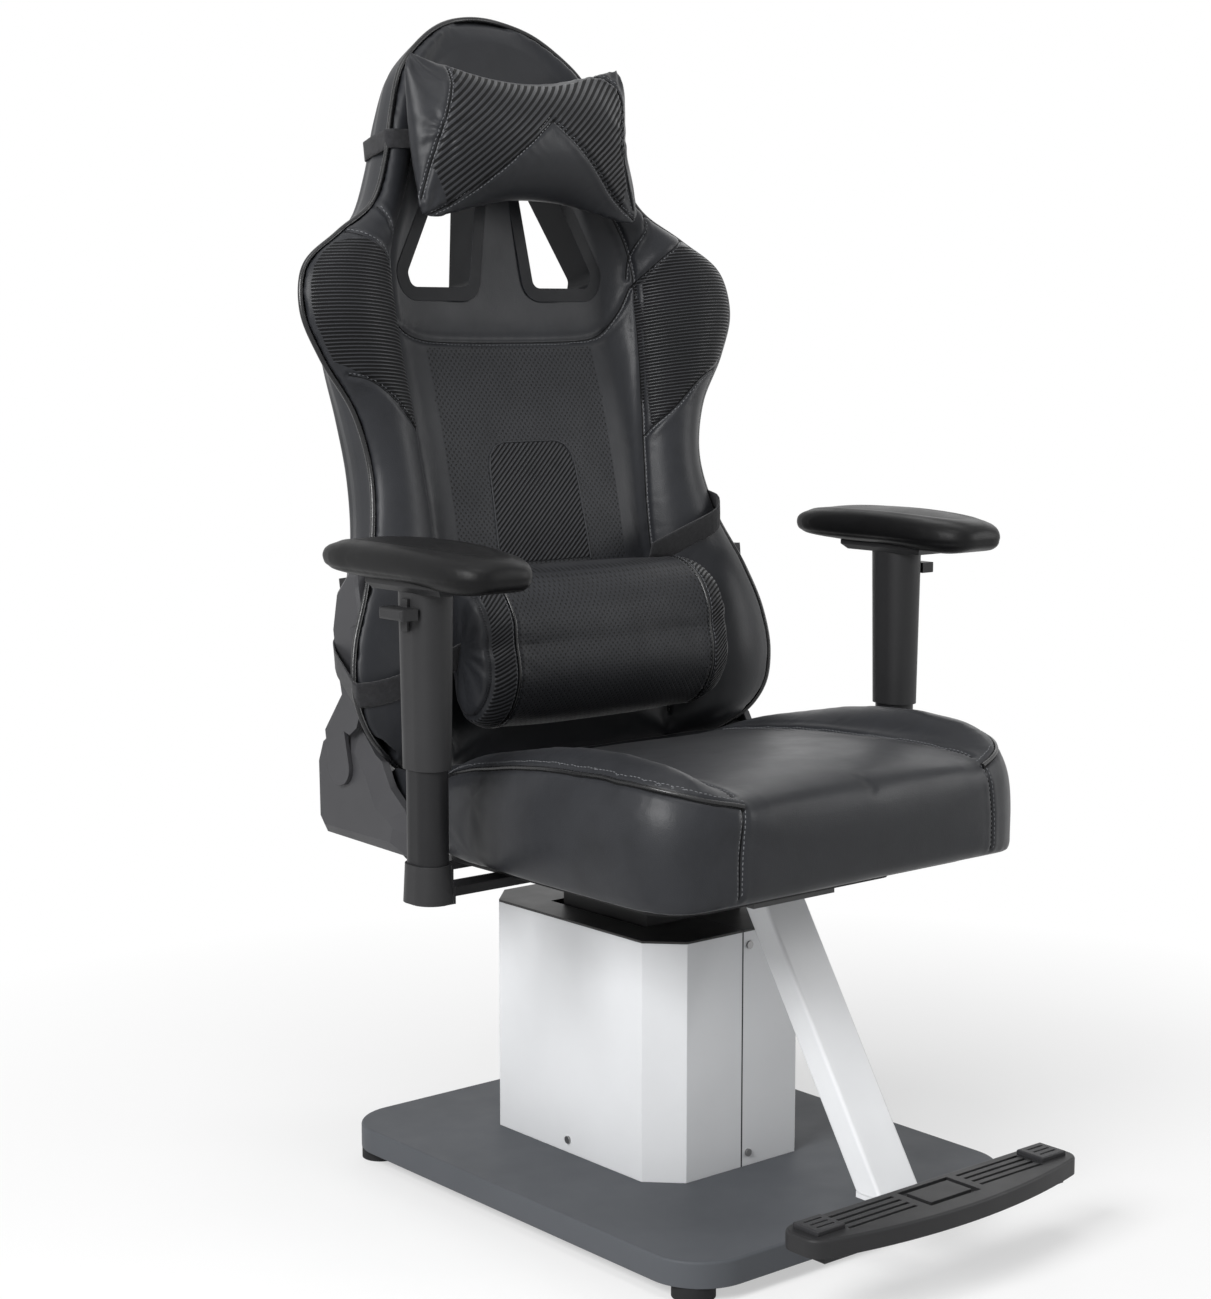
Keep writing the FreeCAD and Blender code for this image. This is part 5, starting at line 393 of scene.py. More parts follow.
def glossy_piping():
    """The smooth shiny leather that is sewn round the piping cord."""
    finish = Finish("piping", (0.0050, 0.0052, 0.0058), 0.24, specular=0.45)
    finish.tint(1.6, finish.clouds(90.0, 3.0, 0.4, 0.8))
    finish.polish(0.12, finish.clouds(160.0, 3.0, 0.35, 0.7))
    finish.bump(finish.noise(420.0, 2.0), 0.0002, 0.6)
    return finish.done()


def thread():
    """Grey sewing thread, twisted and a little fuzzy."""
    finish = Finish("thread", (0.150, 0.155, 0.165), 0.62, specular=0.3)
    finish.set("Sheen Weight", 0.2)
    finish.tint(0.6, finish.clouds(1800.0, 2.0, 0.4, 0.7))
    finish.bump(finish.noise(3500.0, 2.0), 0.0001)
    return finish.done()


def webbing():
    """Woven elastic strap: fine ribs both ways, dull, with a little fuzz."""
    finish = Finish("webbing", (0.021, 0.021, 0.023), 0.82, specular=0.15)
    finish.set("Sheen Weight", 0.12)
    finish.set("Sheen Roughness", 0.5)
    finish.tint(1.5, finish.clouds(240.0, 3.0, 0.4, 0.8))
    ribs = finish.add("ShaderNodeTexWave", wave_type="BANDS", bands_direction="Z")
    finish.link(finish.coordinates, ribs.inputs["Vector"])
    ribs.inputs["Scale"].default_value = 260.0
    ribs.inputs["Distortion"].default_value = 1.5
    finish.bump(ribs.outputs["Fac"], 0.0003)
    finish.bump(finish.noise(1500.0, 2.0), 0.00015)
    return finish.done()


def rubber(name, colour, rough=0.75):
    """Dull rubber with greyed edges."""
    finish = Finish(name, colour, rough, specular=0.25)
    edges = finish.soft_edges(0.8 * MM)
    finish.tint(1.5, finish.clouds(14.0, 4.0, 0.4, 0.8))
    finish.tint(1.9, finish.maths("MULTIPLY", edges, finish.clouds(50.0, 4.0, 0.3, 0.7)))
    finish.polish(0.1, finish.clouds(40.0, 4.0, 0.3, 0.8))
    finish.bump(finish.noise(800.0, 3.0), 0.00012)
    return finish.done()


def rest_skin():
    """Soft-touch moulded skin of the arm rests."""
    finish = Finish("arm_rest_skin", (0.0040, 0.0040, 0.0043), 0.38, specular=0.15)
    finish.tint(1.35, finish.clouds(12.0, 4.0, 0.4, 0.8))
    finish.polish(0.12, finish.clouds(26.0, 4.0, 0.3, 0.8))
    finish.bump(finish.cells(1300.0), 0.00008, 0.7)
    finish.bump(finish.noise(30.0, 3.0), 0.0003, 0.4)
    return finish.done()


FINISHES = {
    "base_paint": paint("base_paint", (0.078, 0.083, 0.092), 0.50, specular=0.16),
    "housing_paint": paint("housing_paint", (0.66, 0.67, 0.685), 0.40, joint=True),
    # The top cover: dark paint made near black, partly its own colour and partly painted shade from the
    # seat above it.
    "dark_sheet": paint("dark_sheet", (0.012, 0.012, 0.0125), 0.42, edge_lightening=2.0),
    "strut_paint": paint("strut_paint", (0.70, 0.71, 0.725), 0.36, bare=347 * MM),
    "black_steel": paint("black_steel", (0.011, 0.011, 0.012), 0.40, edge_lightening=2.2, specular=0.2),
    "zinc_steel": metal("zinc_steel", (0.62, 0.62, 0.60), 0.32),
    "column_steel": paint("column_steel", (0.011, 0.011, 0.012), 0.34, edge_lightening=2.4),
    "nut_bronze": metal("nut_bronze", (0.50, 0.34, 0.17), 0.35),
    "slide_plastic": plastic("slide_plastic", (0.55, 0.55, 0.52), 0.5),
    "black_plastic": plastic("black_plastic", (0.020, 0.020, 0.021), 0.44, specular=0.20),
    "soft_black": rubber("soft_black", (0.010, 0.010, 0.0105), 0.46),
    "foot_rubber": rubber("foot_rubber", (0.012, 0.012, 0.013)),
    "leather_black": leather(),
    "strap_fabric": webbing(),
    "black_paint": paint("black_paint", (0.030, 0.031, 0.033), 0.38, edge_lightening=1.8),
}
HIDE = FINISHES["leather_black"]
COVER = plastic("cover_plastic", (0.037, 0.037, 0.040), 0.44, 1100.0, 0.0001, specular=0.28)
# The trim's edges are lightened five times over: a painted highlight along its chamfered inner lips.
TRIM = plastic("trim_plastic", (0.010, 0.0105, 0.0122), 0.36, edge_lightening=5.0, specular=0.10)
TREAD = plastic("tread_plastic", (0.030, 0.030, 0.032), 0.46, specular=0.18)
SCREW = metal("screw_steel", (0.30, 0.30, 0.30), 0.34)
PERFORATED = perforated_leather()
RIBBED = leather("ribbed_leather", (0.026, 0.027, 0.030), 0.36)
# Near-black leather that paints shade: the cords in seams and beside piping, and the groove faces between
# ribs.
SHADE_LEATHER = leather("painted_shade_leather", (0.0016, 0.0017, 0.0020), 0.8)
PIPING = glossy_piping()
THREAD = thread()
ARM_PAD = rest_skin()

# Nodes whose finish is closer to the photograph than their slot's own
SPECIAL = {
    "upper_cover_left": COVER,
    "upper_cover_right": COVER,
    "lower_cover_left": COVER,
    "lower_cover_right": COVER,
    "harness_trims": TRIM,
    "footrest_treads": TREAD,
    "housing_screws": SCREW,
}


def dress_frame():
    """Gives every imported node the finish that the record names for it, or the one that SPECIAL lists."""
    for name, thing in frame["nodes"].items():
        wanted = SPECIAL.get(name) or FINISHES[slot_of(name)]
        thing.data.materials.clear()
        thing.data.materials.append(wanted)
        thing.data.shade_smooth()
        thing.data.set_sharp_from_angle(angle=math.radians(28))


def slot_of(name):
    """The record's material slot of a node."""
    for part in frame["record"]["subparts"]:
        if name in (part.get("node"), part.get("name"), part.get("id")):
            return part["material_slot"]
    raise KeyError(name)


# Meshes

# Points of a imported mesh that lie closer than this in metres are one
SPLIT_POINTS = 0.00002


def points_of(mesh):
    flat = np.zeros(len(mesh.vertices) * 3, np.float32)
    mesh.vertices.foreach_get("co", flat)
    return flat.reshape(-1, 3).astype(float)


def set_points(mesh, points):
    mesh.vertices.foreach_set("co", points.astype(np.float32).ravel())
    mesh.update()


def normals_of(mesh):
    flat = np.zeros(len(mesh.vertices) * 3, np.float32)
    mesh.vertex_normals.foreach_get("vector", flat)
    return flat.reshape(-1, 3).astype(float)


def place(name, mesh, material, body):
    """A piece of the object in the scene, on its body."""
    made = bpy.data.objects.new(name, mesh)
    bpy.context.scene.collection.objects.link(made)
    if material is not None:
        mesh.materials.append(material)
    mesh.shade_smooth()
    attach(made, body)
    return made


def settled(thing):
    """The thing's mesh with its modifiers applied."""
    graph = bpy.context.evaluated_depsgraph_get()
    mesh = bpy.data.meshes.new_from_object(thing.evaluated_get(graph))
    thing.modifiers.clear()
    old = thing.data
    thing.data = mesh
    bpy.data.meshes.remove(old)
    return thing


def packed(node):
    """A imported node's mesh for editing, its split points joined."""
    source = bmesh.new()
    source.from_mesh(frame["nodes"][node].data)
    bmesh.ops.remove_doubles(source, verts=source.verts, dist=SPLIT_POINTS)
    return source


def written(source, name):
    """The edited mesh as one of the scene's meshes."""
    mesh = bpy.data.meshes.new(name)
    source.to_mesh(mesh)
    source.free()
    return mesh


def even_copy(node, voxel, smooth=4):
    """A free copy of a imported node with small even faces."""
    made = bpy.data.objects.new(node + "_soft", written(packed(node), node + "_soft"))
    bpy.context.scene.collection.objects.link(made)
    remesh = made.modifiers.new("even", "REMESH")
    remesh.mode = "VOXEL"
    remesh.voxel_size = voxel
    if smooth:
        soften = made.modifiers.new("soften", "SMOOTH")
        soften.factor = 0.5
        soften.iterations = smooth
    return settled(made)


def inflate(thing, pinned, cap, pressure=PRESSURE):
    """Lets cloth swell under pressure between its pinned places, no point moving further than the cap."""
    start = points_of(thing.data)
    group = thing.vertex_groups.new(name="pinned")
    half = 0.5 / PIN_STEPS
    for k in range(1, PIN_STEPS + 1):
        weight = k / PIN_STEPS
        chosen = np.nonzero((pinned > weight - half) & (pinned <= weight + half))[0]
        group.add(chosen.tolist(), weight, "REPLACE")
    cloth = thing.modifiers.new("cloth", "CLOTH")
    settings = cloth.settings
    settings.quality = 4
    settings.mass = 0.4
    settings.tension_stiffness = 25
    settings.compression_stiffness = 25
    settings.shear_stiffness = 12
    settings.bending_stiffness = 2.0
    settings.use_pressure = True
    settings.uniform_pressure_force = pressure
    settings.vertex_group_mass = "pinned"
    settings.effector_weights.gravity = 0
    cloth.collision_settings.use_collision = False
    cloth.point_cache.frame_start = 1
    cloth.point_cache.frame_end = CLOTH_FRAMES
    scene = bpy.context.scene
    for step in range(1, CLOTH_FRAMES + 1):
        scene.frame_set(step)
    settled(thing)
    thing.vertex_groups.clear()
    moved = points_of(thing.data) - start
    length = np.linalg.norm(moved, axis=1, keepdims=True)
    set_points(thing.data, start + moved * np.minimum(1.0, cap / np.maximum(length, 1e-9)))
    scene.frame_set(1)


def refine(thing, name, *materials):
    """Subdivides a soft form once, and gives it its name and materials."""
    fine = thing.modifiers.new("fine", "SUBSURF")
    fine.levels = 1
    fine.render_levels = 1
    settled(thing)
    thing.name = name
    thing.data.materials.clear()
    for material in materials:
        thing.data.materials.append(material)


def surface_of(thing):
    mesh = thing.data
    return BVHTree.FromPolygons([v.co for v in mesh.vertices], [p.vertices for p in mesh.polygons])


def ramp(value, start, reach):
    """Rises evenly from 0 at the start to 1 where the reach ends."""
    return np.clip((value - start) / reach, 0, 1)


def sampled(points, step):
    """A polyline with points an even small step apart."""
    points = [Vector(p) for p in points]
    lengths = [0.0]
    for start, stop in zip(points, points[1:]):
        lengths.append(lengths[-1] + (stop - start).length)
    count = max(2, int(round(lengths[-1] / step)) + 1)
    found = []
    index = 0
    for k in range(count):
        at = lengths[-1] * k / (count - 1)
        while index < len(points) - 2 and lengths[index + 1] < at:
            index += 1
        span = lengths[index + 1] - lengths[index]
        share = 0.0 if span < 1e-12 else (at - lengths[index]) / span
        found.append(points[index].lerp(points[index + 1], share))
    return found


def curved(points, parts=8):
    """A smooth line through its points."""
    points = [Vector(p) for p in points]
    padded = [points[0] * 2 - points[1]] + points + [points[-1] * 2 - points[-2]]
    found = []
    for a, b, c, d in zip(padded, padded[1:], padded[2:], padded[3:]):
        for k in range(parts):
            s = k / parts
            straight = 2 * b + (c - a) * s
            bend = (2 * a - 5 * b + 4 * c - d) * s**2
            found.append(0.5 * (straight + bend + (3 * b - a - 3 * c + d) * s**3))
    return found + [points[-1]]


def dropped(line, surface, direction, reach=0.4, lift=0.0):
    """A line laid on a surface: each point goes along the direction until it meets it."""
    direction = Vector(direction).normalized()
    found = []
    for point in line:
        hit, normal, _, _ = surface.ray_cast(point - direction * reach, direction, 2 * reach)
        if hit is not None:
            found.append(hit + normal * lift)
    return found


def eased(line, rounds=6):
    """A line with its small unevenness smoothed away."""
    line = list(line)
    for _ in range(rounds):
        line = [line[0]] + [(a + b * 2 + c) / 4 for a, b, c in zip(line, line[1:], line[2:])] + [line[-1]]
    return line


def nearest_laid(line, surface, lift=0.0):
    """A line laid on the nearest places of a surface."""
    found = []
    for point in line:
        hit, normal, _, _ = surface.find_nearest(point)
        found.append(hit + normal * lift)
    return found


class Seams:
    """Lines on a surface: how far each vertex is from the nearest, and how far along it."""

    def __init__(self, mesh, lines, step=2 * MM):
        even = [sampled(line, step) for line in lines if len(line) > 1]
        count = sum(len(line) for line in even)
        tree = kdtree.KDTree(count)
        index = 0
        for line in even:
            for point in line:
                tree.insert(point, index)
                index += 1
        tree.balance()
        self.along = np.arange(count) * step
        points = points_of(mesh)
        self.distance = np.zeros(len(points))
        self.place = np.zeros(len(points))
        for k, point in enumerate(points):
            _, found, distance = tree.find(point)
            self.distance[k] = distance
            self.place[k] = self.along[found]


def sew(thing, lines, width=2.6 * MM, depth=2.2 * MM, pucker=0.25 * MM, pitch=19 * MM, reach=14 * MM):
    """Presses seams into a mesh, with a crown beside them and small uneven puckers across them."""
    seams = Seams(thing.data, lines)
    points = points_of(thing.data)
    normals = normals_of(thing.data)
    near = np.exp(-((seams.distance / width) ** 2))
    beside = np.exp(-(((seams.distance - 2.6 * width) / (1.5 * width)) ** 2))
    drift = np.array([noise.noise(Vector(p) * 40.0) for p in points])
    fold = np.sin(seams.place * math.tau / pitch + drift * 7.0) * np.exp(-seams.distance / reach)
    strength = 0.5 + 0.5 * np.array([noise.noise(Vector(p) * 11.0 + Vector((3, 7, 1))) for p in points])
    change = -depth * near + 0.25 * depth * beside + pucker * fold * strength * (1 - 0.6 * near)
    set_points(thing.data, points + normals * change[:, None])


def crease(thing, centre, axis, reach, depth, count, phase, inner):
    """Soft folds that fan out from a place, such as where stuffing is drawn in."""
    points = points_of(thing.data)
    normals = normals_of(thing.data)
    away = points - np.array(centre)
    axis = Vector(axis).normalized()
    side = axis.orthogonal().normalized()
    other = axis.cross(side)
    u, v = away @ np.array(side), away @ np.array(other)
    distance = np.linalg.norm(away, axis=1)
    angle = np.arctan2(v, u)
    drift = np.array([noise.noise(Vector(p) * 25.0) for p in points])
    wave = np.sin(angle * count + phase + drift * 3.0)
    fade = np.exp(-((distance / reach) ** 2)) * np.clip((distance - inner) / (0.3 * reach), 0, 1)
    set_points(thing.data, points + normals * (depth * wave * fade)[:, None])


def ruffle(thing, amount, size, stretch=(1, 1, 1)):
    """Slow unevenness of padding under its cover."""
    points = points_of(thing.data)
    normals = normals_of(thing.data)
    scale = Vector([s / size for s in stretch])
    wave = np.array([noise.noise(Vector((p[0] * scale.x, p[1] * scale.y, p[2] * scale.z))) for p in points])
    set_points(thing.data, points + normals * (amount * wave)[:, None])


def tube(name, line, radius, material, body):
    """A round cord along a line, as a mesh."""
    curve = bpy.data.curves.new(name, "CURVE")
    curve.dimensions = "3D"
    curve.bevel_depth = radius
    curve.bevel_resolution = 3
    curve.use_fill_caps = True
    spline = curve.splines.new("POLY")
    spline.points.add(len(line) - 1)
    for knot, point in zip(spline.points, line):
        knot.co = (*point, 1)
    holder = bpy.data.objects.new(name + "_line", curve)
    bpy.context.scene.collection.objects.link(holder)
    graph = bpy.context.evaluated_depsgraph_get()
    mesh = bpy.data.meshes.new_from_object(holder.evaluated_get(graph))
    bpy.data.objects.remove(holder)
    bpy.data.curves.remove(curve)
    mesh.name = name
    mesh.materials.clear()
    return place(name, mesh, material, body)


def joined(name, meshes, material, body, second=None):
    """Several point and face lists as one piece; marked faces get the second material."""
    points, faces, marks = [], [], []
    for some_points, some_faces, *some_marks in meshes:
        start = len(points)
        points += some_points
        faces += [[start + k for k in face] for face in some_faces]
        marks += some_marks[0] if some_marks else [False] * len(some_faces)
    mesh = bpy.data.meshes.new(name)
    mesh.from_pydata([tuple(p) for p in points], [], faces)
    thing = place(name, mesh, material, body)
    if second is not None:
        mesh.materials.append(second)
        mesh.polygons.foreach_set("material_index", np.array(marks, np.int32))
    return thing


# A stitch's shape: its height in thread radii at shares of its length
STITCH_SHAPE = ((0.0, -0.6), (0.18, 0.5), (0.5, 0.8), (0.82, 0.5), (1.0, -0.6))


def one_stitch(start, stop, normal, thick):
    """A short thread that rises between two holes."""
    along = stop - start
    side = along.cross(normal).normalized() * thick
    points, faces = [], []
    for share, lift in STITCH_SHAPE:
        middle = start + along * share + normal * (lift * thick)
        points += [middle + side, middle + normal * thick, middle - side]
    for k in range(len(STITCH_SHAPE) - 1):
        a = 3 * k
        faces += [[a, a + 1, a + 4, a + 3], [a + 1, a + 2, a + 5, a + 4]]
    return points, faces


def stitches(name, lines, surface, body):
    """Rows of single stitches along lines on a surface."""
    made = []
    for line in lines:
        if len(line) < 2:
            continue
        even = sampled(line, 1.0 * MM)
        step = int(round((STITCH + STITCH_SPACE) / MM))
        run = int(round(STITCH / MM))
        for k in range(0, len(even) - run, step):
            start, stop = even[k], even[k + run]
            first, normal, _, _ = surface.find_nearest(start)
            last, _, _, _ = surface.find_nearest(stop)
            if first is None or last is None or (last - first).length < 0.4 * STITCH:
                continue
            made.append(one_stitch(first, last, normal, THREAD_RADIUS))
    joined(name, made, THREAD, body)


def seam_shadows(name, lines, surface, body, radius=SEAM_SHADE):
    """Near-black cords laid in the seams between panels: painted shade in their hollows."""
    for k, line in enumerate(lines):
        laid = eased(nearest_laid(sampled(line, 4 * MM), surface, 0.2 * MM), 4)
        tube(f"{name}_{k + 1}", laid, radius, SHADE_LEATHER, body)


def beside(line, surface, offset):
    """A line moved sideways on its surface."""
    found = []
    even = sampled(line, 3 * MM)
    for k, point in enumerate(even):
        ahead = even[min(k + 1, len(even) - 1)] - even[max(k - 1, 0)]
        hit, normal, _, _ = surface.find_nearest(point)
        side = ahead.cross(normal)
        if side.length < 1e-9:
            continue
        moved, _, _, _ = surface.find_nearest(hit + side.normalized() * offset)
        found.append(moved)
    return found


def grid_faces(tall, wide, ring=False):
    """Faces between the rows of a grid of points; a ring's rows close on themselves."""
    faces = []
    for r in range(tall - 1):
        for k in range(wide if ring else wide - 1):
            n = (k + 1) % wide
            faces.append([r * wide + k, r * wide + n, (r + 1) * wide + n, (r + 1) * wide + k])
    return faces


def crossing(outline, level):
    """Where a level line crosses a flat outline, first and last."""
    found = []
    for (x0, y0), (x1, y1) in zip(outline, outline[1:] + outline[:1]):
        if (y0 - level) * (y1 - level) < 0:
            found.append(x0 + (x1 - x0) * (level - y0) / (y1 - y0))
    return (min(found), max(found)) if len(found) > 1 else None


def laid_ahead(surface):
    """Lays a flat place (across, up) of the backrest on a surface seen from the front."""

    def lay(x, t):
        hit, normal, _, _ = surface.ray_cast(lean(x, -0.4, t), REARWARD, 0.8)
        return hit, normal

    return lay


# Ribs: rows of points in one pitch, the shortest row, the rim over which they fade, how far the panel
# stands off the surface and its rim sinks in, and the share of a pitch from a rib's foot that is groove,
# whose faces take the near-black leather as painted shade
RIB_ROWS = 6
RIB_SHORTEST = 2 * MM
RIB_RIM = 2.5 * MM
RIB_LIFT = 0.15 * MM
RIM_SINK = 0.5 * MM
SHADED_GROOVE_SHARE = 0.26


def ribbed_patch(outline, turn, pitch, high, lay, along_step=3 * MM):
    """An embossed panel: even ribs inside a flat outline, laid on a surface, its groove faces marked for
    painted shade.
    """
    cos, sin = math.cos(turn), math.sin(turn)
    flat = [(x * cos + t * sin, -x * sin + t * cos) for x, t in outline]
    low, top = min(p[1] for p in flat), max(p[1] for p in flat)
    step = pitch / RIB_ROWS
    wide = max(p[0] for p in flat) - min(p[0] for p in flat)
    count = max(8, int(wide / along_step))
    rows = []
    level = low + step / 2
    while level < top:
        span = crossing(flat, level)
        if span and span[1] - span[0] > RIB_SHORTEST:
            rows.append((level, span))
        level += step
    points, faces = [], []
    kept = []
    for level, (left, right) in rows:
        wave = 0.5 - 0.5 * math.cos(math.tau * level / pitch)
        row = []
        for k in range(count + 1):
            u = left + (right - left) * k / count
            hit, normal = lay(u * cos - level * sin, u * sin + level * cos)
            if hit is None:
                row = None
                break
            edge = min(u - left, right - u, level - low, top - level) / RIB_RIM
            fade = max(0.0, min(1.0, edge))
            lift = (RIB_LIFT + high * wave) * fade - RIM_SINK * (1 - fade)
            row.append(hit + normal * lift)
        if row is None:
            kept.append(None)
            continue
        kept.append(len(points))
        points += row
    for a, b in zip(kept, kept[1:]):
        if a is None or b is None:
            continue
        faces += [[a + k, a + k + 1, b + k + 1, b + k] for k in range(count)]
    # Faces in the grooves are marked for the near-black leather: painted shade between the ribs.
    shaded_grooves = []
    for (level, _), a, b in zip(rows, kept, kept[1:]):
        if a is not None and b is not None:
            share = ((level + step / 2) / pitch) % 1.0
            shaded_grooves += [min(share, 1 - share) < SHADED_GROOVE_SHARE] * count
    return points, faces, shaded_grooves


# Backrest


def arc(start, via, stop, count):
    """Flat points on the arc through three places, without the last."""
    (ax, ay), (bx, by), (cx, cy) = start, via, stop
    det = 2 * (ax * (by - cy) + bx * (cy - ay) + cx * (ay - by))
    if abs(det) < 1e-12:
        return [(ax + (cx - ax) * k / count, ay + (cy - ay) * k / count) for k in range(count)]
    sa, sb, sc = ax * ax + ay * ay, bx * bx + by * by, cx * cx + cy * cy
    x = (sa * (by - cy) + sb * (cy - ay) + sc * (ay - by)) / det
    y = (sa * (cx - bx) + sb * (ax - cx) + sc * (bx - ax)) / det
    radius = math.hypot(ax - x, ay - y)
    first, middle, last = (math.atan2(q - y, p - x) for p, q in (start, via, stop))
    turn = (last - first) % math.tau
    if (middle - first) % math.tau > turn:
        turn -= math.tau
    angles = [first + turn * k / count for k in range(count)]
    return [(x + radius * math.cos(angle), y + radius * math.sin(angle)) for angle in angles]


def mix(low, high, share):
    return low + (high - low) * share


def front_section(row):
    """Half of a level section of the cushion, from its joint edge forward and in to the middle."""
    _, front, side, _, ridge, dish, seam, face, _, piping = row
    face_d = -BACK_FACE * face
    joint = (BACK_HALF * side, -BACK_SPLIT)
    knee = (joint[0], mix(-BACK_SPLIT, max(-BACK_STEP, face_d), 0.9))
    pipe = (BACK_HALF * front, face_d - BACK_PIPE * piping)
    crease_x = BACK_HALF * seam
    crest = (mix(crease_x, pipe[0], 0.56), face_d - BACK_RIDGE * ridge)
    dish_d = face_d + BACK_DISH * dish
    floor = (crease_x * 0.84, mix(face_d, dish_d, 0.88))
    cove = (mix(floor[0], crease_x, 0.6), mix(face_d, floor[1], 0.6))
    hollow = 0.1 * math.dist(knee, pipe)
    waist = ((knee[0] + pipe[0]) / 2 - hollow, (knee[1] + pipe[1]) / 2)
    crease = (crease_x, face_d)
    points = arc(joint, ((joint[0] + knee[0]) / 2, (joint[1] + knee[1]) / 2), knee, 3)
    points += arc(knee, waist, pipe, 8) + arc(pipe, crest, crease, 22) + arc(crease, cove, floor, 5)
    whole = arc(floor, (0, dish_d), (-floor[0], floor[1]), 28)
    return points + whole[:15]


def rear_section(row):
    """Half of a level section of the rear cover, from its joint edge back and in to the middle."""
    side, rear, depth = row[2], row[3], row[8]
    joint = (BACK_HALF * side, -BACK_SPLIT)
    deep, turn = BACK_REAR * depth, BACK_TURN * depth
    lower = (mix(joint[0], BACK_HALF * rear, 0.6), deep - turn)
    bend = (BACK_HALF * rear + 0.05 * turn, deep - 0.3 * turn)
    stop = (BACK_HALF * rear - turn, deep)
    points = arc(joint, ((joint[0] + lower[0]) / 2, (joint[1] + lower[1]) / 2), lower, 4)
    return points + arc(lower, bend, stop, 6) + arc(stop, (stop[0] / 2, deep), (0, deep), 8) + [(0, deep)]


# Points of the sections that the piping, the panel's crease and the rear cover's turn lie on
PIPE_INDEX = 11
CREASE_INDEX = 33
REAR_INDEX = 11

# Rows of the smooth form
BACK_PARTS = 300


def back_rows(count):
    """The backrest's rows, evened out by a smooth curve along its outline up to a rounded top."""
    table = np.array(BACK_ROWS)
    apex = table[-1].copy()
    apex[0] = BACK_APEX
    apex[[1, 2, 3, 6]] = 0
    beyond = table[-1].copy()
    beyond[[1, 2, 3, 6]] *= -1
    table = np.vstack([table, apex, beyond])
    step = np.diff(table[:, :2], axis=0) * (BACK_HIGH, BACK_HALF)
    along = np.concatenate([[0], np.cumsum(np.linalg.norm(step, axis=1))])
    slope = np.gradient(table, along, axis=0)
    found = []
    for spot in np.linspace(0, along[-2], count):
        k = min(int(np.searchsorted(along, spot, "right")) - 1, len(along) - 3)
        span = along[k + 1] - along[k]
        s = (spot - along[k]) / span
        a, b = 2 * s**3 - 3 * s**2 + 1, s**3 - 2 * s**2 + s
        c, d = -2 * s**3 + 3 * s**2, s**3 - s**2
        found.append(a * table[k] + b * span * slope[k] + c * table[k + 1] + d * span * slope[k + 1])
    return found


def back_form(section):
    """The smooth form of one side of the backrest: rows of points from its right edge to its left."""
    form = []
    for row in back_rows(BACK_PARTS):
        t = BACK_HIGH * row[0] - BACK_LOW
        half = section(row)
        form.append([lean(x, d, t) for x, d in half] + [lean(-x, d, t) for x, d in half[-2::-1]])
    return form


def form_surface(form):
    return BVHTree.FromPolygons([p for row in form for p in row], grid_faces(len(form), len(form[0])))


FRONT_FORM = back_form(front_section)
REAR_FORM = back_form(rear_section)


def drawn_to(thing, form, reach, keep):
    """Moves the mesh's nearby points onto a smooth form; where keep is high they stay."""
    surface = form_surface(form)
    points = points_of(thing.data)
    for k, point in enumerate(points):
        if keep[k] >= 1:
            continue
        hit, _, _, distance = surface.find_nearest(Vector(point), reach)
        if hit is None:
            continue
        share = (1 - keep[k]) * min(1.0, 2 * (1 - distance / reach))
        points[k] = point + (np.array(hit) - point) * share
    set_points(thing.data, points)


def back_line(index, sign, low=-1.0, high=1.0, form=FRONT_FORM):
    """One lengthwise line of the backrest's form, between two heights along it."""
    line = [row[index if sign > 0 else -1 - index] for row in form]
    up = unlean(np.array(line))[:, 2]
    return [point for point, t in zip(line, up) if low <= t <= high]


def soften(thing, share, rounds):
    """Evens out a mesh where the share is high."""
    mesh = thing.data
    ends = np.zeros(len(mesh.edges) * 2, np.int32)
    mesh.edges.foreach_get("vertices", ends)
    first, last = ends.reshape(-1, 2).T
    points = points_of(mesh)
    degree = np.bincount(ends, minlength=len(points))[:, None]
    for _ in range(rounds):
        total = np.zeros_like(points)
        np.add.at(total, first, points[last])
        np.add.at(total, last, points[first])
        points += share[:, None] * (total / degree - points)
    set_points(mesh, points)


def side_skins():
    """Smooth leather down both sides, from the piping over the joint to the rear cover's turn."""
    meshes = []
    rows = back_rows(BACK_PARTS)
    for sign in (1, -1):
        grid = []
        for row in rows:
            t = BACK_HIGH * row[0] - BACK_LOW
            section = front_section(row)[PIPE_INDEX::-1] + rear_section(row)[1:REAR_INDEX]
            grid.append([lean(sign * x, d, t) for x, d in section])
        grid = np.array(grid)
        across = np.gradient(grid, axis=1)
        up = np.gradient(grid, axis=0)
        out = np.cross(up, across) * -sign
        out /= np.maximum(np.linalg.norm(out, axis=2, keepdims=True), 1e-12)
        grid = grid + out * (0.8 * MM)
        faces = [face[::sign] for face in grid_faces(*grid.shape[:2])]
        meshes.append((list(grid.reshape(-1, 3)), faces))
    joined("backrest_side_leather", meshes, HIDE, "backrest")


def back_front(points):
    """Flat places (across, up) in mm on the backrest as a line in front of it."""
    return [lean(x * MM, -0.3, t * MM) for x, t in points]


def drawn_line(points, surface, step):
    """Flat places (across, up) in mm as a smooth line on the front of the surface."""
    return dropped(sampled(curved(back_front(points)), step), surface, REARWARD)


def in_metres(points):
    return [(x * MM, t * MM) for x, t in points]


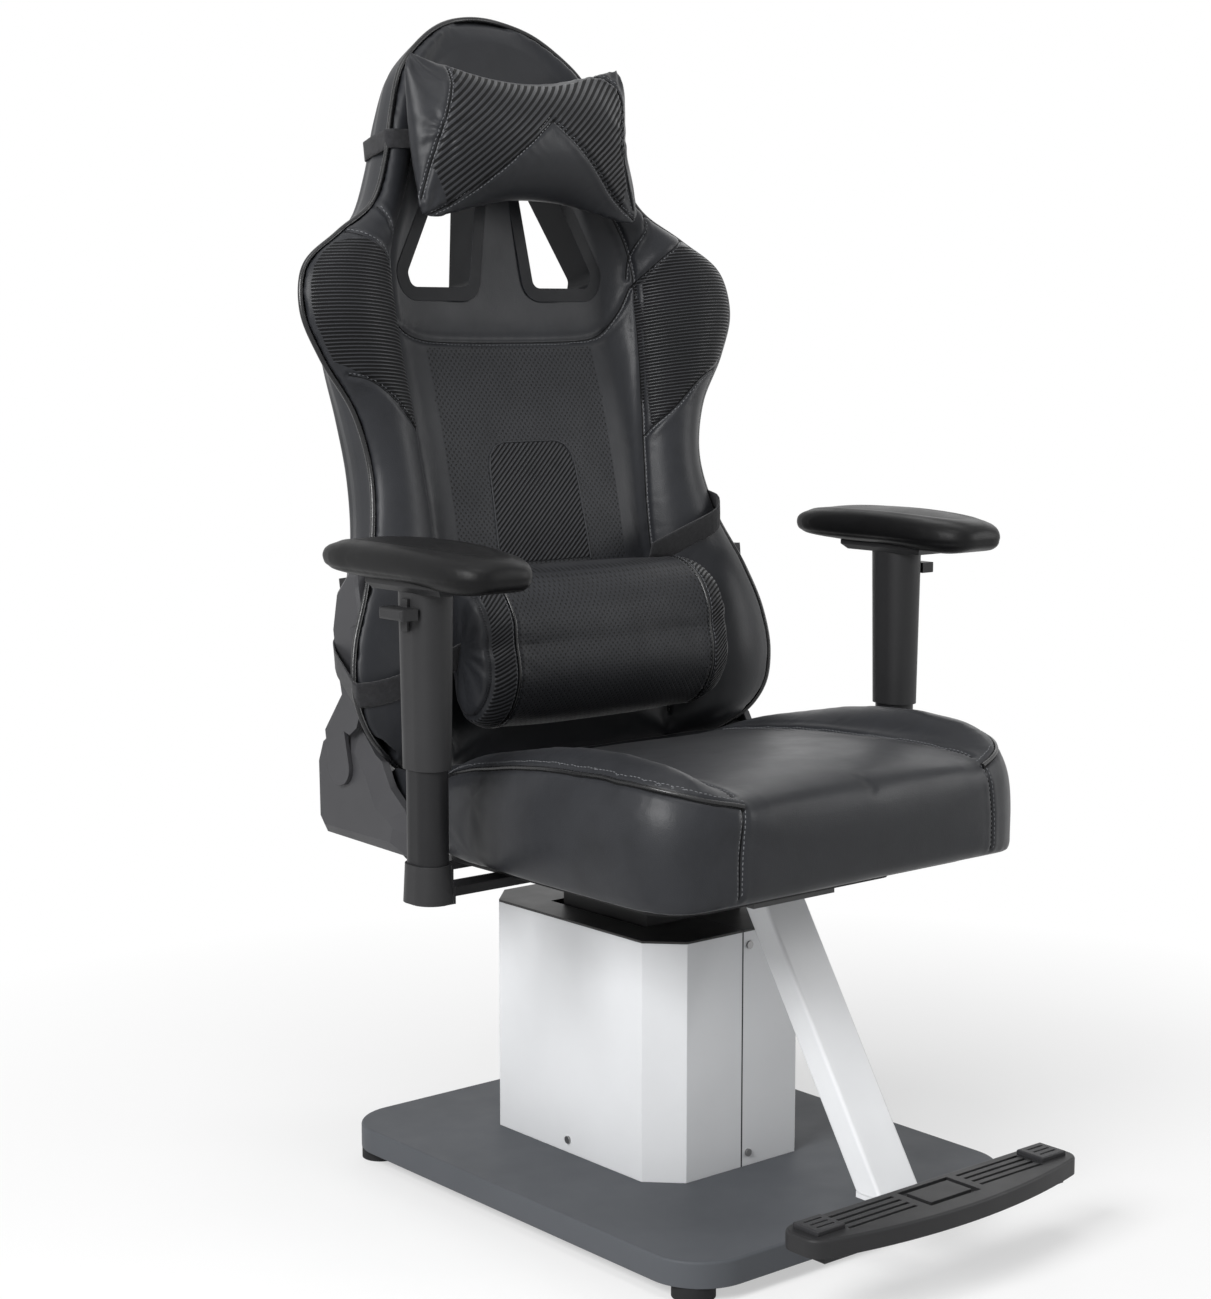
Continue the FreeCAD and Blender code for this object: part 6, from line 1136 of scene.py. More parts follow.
def backrest():
    """The padded front of the backrest, with its seams, ribbed panels, piping and stitching."""
    thing = even_copy("backrest_cushion", VOXEL)
    local = unlean(points_of(thing.data))
    drawn_to(thing, FRONT_FORM, 12 * MM, (local[:, 1] > FRONT_SIDE).astype(float))
    pinned = 1 - ramp(-local[:, 1], 12 * MM, 14 * MM)
    close = Seams(thing.data, backrest_seams(surface_of(thing))).distance
    pinned = np.maximum(pinned, np.clip(1.3 - close / (9 * MM), 0, 1))
    openings = frame["nodes"]["harness_trims"]
    trims = Seams(thing.data, [[v.co for v in openings.data.vertices][::3]], 4 * MM).distance
    pinned = np.maximum(pinned, np.clip(1.4 - trims / (14 * MM), 0, 1))
    pipes = [back_line(PIPE_INDEX, sign, 5 * MM) for sign in (1, -1)]
    edge = Seams(thing.data, pipes).distance
    pinned = np.maximum(pinned, np.clip(1.6 - edge / (15 * MM), 0, 1))
    inflate(thing, pinned, BACK_SWELL)
    refine(thing, "backrest_leather", HIDE, PERFORATED)
    round_head(thing)
    seams = backrest_seams(surface_of(thing))
    sew(thing, pipes, 4.0 * MM, 2.0 * MM, 0.15 * MM, 21 * MM, 12 * MM)
    sew(thing, seams)
    mark_panel(thing)
    finish_piece(thing, "backrest", "backrest_cushion")
    backrest_details(surface_of(thing))


# The head's dome: its lower end and its rise to full swell, the same inwards from the piping, and the swell
DOME_LOW, DOME_RISE = 660 * MM, 80 * MM
DOME_EDGE, DOME_IN = 7 * MM, 22 * MM
DOME_SWELL = 9 * MM


def round_head(thing):
    """Rounds the padding above the shoulders into one smooth dome."""
    points = points_of(thing.data)
    local = unlean(points)
    pipes = [back_line(PIPE_INDEX, sign, 600 * MM) for sign in (1, -1)]
    away = Seams(thing.data, pipes).distance
    inside = ramp(away, DOME_EDGE, DOME_IN)
    upper = ramp(local[:, 2], DOME_LOW, DOME_RISE) * (local[:, 1] < FRONT_SIDE)
    soften(thing, 0.5 * upper * inside, 60)
    points = points_of(thing.data)
    swell = DOME_SWELL * upper * inside**0.5
    set_points(thing.data, points - swell[:, None] * np.array(REARWARD))


# Sewn lines on one half of the backrest's front, mirrored for the other, as (across, up) in mm:
# the wing panel's upper, lower and inner edge, the shoulder line above it, the bow between the wings
# and the ribbed patch in the middle
WING_UPPER = [(174, 519), (184, 533), (202, 551), (224, 565), (244, 574)]
WING_LOWER = [(166, 342), (174, 354), (195, 373), (217, 393), (240, 409), (262, 416)]
SHOULDER = [(172, 530), (174, 562), (183, 582), (192, 602), (213, 613)]
BOW = [(174, 519), (164, 493), (146, 472), (124, 462), (92, 459), (40, 458), (0, 458)]
CENTRE_PATCH = [(-66, 203), (-62, 310), (-59, 326), (-51, 337), (-38, 342)]
CENTRE_PATCH += [(-x, t) for x, t in CENTRE_PATCH[::-1]]
WING_INNER = [(168, 345), (171, 400), (174, 461)]


def wing_outline(sign):
    """The ribbed wing panel, from its inner edge along its upper edge, the piping and its lower edge."""
    pipe = unlean(np.array(back_line(PIPE_INDEX, 1, 424 * MM, 562 * MM)[::-6]))
    outer = [(x - 4.5 * MM, t) for x, _, t in pipe]
    lower = in_metres(WING_LOWER[-2::-1] + WING_INNER)
    return [(sign * x, t) for x, t in in_metres(WING_UPPER[:4]) + outer + lower]


def backrest_seams(surface):
    """The sewn lines on the front of the backrest."""
    seams = []
    bow = [(-x, t) for x, t in BOW] + BOW[-2::-1]
    for sign in (1, -1):
        edge = sampled(back_line(CREASE_INDEX, sign, 15 * MM, 700 * MM), 6 * MM)
        seams.append(dropped(edge, surface, REARWARD))
        for line in (WING_UPPER, WING_LOWER, SHOULDER):
            seams.append(drawn_line([(sign * x, t) for x, t in line], surface, 5 * MM))
    return seams + [drawn_line(bow, surface, 5 * MM)]


# The perforated panel: half its width, and its lower and upper end along the backrest
PANEL_HALF = 121 * MM
PANEL_LOW = 40 * MM
PANEL_TOP = 452 * MM


def mark_panel(thing):
    """The perforated leather of the centre panel, up to the curved seam."""
    local = unlean(np.array([p.center for p in thing.data.polygons]))
    across, up = np.abs(local[:, 0]), local[:, 2]
    inside = (across < PANEL_HALF) & (up > PANEL_LOW) & (up < PANEL_TOP) & (local[:, 1] < FRONT_SIDE)
    thing.data.polygons.foreach_set("material_index", inside.astype(np.int32))


def finish_piece(thing, body, node):
    """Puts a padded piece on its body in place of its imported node."""
    thing.data.shade_smooth()
    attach(thing, body)
    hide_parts(node)


def back_piping(name, index, form, radius):
    """Piping up one side of the backrest, over its top and down the other."""
    around = back_line(index, 1, form=form) + back_line(index, -1, form=form)[-2::-1]
    tube(name, eased(sampled(around, 4 * MM), 3), radius, PIPING, "backrest")


def backrest_details(surface):
    """Ribbed panels, piping and stitching on the backrest's front."""
    lay = laid_ahead(surface)
    patches = [ribbed_patch(in_metres(CENTRE_PATCH), *CENTRE_RIBS, lay)]
    for sign in (1, -1):
        patches.append(ribbed_patch(wing_outline(sign), sign * WING_TURN, *WING_RIBS, lay, 4 * MM))
    joined("backrest_ribbed_panels", patches, RIBBED, "backrest", SHADE_LEATHER)
    back_piping("backrest_piping", PIPE_INDEX, FRONT_FORM, BACK_PIPING)
    back_piping("back_cover_piping", REAR_INDEX - 1, REAR_FORM, COVER_PIPING)
    side_skins()
    seams = backrest_seams(surface)
    rows = [beside(seam, surface, BACK_STITCHING) for seam in seams]
    stitches("backrest_stitching", rows, surface, "backrest")
    # Near-black cords in the seams: painted shade.
    seam_shadows("backrest_seam_shade", seams, surface, "backrest")
    # Near-black cords just inside the piping: painted shade where the cushion meets it.
    inner = []
    for sign in (1, -1):
        side = back_line(PIPE_INDEX, sign, 110 * MM, 700 * MM)
        inner.append(eased(beside(side, surface, sign * 4.6 * MM), 30))
    seam_shadows("backrest_piping_shade", inner, surface, "backrest", PIPING_SHADE)
    edge = dropped(sampled(back_front(CENTRE_PATCH), 4 * MM), surface, REARWARD, lift=0.3 * MM)
    tube("centre_panel_edge", edge, 1.0 * MM, RIBBED, "backrest")


# Seams of the rear cover in mm: how far from the middle the upright ones are, and the level one's height
COVER_SEAM = 118
COVER_SEAM_TOP = 470


def shell():
    """The padded rear cover of the backrest."""
    thing = even_copy("back_shell", VOXEL)
    local = unlean(points_of(thing.data))
    drawn_to(thing, REAR_FORM, 9 * MM, (local[:, 1] < -1 * MM).astype(float))
    refine(thing, "back_cover_leather", HIDE)
    surface = surface_of(thing)
    lines = []
    for x in (-COVER_SEAM, COVER_SEAM):
        line = [lean(x * MM, 0.3, t * MM) for t in range(30, COVER_SEAM_TOP, 12)]
        lines.append(dropped(line, surface, -REARWARD))
    cross = [lean(x * MM, 0.3, COVER_SEAM_TOP * MM) for x in range(-200, 201, 12)]
    lines.append(dropped(cross, surface, -REARWARD))
    sew(thing, lines, depth=1.6 * MM)
    finish_piece(thing, "backrest", "back_shell")
    surface = surface_of(thing)
    rows = [beside(line, surface, COVER_STITCHING) for line in lines]
    stitches("back_cover_stitching", rows, surface, "backrest")


# Head pillow

# The pillow's middle plane on the backrest, half its width, and its tips' place across and up
PILLOW_PLANE = -84.5 * MM
PILLOW_HALF = 156 * MM
TIP_ACROSS = 150 * MM
TIP_HEIGHTS = (770 * MM, 583 * MM)

# Head pillow seams as (across, up) in mm: its end panels and the smooth triangle low in the middle
PILLOW_RIGHT = [(-106, 748), (-109, 736), (-114, 723), (-126, 695), (-136, 670), (-146, 639)]
PILLOW_RIGHT += [(-154, 605)]
PILLOW_LEFT = [(103, 756), (120, 752), (132, 744), (136, 727), (128, 703), (118, 676), (116, 657)]
PILLOW_LEFT += [(126, 634), (146, 600)]
TRIANGLE = [(-150, 586), (-125, 597), (-98, 612), (-70, 632), (-38, 658), (0, 689)]
TRIANGLE_FAR = [(0, 689), (30, 666), (64, 640), (95, 618), (124, 602), (148, 590)]


def head_pillow():
    """The stuffed head pillow, drawn out at its four tips."""
    thing = even_copy("head_pillow", PILLOW_VOXEL, 6)
    local = unlean(points_of(thing.data))
    rim = np.abs(local[:, 1] - PILLOW_PLANE)
    across = np.abs(local[:, 0]) / PILLOW_HALF
    pinned = np.clip(0.5 - rim / (16 * MM), 0, 0.5) + np.clip((across - 0.9) * 8, 0, 0.5)
    inflate(thing, pinned, HEAD_SWELL, PILLOW_PRESSURE)
    refine(thing, "head_pillow_leather", HIDE)
    sew(thing, pillow_seams(surface_of(thing)), 2.4 * MM, 2.2 * MM, 0.45 * MM, 19 * MM, 16 * MM)
    for sign in (1, -1):
        for t, phase in zip(TIP_HEIGHTS, (0.4, 1.7)):
            tip = lean(sign * TIP_ACROSS, -84 * MM, t)
            crease(thing, tip, REARWARD, 48 * MM, 1.1 * MM, 11, phase, 8 * MM)
        seam = lean(sign * 128 * MM, -120 * MM, 676 * MM)
        crease(thing, seam, REARWARD, 36 * MM, 1.0 * MM, 7, 0.6, 4 * MM)
    draw_in(thing)
    finish_piece(thing, "backrest", "head_pillow")
    surface = surface_of(thing)
    lines = pillow_seams(surface)
    both = (HEAD_STITCHING, -HEAD_STITCHING)
    rows = [beside(line, surface, offset) for line in lines for offset in both]
    stitches("head_pillow_stitching", rows, surface, "backrest")
    # Near-black cords in the pillow's seams: painted shade.
    seam_shadows("head_pillow_seam_shade", lines, surface, "backrest")
    top = [(0, 737), (35, 739), (70, 746), (100, 755)]
    near = [(8, 737), (0, 737)] + [(-x, t) for x, t in top[1:]] + PILLOW_RIGHT[1:-1] + TRIANGLE[1:]
    far = [(-8, 737)] + top + PILLOW_LEFT[1:-1] + TRIANGLE_FAR[-2::-1]
    patches = []
    for half in (near + [(8, 683)], far + [(-8, 683)]):
        outline = in_metres([(x, t - 3) for x, t in half])
        patches.append(ribbed_patch(outline, *PILLOW_RIBS, laid_ahead(surface)))
    joined("head_pillow_ribbed_panel", patches, RIBBED, "backrest", SHADE_LEATHER)


# The pillow's left end: where it narrows from, over what length, at what height and by how much
NARROW_FROM, NARROW_LONG = 90 * MM, 66 * MM
NARROW_HEIGHT, NARROW_HIGH = 672 * MM, 48 * MM
NARROWED = 13 * MM


def draw_in(thing):
    """Narrows the pillow's left end at mid height, where its cover pulls it in."""
    points = points_of(thing.data)
    local = unlean(points)
    side = ramp(local[:, 0], NARROW_FROM, NARROW_LONG)
    level = np.exp(-(((local[:, 2] - NARROW_HEIGHT) / NARROW_HIGH) ** 2))
    points[:, 0] -= NARROWED * side * level
    set_points(thing.data, points)


def pillow_seams(surface):
    lines = (PILLOW_RIGHT, PILLOW_LEFT, TRIANGLE, TRIANGLE_FAR)
    return [drawn_line(line, surface, 4 * MM) for line in lines]


# Lumbar pillow

# The pillow's own axis on the backrest (to the rear, up), the radius that turns arc into angle, and
# how far from the middle its two ring seams and its ends lie
LUMBAR_AXIS = (-104 * MM, 110 * MM)
LUMBAR_RADIUS = 72 * MM
LUMBAR_PIPED = 140 * MM
LUMBAR_BEADED = 171 * MM
LUMBAR_END = 178 * MM

# Each ring seam's points: degrees from one to the next, and how many on each side of straight ahead
RING_STEP = 2.5
RING_SIDE = 48


def lumbar_pillow():
    """The bolster-shaped lumbar pillow: perforated middle, piped seams, ribbed ends."""
    thing = even_copy("lumbar_pillow", PILLOW_VOXEL, 6)
    local = unlean(points_of(thing.data))
    across = np.abs(local[:, 0])
    pinned = np.clip(0.9 - np.abs(across - 138 * MM) / (9 * MM), 0, 1)
    pinned = np.maximum(pinned, ramp(local[:, 1], -70 * MM, 20 * MM))
    inflate(thing, pinned, LUMBAR_SWELL, PILLOW_PRESSURE)
    refine(thing, "lumbar_pillow_leather", HIDE, PERFORATED)
    sew(thing, lumbar_seams(surface_of(thing)), 2.4 * MM, 1.9 * MM, 0.35 * MM, 18 * MM, 14 * MM)
    for sign in (1, -1):
        end = lean(sign * LUMBAR_END, *LUMBAR_AXIS)
        crease(thing, end, (1, 0, 0), 60 * MM, 1.1 * MM, 11, 0.8, 12 * MM)
    local = unlean(np.array([p.center for p in thing.data.polygons]))
    index = (np.abs(local[:, 0]) < LUMBAR_PIPED - 3 * MM).astype(np.int32)
    thing.data.polygons.foreach_set("material_index", index)
    finish_piece(thing, "backrest", "lumbar_pillow")
    surface = surface_of(thing)
    lines = lumbar_seams(surface)
    for k, line in enumerate(lines[:2]):
        cord = eased(nearest_laid(line, surface, 1.5 * MM))
        tube(f"lumbar_piping_{k + 1}", cord, LUMBAR_PIPING, PIPING, "backrest")
    both = (LUMBAR_STITCHING, -LUMBAR_STITCHING)
    rows = [beside(line, surface, offset) for offset in both for line in lines[:2]]
    stitches("lumbar_stitching", rows, surface, "backrest")
    beads("lumbar_beading", lines[2:], surface)
    inner, outer = LUMBAR_PIPED + 3 * MM, LUMBAR_BEADED - 2 * MM
    reach = 1.9 * LUMBAR_RADIUS
    patches = []
    for sign in (1, -1):
        near, far = sign * inner, sign * outer
        strip = [(near, -reach), (far, -reach), (far, reach), (near, reach)]
        patches.append(ribbed_patch(strip, *LUMBAR_RIBS, laid_round(surface), 2.5 * MM))
    joined("lumbar_ribbed_ends", patches, RIBBED, "backrest", SHADE_LEATHER)


def round_lumbar(surface, x, angle):
    """Where a ray towards the pillow's axis meets it; angle 0 is straight ahead."""
    axis = lean(x, *LUMBAR_AXIS)
    away = lean(x, LUMBAR_AXIS[0] - 0.2 * math.cos(angle), LUMBAR_AXIS[1] + 0.2 * math.sin(angle))
    hit, normal, _, _ = surface.ray_cast(away, (axis - away).normalized(), 0.25)
    return hit, normal


def laid_round(surface):
    """Lays a flat place (across, arc) round the pillow."""
    return lambda x, along: round_lumbar(surface, x, along / LUMBAR_RADIUS)


def lumbar_seams(surface):
    """Ring seams near both ends: the piped ones first, then the beaded ones."""
    seams = []
    for x in (LUMBAR_PIPED, -LUMBAR_PIPED, LUMBAR_BEADED, -LUMBAR_BEADED):
        angles = [math.radians(RING_STEP * k) for k in range(-RING_SIDE, RING_SIDE + 1)]
        ring = [round_lumbar(surface, x, angle)[0] for angle in angles]
        seams.append([hit for hit in ring if hit is not None])
    return seams


def beads(name, lines, surface):
    """Close coarse stitches drawn over a seam, each a short raised loop across it."""
    made = []
    for line in lines:
        even = sampled(line, 1.0 * MM)
        for k in range(3, len(even) - 3, 3):
            along = (even[k + 2] - even[k - 2]).normalized()
            hit, normal, _, _ = surface.find_nearest(even[k])
            side = along.cross(normal).normalized() * (1.8 * MM)
            made.append(one_stitch(hit - side + along * MM, hit + side - along * MM, normal, 0.55 * MM))
    joined(name, made, HIDE, "backrest")


# Seat


def seat():
    """The seat cushion: flat panel between bolsters, piped sides and sewn corners."""
    thing = even_copy("seat_cushion", VOXEL)
    points = points_of(thing.data)
    low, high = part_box("seat_cushion")
    pinned = np.clip(1.2 - (points[:, 2] - low.z) / (22 * MM), 0, 1)
    pinned = np.maximum(pinned, ramp(points[:, 1], 128 * MM, 25 * MM))
    close = Seams(thing.data, seat_seams(surface_of(thing))).distance
    pinned = np.maximum(pinned, np.clip(1.1 - close / (10 * MM), 0, 1))
    band = (np.abs(points[:, 0]) > 150 * MM) & (points[:, 2] > 458 * MM)
    inflate(thing, np.maximum(pinned, 0.75 * band), SEAT_SWELL)
    refine(thing, "seat_leather", HIDE)
    smooth_seat(thing)
    dish_seat(thing)
    sew(thing, seat_seams(surface_of(thing)), 2.6 * MM, 2.0 * MM, 0.25 * MM, 26 * MM, 18 * MM)
    for sign in (1, -1):
        low_fold = (sign * 258 * MM, 60 * MM, 392 * MM)
        high_fold = (sign * 262 * MM, 50 * MM, 452 * MM)
        crease(thing, low_fold, (1, 0, 0), 60 * MM, 0.45 * MM, 8, 0.5, 10 * MM)
        crease(thing, high_fold, (1, 0, 0), 40 * MM, 0.45 * MM, 5, 1.5, 6 * MM)
    finish_piece(thing, "carriage", "seat_cushion")
    surface = surface_of(thing)
    lines = seat_seams(surface)
    for k, line in enumerate(lines[:2]):
        cord = eased(nearest_laid(line, surface, 1.8 * MM))
        tube(f"seat_piping_{k + 1}", cord, SEAT_PIPE, PIPING, "carriage")
    left, right = lines[:2]
    rows = [beside(left, surface, SEAT_PIPE_STITCHING), beside(right, surface, -SEAT_PIPE_STITCHING)]
    rows += [beside(line, surface, SEAT_STITCHING * side) for line in lines[2:] for side in (1, -1)]
    stitches("seat_stitching", rows, surface, "carriage")
    # Near-black cords in the seat's seams: painted shade.
    seam_shadows("seat_seam_shade", lines[2:], surface, "carriage")
    # Near-black cords beside the piping: painted shade where the cushion meets it.
    under = [beside(left, surface, -3.2 * MM), beside(right, surface, 3.2 * MM)]
    under = [eased(line, 20) for line in under]
    seam_shadows("seat_piping_shade", under, surface, "carriage", PIPING_SHADE)
    rear_roll()
    side_flaps()


# The flaps inside the recliners: inner and outer face from the middle, and outline as (rear, up) in mm
FLAP_FACES = (247.2 * MM, 249.4 * MM)
FLAP_OUTLINE = [(160, 412), (203, 412), (205, 442), (234, 442), (244, 447), (238, 453)]
FLAP_OUTLINE += [(207, 459), (196, 466), (178, 466), (160, 455)]


def side_flaps():
    """Leather flaps that close the gap between seat and backrest at the recliners."""
    meshes = []
    count = len(FLAP_OUTLINE)
    for sign in (1, -1):
        points = [Vector((sign * x, y * MM, z * MM)) for x in FLAP_FACES for y, z in FLAP_OUTLINE]
        faces = [list(range(count))[::-sign], [count + k for k in range(count)][::sign]]
        for k in range(count):
            n = (k + 1) % count
            faces.append([k, n, count + n, count + k][::sign])
        meshes.append((points, faces))
    flaps = joined("seat_side_flaps", meshes, HIDE, "carriage")
    flaps.data.set_sharp_from_angle(angle=math.radians(30))


# The roll behind the seat: half its length, its place (rear, up) and radii, and its ends' rounding,
# then its number of rings and the points in each
ROLL_HALF = 247 * MM
ROLL_PLACE = (184 * MM, 440 * MM)
ROLL_RADII = (19 * MM, 23 * MM)
ROLL_END = 16 * MM
ROLL_RINGS = 120
ROLL_ROUND = 40


def rear_roll():
    """The stuffed roll sewn to the seat's rear edge, which closes the gap below the backrest."""
    rings, around = ROLL_RINGS, ROLL_ROUND
    points = []
    for r in range(rings + 1):
        x = ROLL_HALF * (2 * r / rings - 1)
        inset = max(0.0, (abs(x) - ROLL_HALF + ROLL_END) / ROLL_END)
        share = math.sqrt(max(0.02, 1 - inset**2))
        for k in range(around):
            a = math.tau * k / around
            y = ROLL_PLACE[0] + ROLL_RADII[0] * share * math.cos(a)
            points.append(Vector((x, y, ROLL_PLACE[1] + ROLL_RADII[1] * share * math.sin(a))))
    faces = grid_faces(rings + 1, around, ring=True)
    faces.append(list(range(around))[::-1])
    faces.append([rings * around + k for k in range(around)])
    roll = joined("seat_rear_roll", [(points, faces)], HIDE, "carriage")
    ruffle(roll, 1.2 * MM, 26 * MM, (0.4, 1, 1))


# Seat lines as places in mm: the piping over the side (across, rear, up), then the panel's seam
# (across, rear) and the corner seam down the front (across, up)
SEAT_PIPING = [(222, 160, 452), (230, 134, 464), (235, 105, 473), (238, 70, 482), (243, -14, 496)]
SEAT_PIPING += [(246, -90, 503), (245, -159, 505), (237, -215, 502), (209, -249, 494), (171, -266, 486)]
SEAT_PANEL = [(150, 150), (155, 83), (160, 6), (164, -127), (166, -211), (170, -248)]
SEAT_CORNER = [(171, 484), (175, 464), (179, 436), (179, 410), (179, 396)]


def seat_seams(surface):
    """Piping lines along both sides, then the lines of the panel and the front corners."""
    seams = []
    for sign in (1, -1):
        line = [Vector((sign * x * MM, y * MM, z * MM)) for x, y, z in SEAT_PIPING]
        seams.append(nearest_laid(sampled(curved(line), 5 * MM), surface))
    for sign in (1, -1):
        line = [Vector((sign * x * MM, y * MM, 0.5)) for x, y in SEAT_PANEL]
        seams.append(dropped(sampled(curved(line), 5 * MM), surface, (0, 0, -1)))
        corner = [Vector((sign * x * MM, -0.5, z * MM)) for x, z in SEAT_CORNER]
        seams.append(dropped(sampled(curved(corner), 5 * MM), surface, (0, 1, 0), reach=0.8))
    return seams


def smooth_seat(thing):
    """Evens out the side bolsters' tops, then the sides near the front corners."""
    points = points_of(thing.data)
    across = np.abs(points[:, 0])
    band = ramp(across, 140 * MM, 20 * MM) * ramp(points[:, 2], 462 * MM, 16 * MM)
    soften(thing, 0.5 * band, 90)
    corner = ramp(-points[:, 1], 60 * MM, 80 * MM) * ramp(points[:, 2], 395 * MM, 12 * MM)
    corner *= ramp(across, 205 * MM, 20 * MM)
    soften(thing, 0.5 * corner, 160)


def dish_seat(thing):
    """Sinks the seat's panel a little towards the rear, where it carries the weight."""
    points = points_of(thing.data)
    across = np.clip(1 - (np.abs(points[:, 0]) / (175 * MM)) ** 4, 0, 1)
    rear = ramp(points[:, 1], -200 * MM, 240 * MM)
    top = ramp(points[:, 2], 440 * MM, 30 * MM)
    points[:, 2] -= 7 * MM * across * rear * rear * (3 - 2 * rear) * top
    set_points(thing.data, points)


# Arm rests and straps


# The mould's parting line: its height over the rest's underside, and its number of points
PARTING_HEIGHT = 13 * MM
PARTING_POINTS = 120


def arm_pads():
    """The moulded soft rests, with the parting line of their mould."""
    for side in ("left", "right"):
        thing = even_copy(f"arm_pad_{side}", REST_VOXEL, 5)
        refine(thing, f"arm_rest_{side}", ARM_PAD)
        low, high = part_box(f"arm_pad_{side}")
        middle = (low + high) / 2
        surface = surface_of(thing)
        line = []
        for k in range(PARTING_POINTS + 1):
            angle = math.tau * k / PARTING_POINTS
            x, y = middle.x + 0.2 * math.sin(angle), middle.y + 0.3 * math.cos(angle)
            point = Vector((x, y, low.z + PARTING_HEIGHT))
            aim = Vector((middle.x, middle.y, point.z)) - point
            hit, _, _, _ = surface.ray_cast(point, aim.normalized(), 0.5)
            if hit is not None:
                line.append(hit)
        sew(thing, [line], 1.6 * MM, 0.5 * MM, 0.0)
        dish_rest(thing, middle, (high - low) / 2)
        finish_piece(thing, f"arm_{side}", f"arm_pad_{side}")


# The dish in the rest's top: its reach as shares of the half width and length, its depth, and its rim
DISH_WIDE = 0.66
DISH_LONG = 0.88
DISH_SQUARENESS = 2.4
DISH_DEPTH = 1.6 * MM
RIM_HEIGHT = 0.5 * MM


def dish_rest(thing, middle, half):
    """Sinks the rest's top a little inside a soft raised rim."""
    points = points_of(thing.data)
    x = (points[:, 0] - middle.x) / (DISH_WIDE * half.x)
    y = (points[:, 1] - middle.y) / (DISH_LONG * half.y)
    reach = (np.abs(x) ** DISH_SQUARENESS + np.abs(y) ** DISH_SQUARENESS) ** (1 / DISH_SQUARENESS)
    top = ramp(points[:, 2], middle.z, 8 * MM)
    dish = np.clip((1 - reach) / 0.16, 0, 1)
    rim = np.exp(-(((reach - 1.06) / 0.07) ** 2))
    points[:, 2] += top * (RIM_HEIGHT * rim - DISH_DEPTH * dish * dish * (3 - 2 * dish))
    set_points(thing.data, points)


# A strap's longest edge, and the most rounds of cutting longer ones
STRAP_EDGE = 7 * MM
STRAP_ROUNDS = 5


def strap(node, name):
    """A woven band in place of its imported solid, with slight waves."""
    source = packed(node)
    for _ in range(STRAP_ROUNDS):
        long = [edge for edge in source.edges if edge.calc_length() > STRAP_EDGE]
        if not long:
            break
        bmesh.ops.subdivide_edges(source, edges=long, cuts=1, use_grid_fill=True)
    bmesh.ops.triangulate(source, faces=source.faces)
    mesh = written(source, name)
    mesh.materials.clear()
    thing = place(name, mesh, FINISHES["strap_fabric"], "backrest")
    ruffle(thing, 0.5 * MM, 30 * MM)
    mesh.set_sharp_from_angle(angle=math.radians(40))
    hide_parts(node)


# Floor, light and camera

# Half the floor's width in metres, and how strong the even light from all round is
FLOOR_REACH = 30.0
WORLD_LIGHT = 0.26


def floor():
    """A wide pale floor that keeps the shadow; to the camera its far part is plain white."""
    mesh = bpy.data.meshes.new("floor")
    far = FLOOR_REACH
    mesh.from_pydata([(-far, -far, 0), (far, -far, 0), (far, far, 0), (-far, far, 0)], [], [(0, 1, 2, 3)])
    thing = bpy.data.objects.new("floor", mesh)
    bpy.context.scene.collection.objects.link(thing)
    finish = Finish("floor", (0.86, 0.86, 0.86), 0.7)
    finish.tint(0.985, finish.clouds(3.0, 4.0, 0.4, 0.7))
    material = finish.done()
    away = finish.add("ShaderNodeVectorMath", operation="LENGTH")
    finish.link(finish.coordinates, away.inputs[0])
    distant = finish.spread(away.outputs["Value"], 0.45, 1.3, 0.50, 1.0)
    ray = finish.add("ShaderNodeLightPath")
    seen = finish.maths("MAXIMUM", ray.outputs["Is Camera Ray"], ray.outputs["Is Glossy Ray"])
    seen = finish.maths("MAXIMUM", seen, ray.outputs["Is Transmission Ray"])
    white = finish.add("ShaderNodeEmission")
    choice = finish.add("ShaderNodeMixShader")
    finish.link(finish.maths("MULTIPLY", distant, seen), choice.inputs["Fac"])
    finish.link(finish.shader.outputs[0], choice.inputs[1])
    finish.link(white.outputs[0], choice.inputs[2])
    finish.link(choice.outputs[0], finish.tree.nodes["Material Output"].inputs["Surface"])
    mesh.materials.append(material)


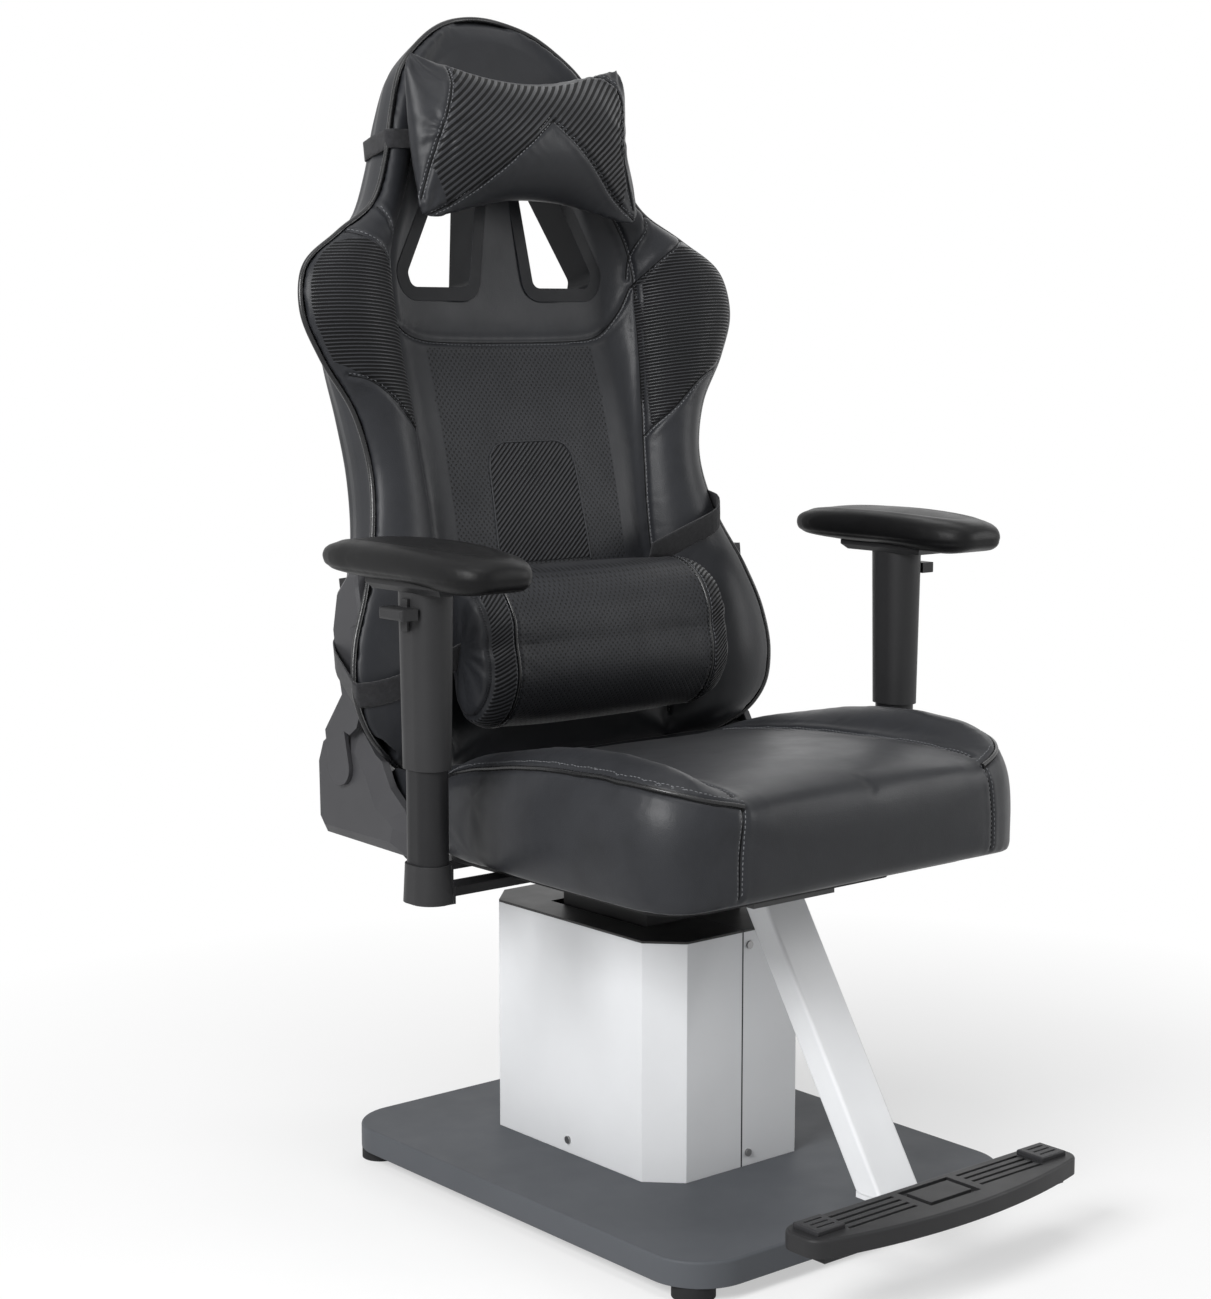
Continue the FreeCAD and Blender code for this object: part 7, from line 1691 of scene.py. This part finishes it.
def backdrop():
    """White behind the object for the camera, reflections and glass; an even dim light elsewhere."""
    world = bpy.data.worlds.new("backdrop")
    bpy.context.scene.world = world
    world.use_nodes = True
    nodes, links = world.node_tree.nodes, world.node_tree.links
    nodes.clear()
    path = nodes.new("ShaderNodeLightPath")
    shown = path.outputs["Is Camera Ray"]
    for ray in ("Is Transmission Ray", "Is Glossy Ray"):
        either = nodes.new("ShaderNodeMath")
        either.operation = "MAXIMUM"
        links.new(shown, either.inputs[0])
        links.new(path.outputs[ray], either.inputs[1])
        shown = either.outputs[0]
    choice = nodes.new("ShaderNodeMixShader")
    links.new(shown, choice.inputs["Fac"])
    for k, strength in enumerate((WORLD_LIGHT, 1.0)):
        even = nodes.new("ShaderNodeBackground")
        even.inputs["Color"].default_value = (1, 1, 1, 1)
        even.inputs["Strength"].default_value = strength
        links.new(even.outputs[0], choice.inputs[k + 1])
    links.new(choice.outputs[0], nodes.new("ShaderNodeOutputWorld").inputs["Surface"])


# Lamps: name, place, watts and the length and width of the soft box
LAMPS = [
    ("key", (-3.2, -0.75, 2.4), 150, 1.7, 1.5),
    ("fill", (2.7, -2.1, 1.5), 33, 1.0, 1.6),
    ("rim", (2.2, 1.6, 2.2), 8, 2.0, 1.6),
    ("top", (-0.6, -0.6, 3.4), 24, 1.4, 1.4),
]

# Where the lamps aim
LAMP_AIM = (0, 0.05, 0.6)


def lamps():
    """Large soft boxes round the object, all aimed at its middle."""
    for name, where, watts, long, wide in LAMPS:
        light = bpy.data.lights.new(name, "AREA")
        light.shape = "RECTANGLE"
        light.size, light.size_y = long, wide
        light.energy = watts
        thing = bpy.data.objects.new(name, light)
        thing.location = where
        thing.rotation_mode = "QUATERNION"
        thing.rotation_quaternion = (Vector(LAMP_AIM) - Vector(where)).to_track_quat("-Z", "Y")
        bpy.context.scene.collection.objects.link(thing)


def camera():
    """The photograph's view."""
    lens = bpy.data.cameras.new("camera")
    lens.sensor_width = SENSOR
    lens.lens = FOCAL_PIXELS * SENSOR / FRAME_HIGH_PIXELS
    lens.clip_start, lens.clip_end = 0.05, 100
    thing = bpy.data.objects.new("camera", lens)
    thing.location = EYE
    a, e = math.radians(HEADING), math.radians(PITCH)
    ahead = Vector((-math.sin(a) * math.cos(e), math.cos(a) * math.cos(e), -math.sin(e)))
    thing.rotation_mode = "QUATERNION"
    thing.rotation_quaternion = ahead.to_track_quat("-Z", "Y")
    bpy.context.scene.collection.objects.link(thing)
    bpy.context.scene.camera = thing


bpy.context.scene.view_settings.view_transform = "Standard"
camera()
dress_frame()
backrest()
shell()
head_pillow()
lumbar_pillow()
seat()
arm_pads()
strap("head_strap", "head_pillow_strap")
strap("lumbar_strap", "lumbar_pillow_strap")
floor()
backdrop()
lamps()
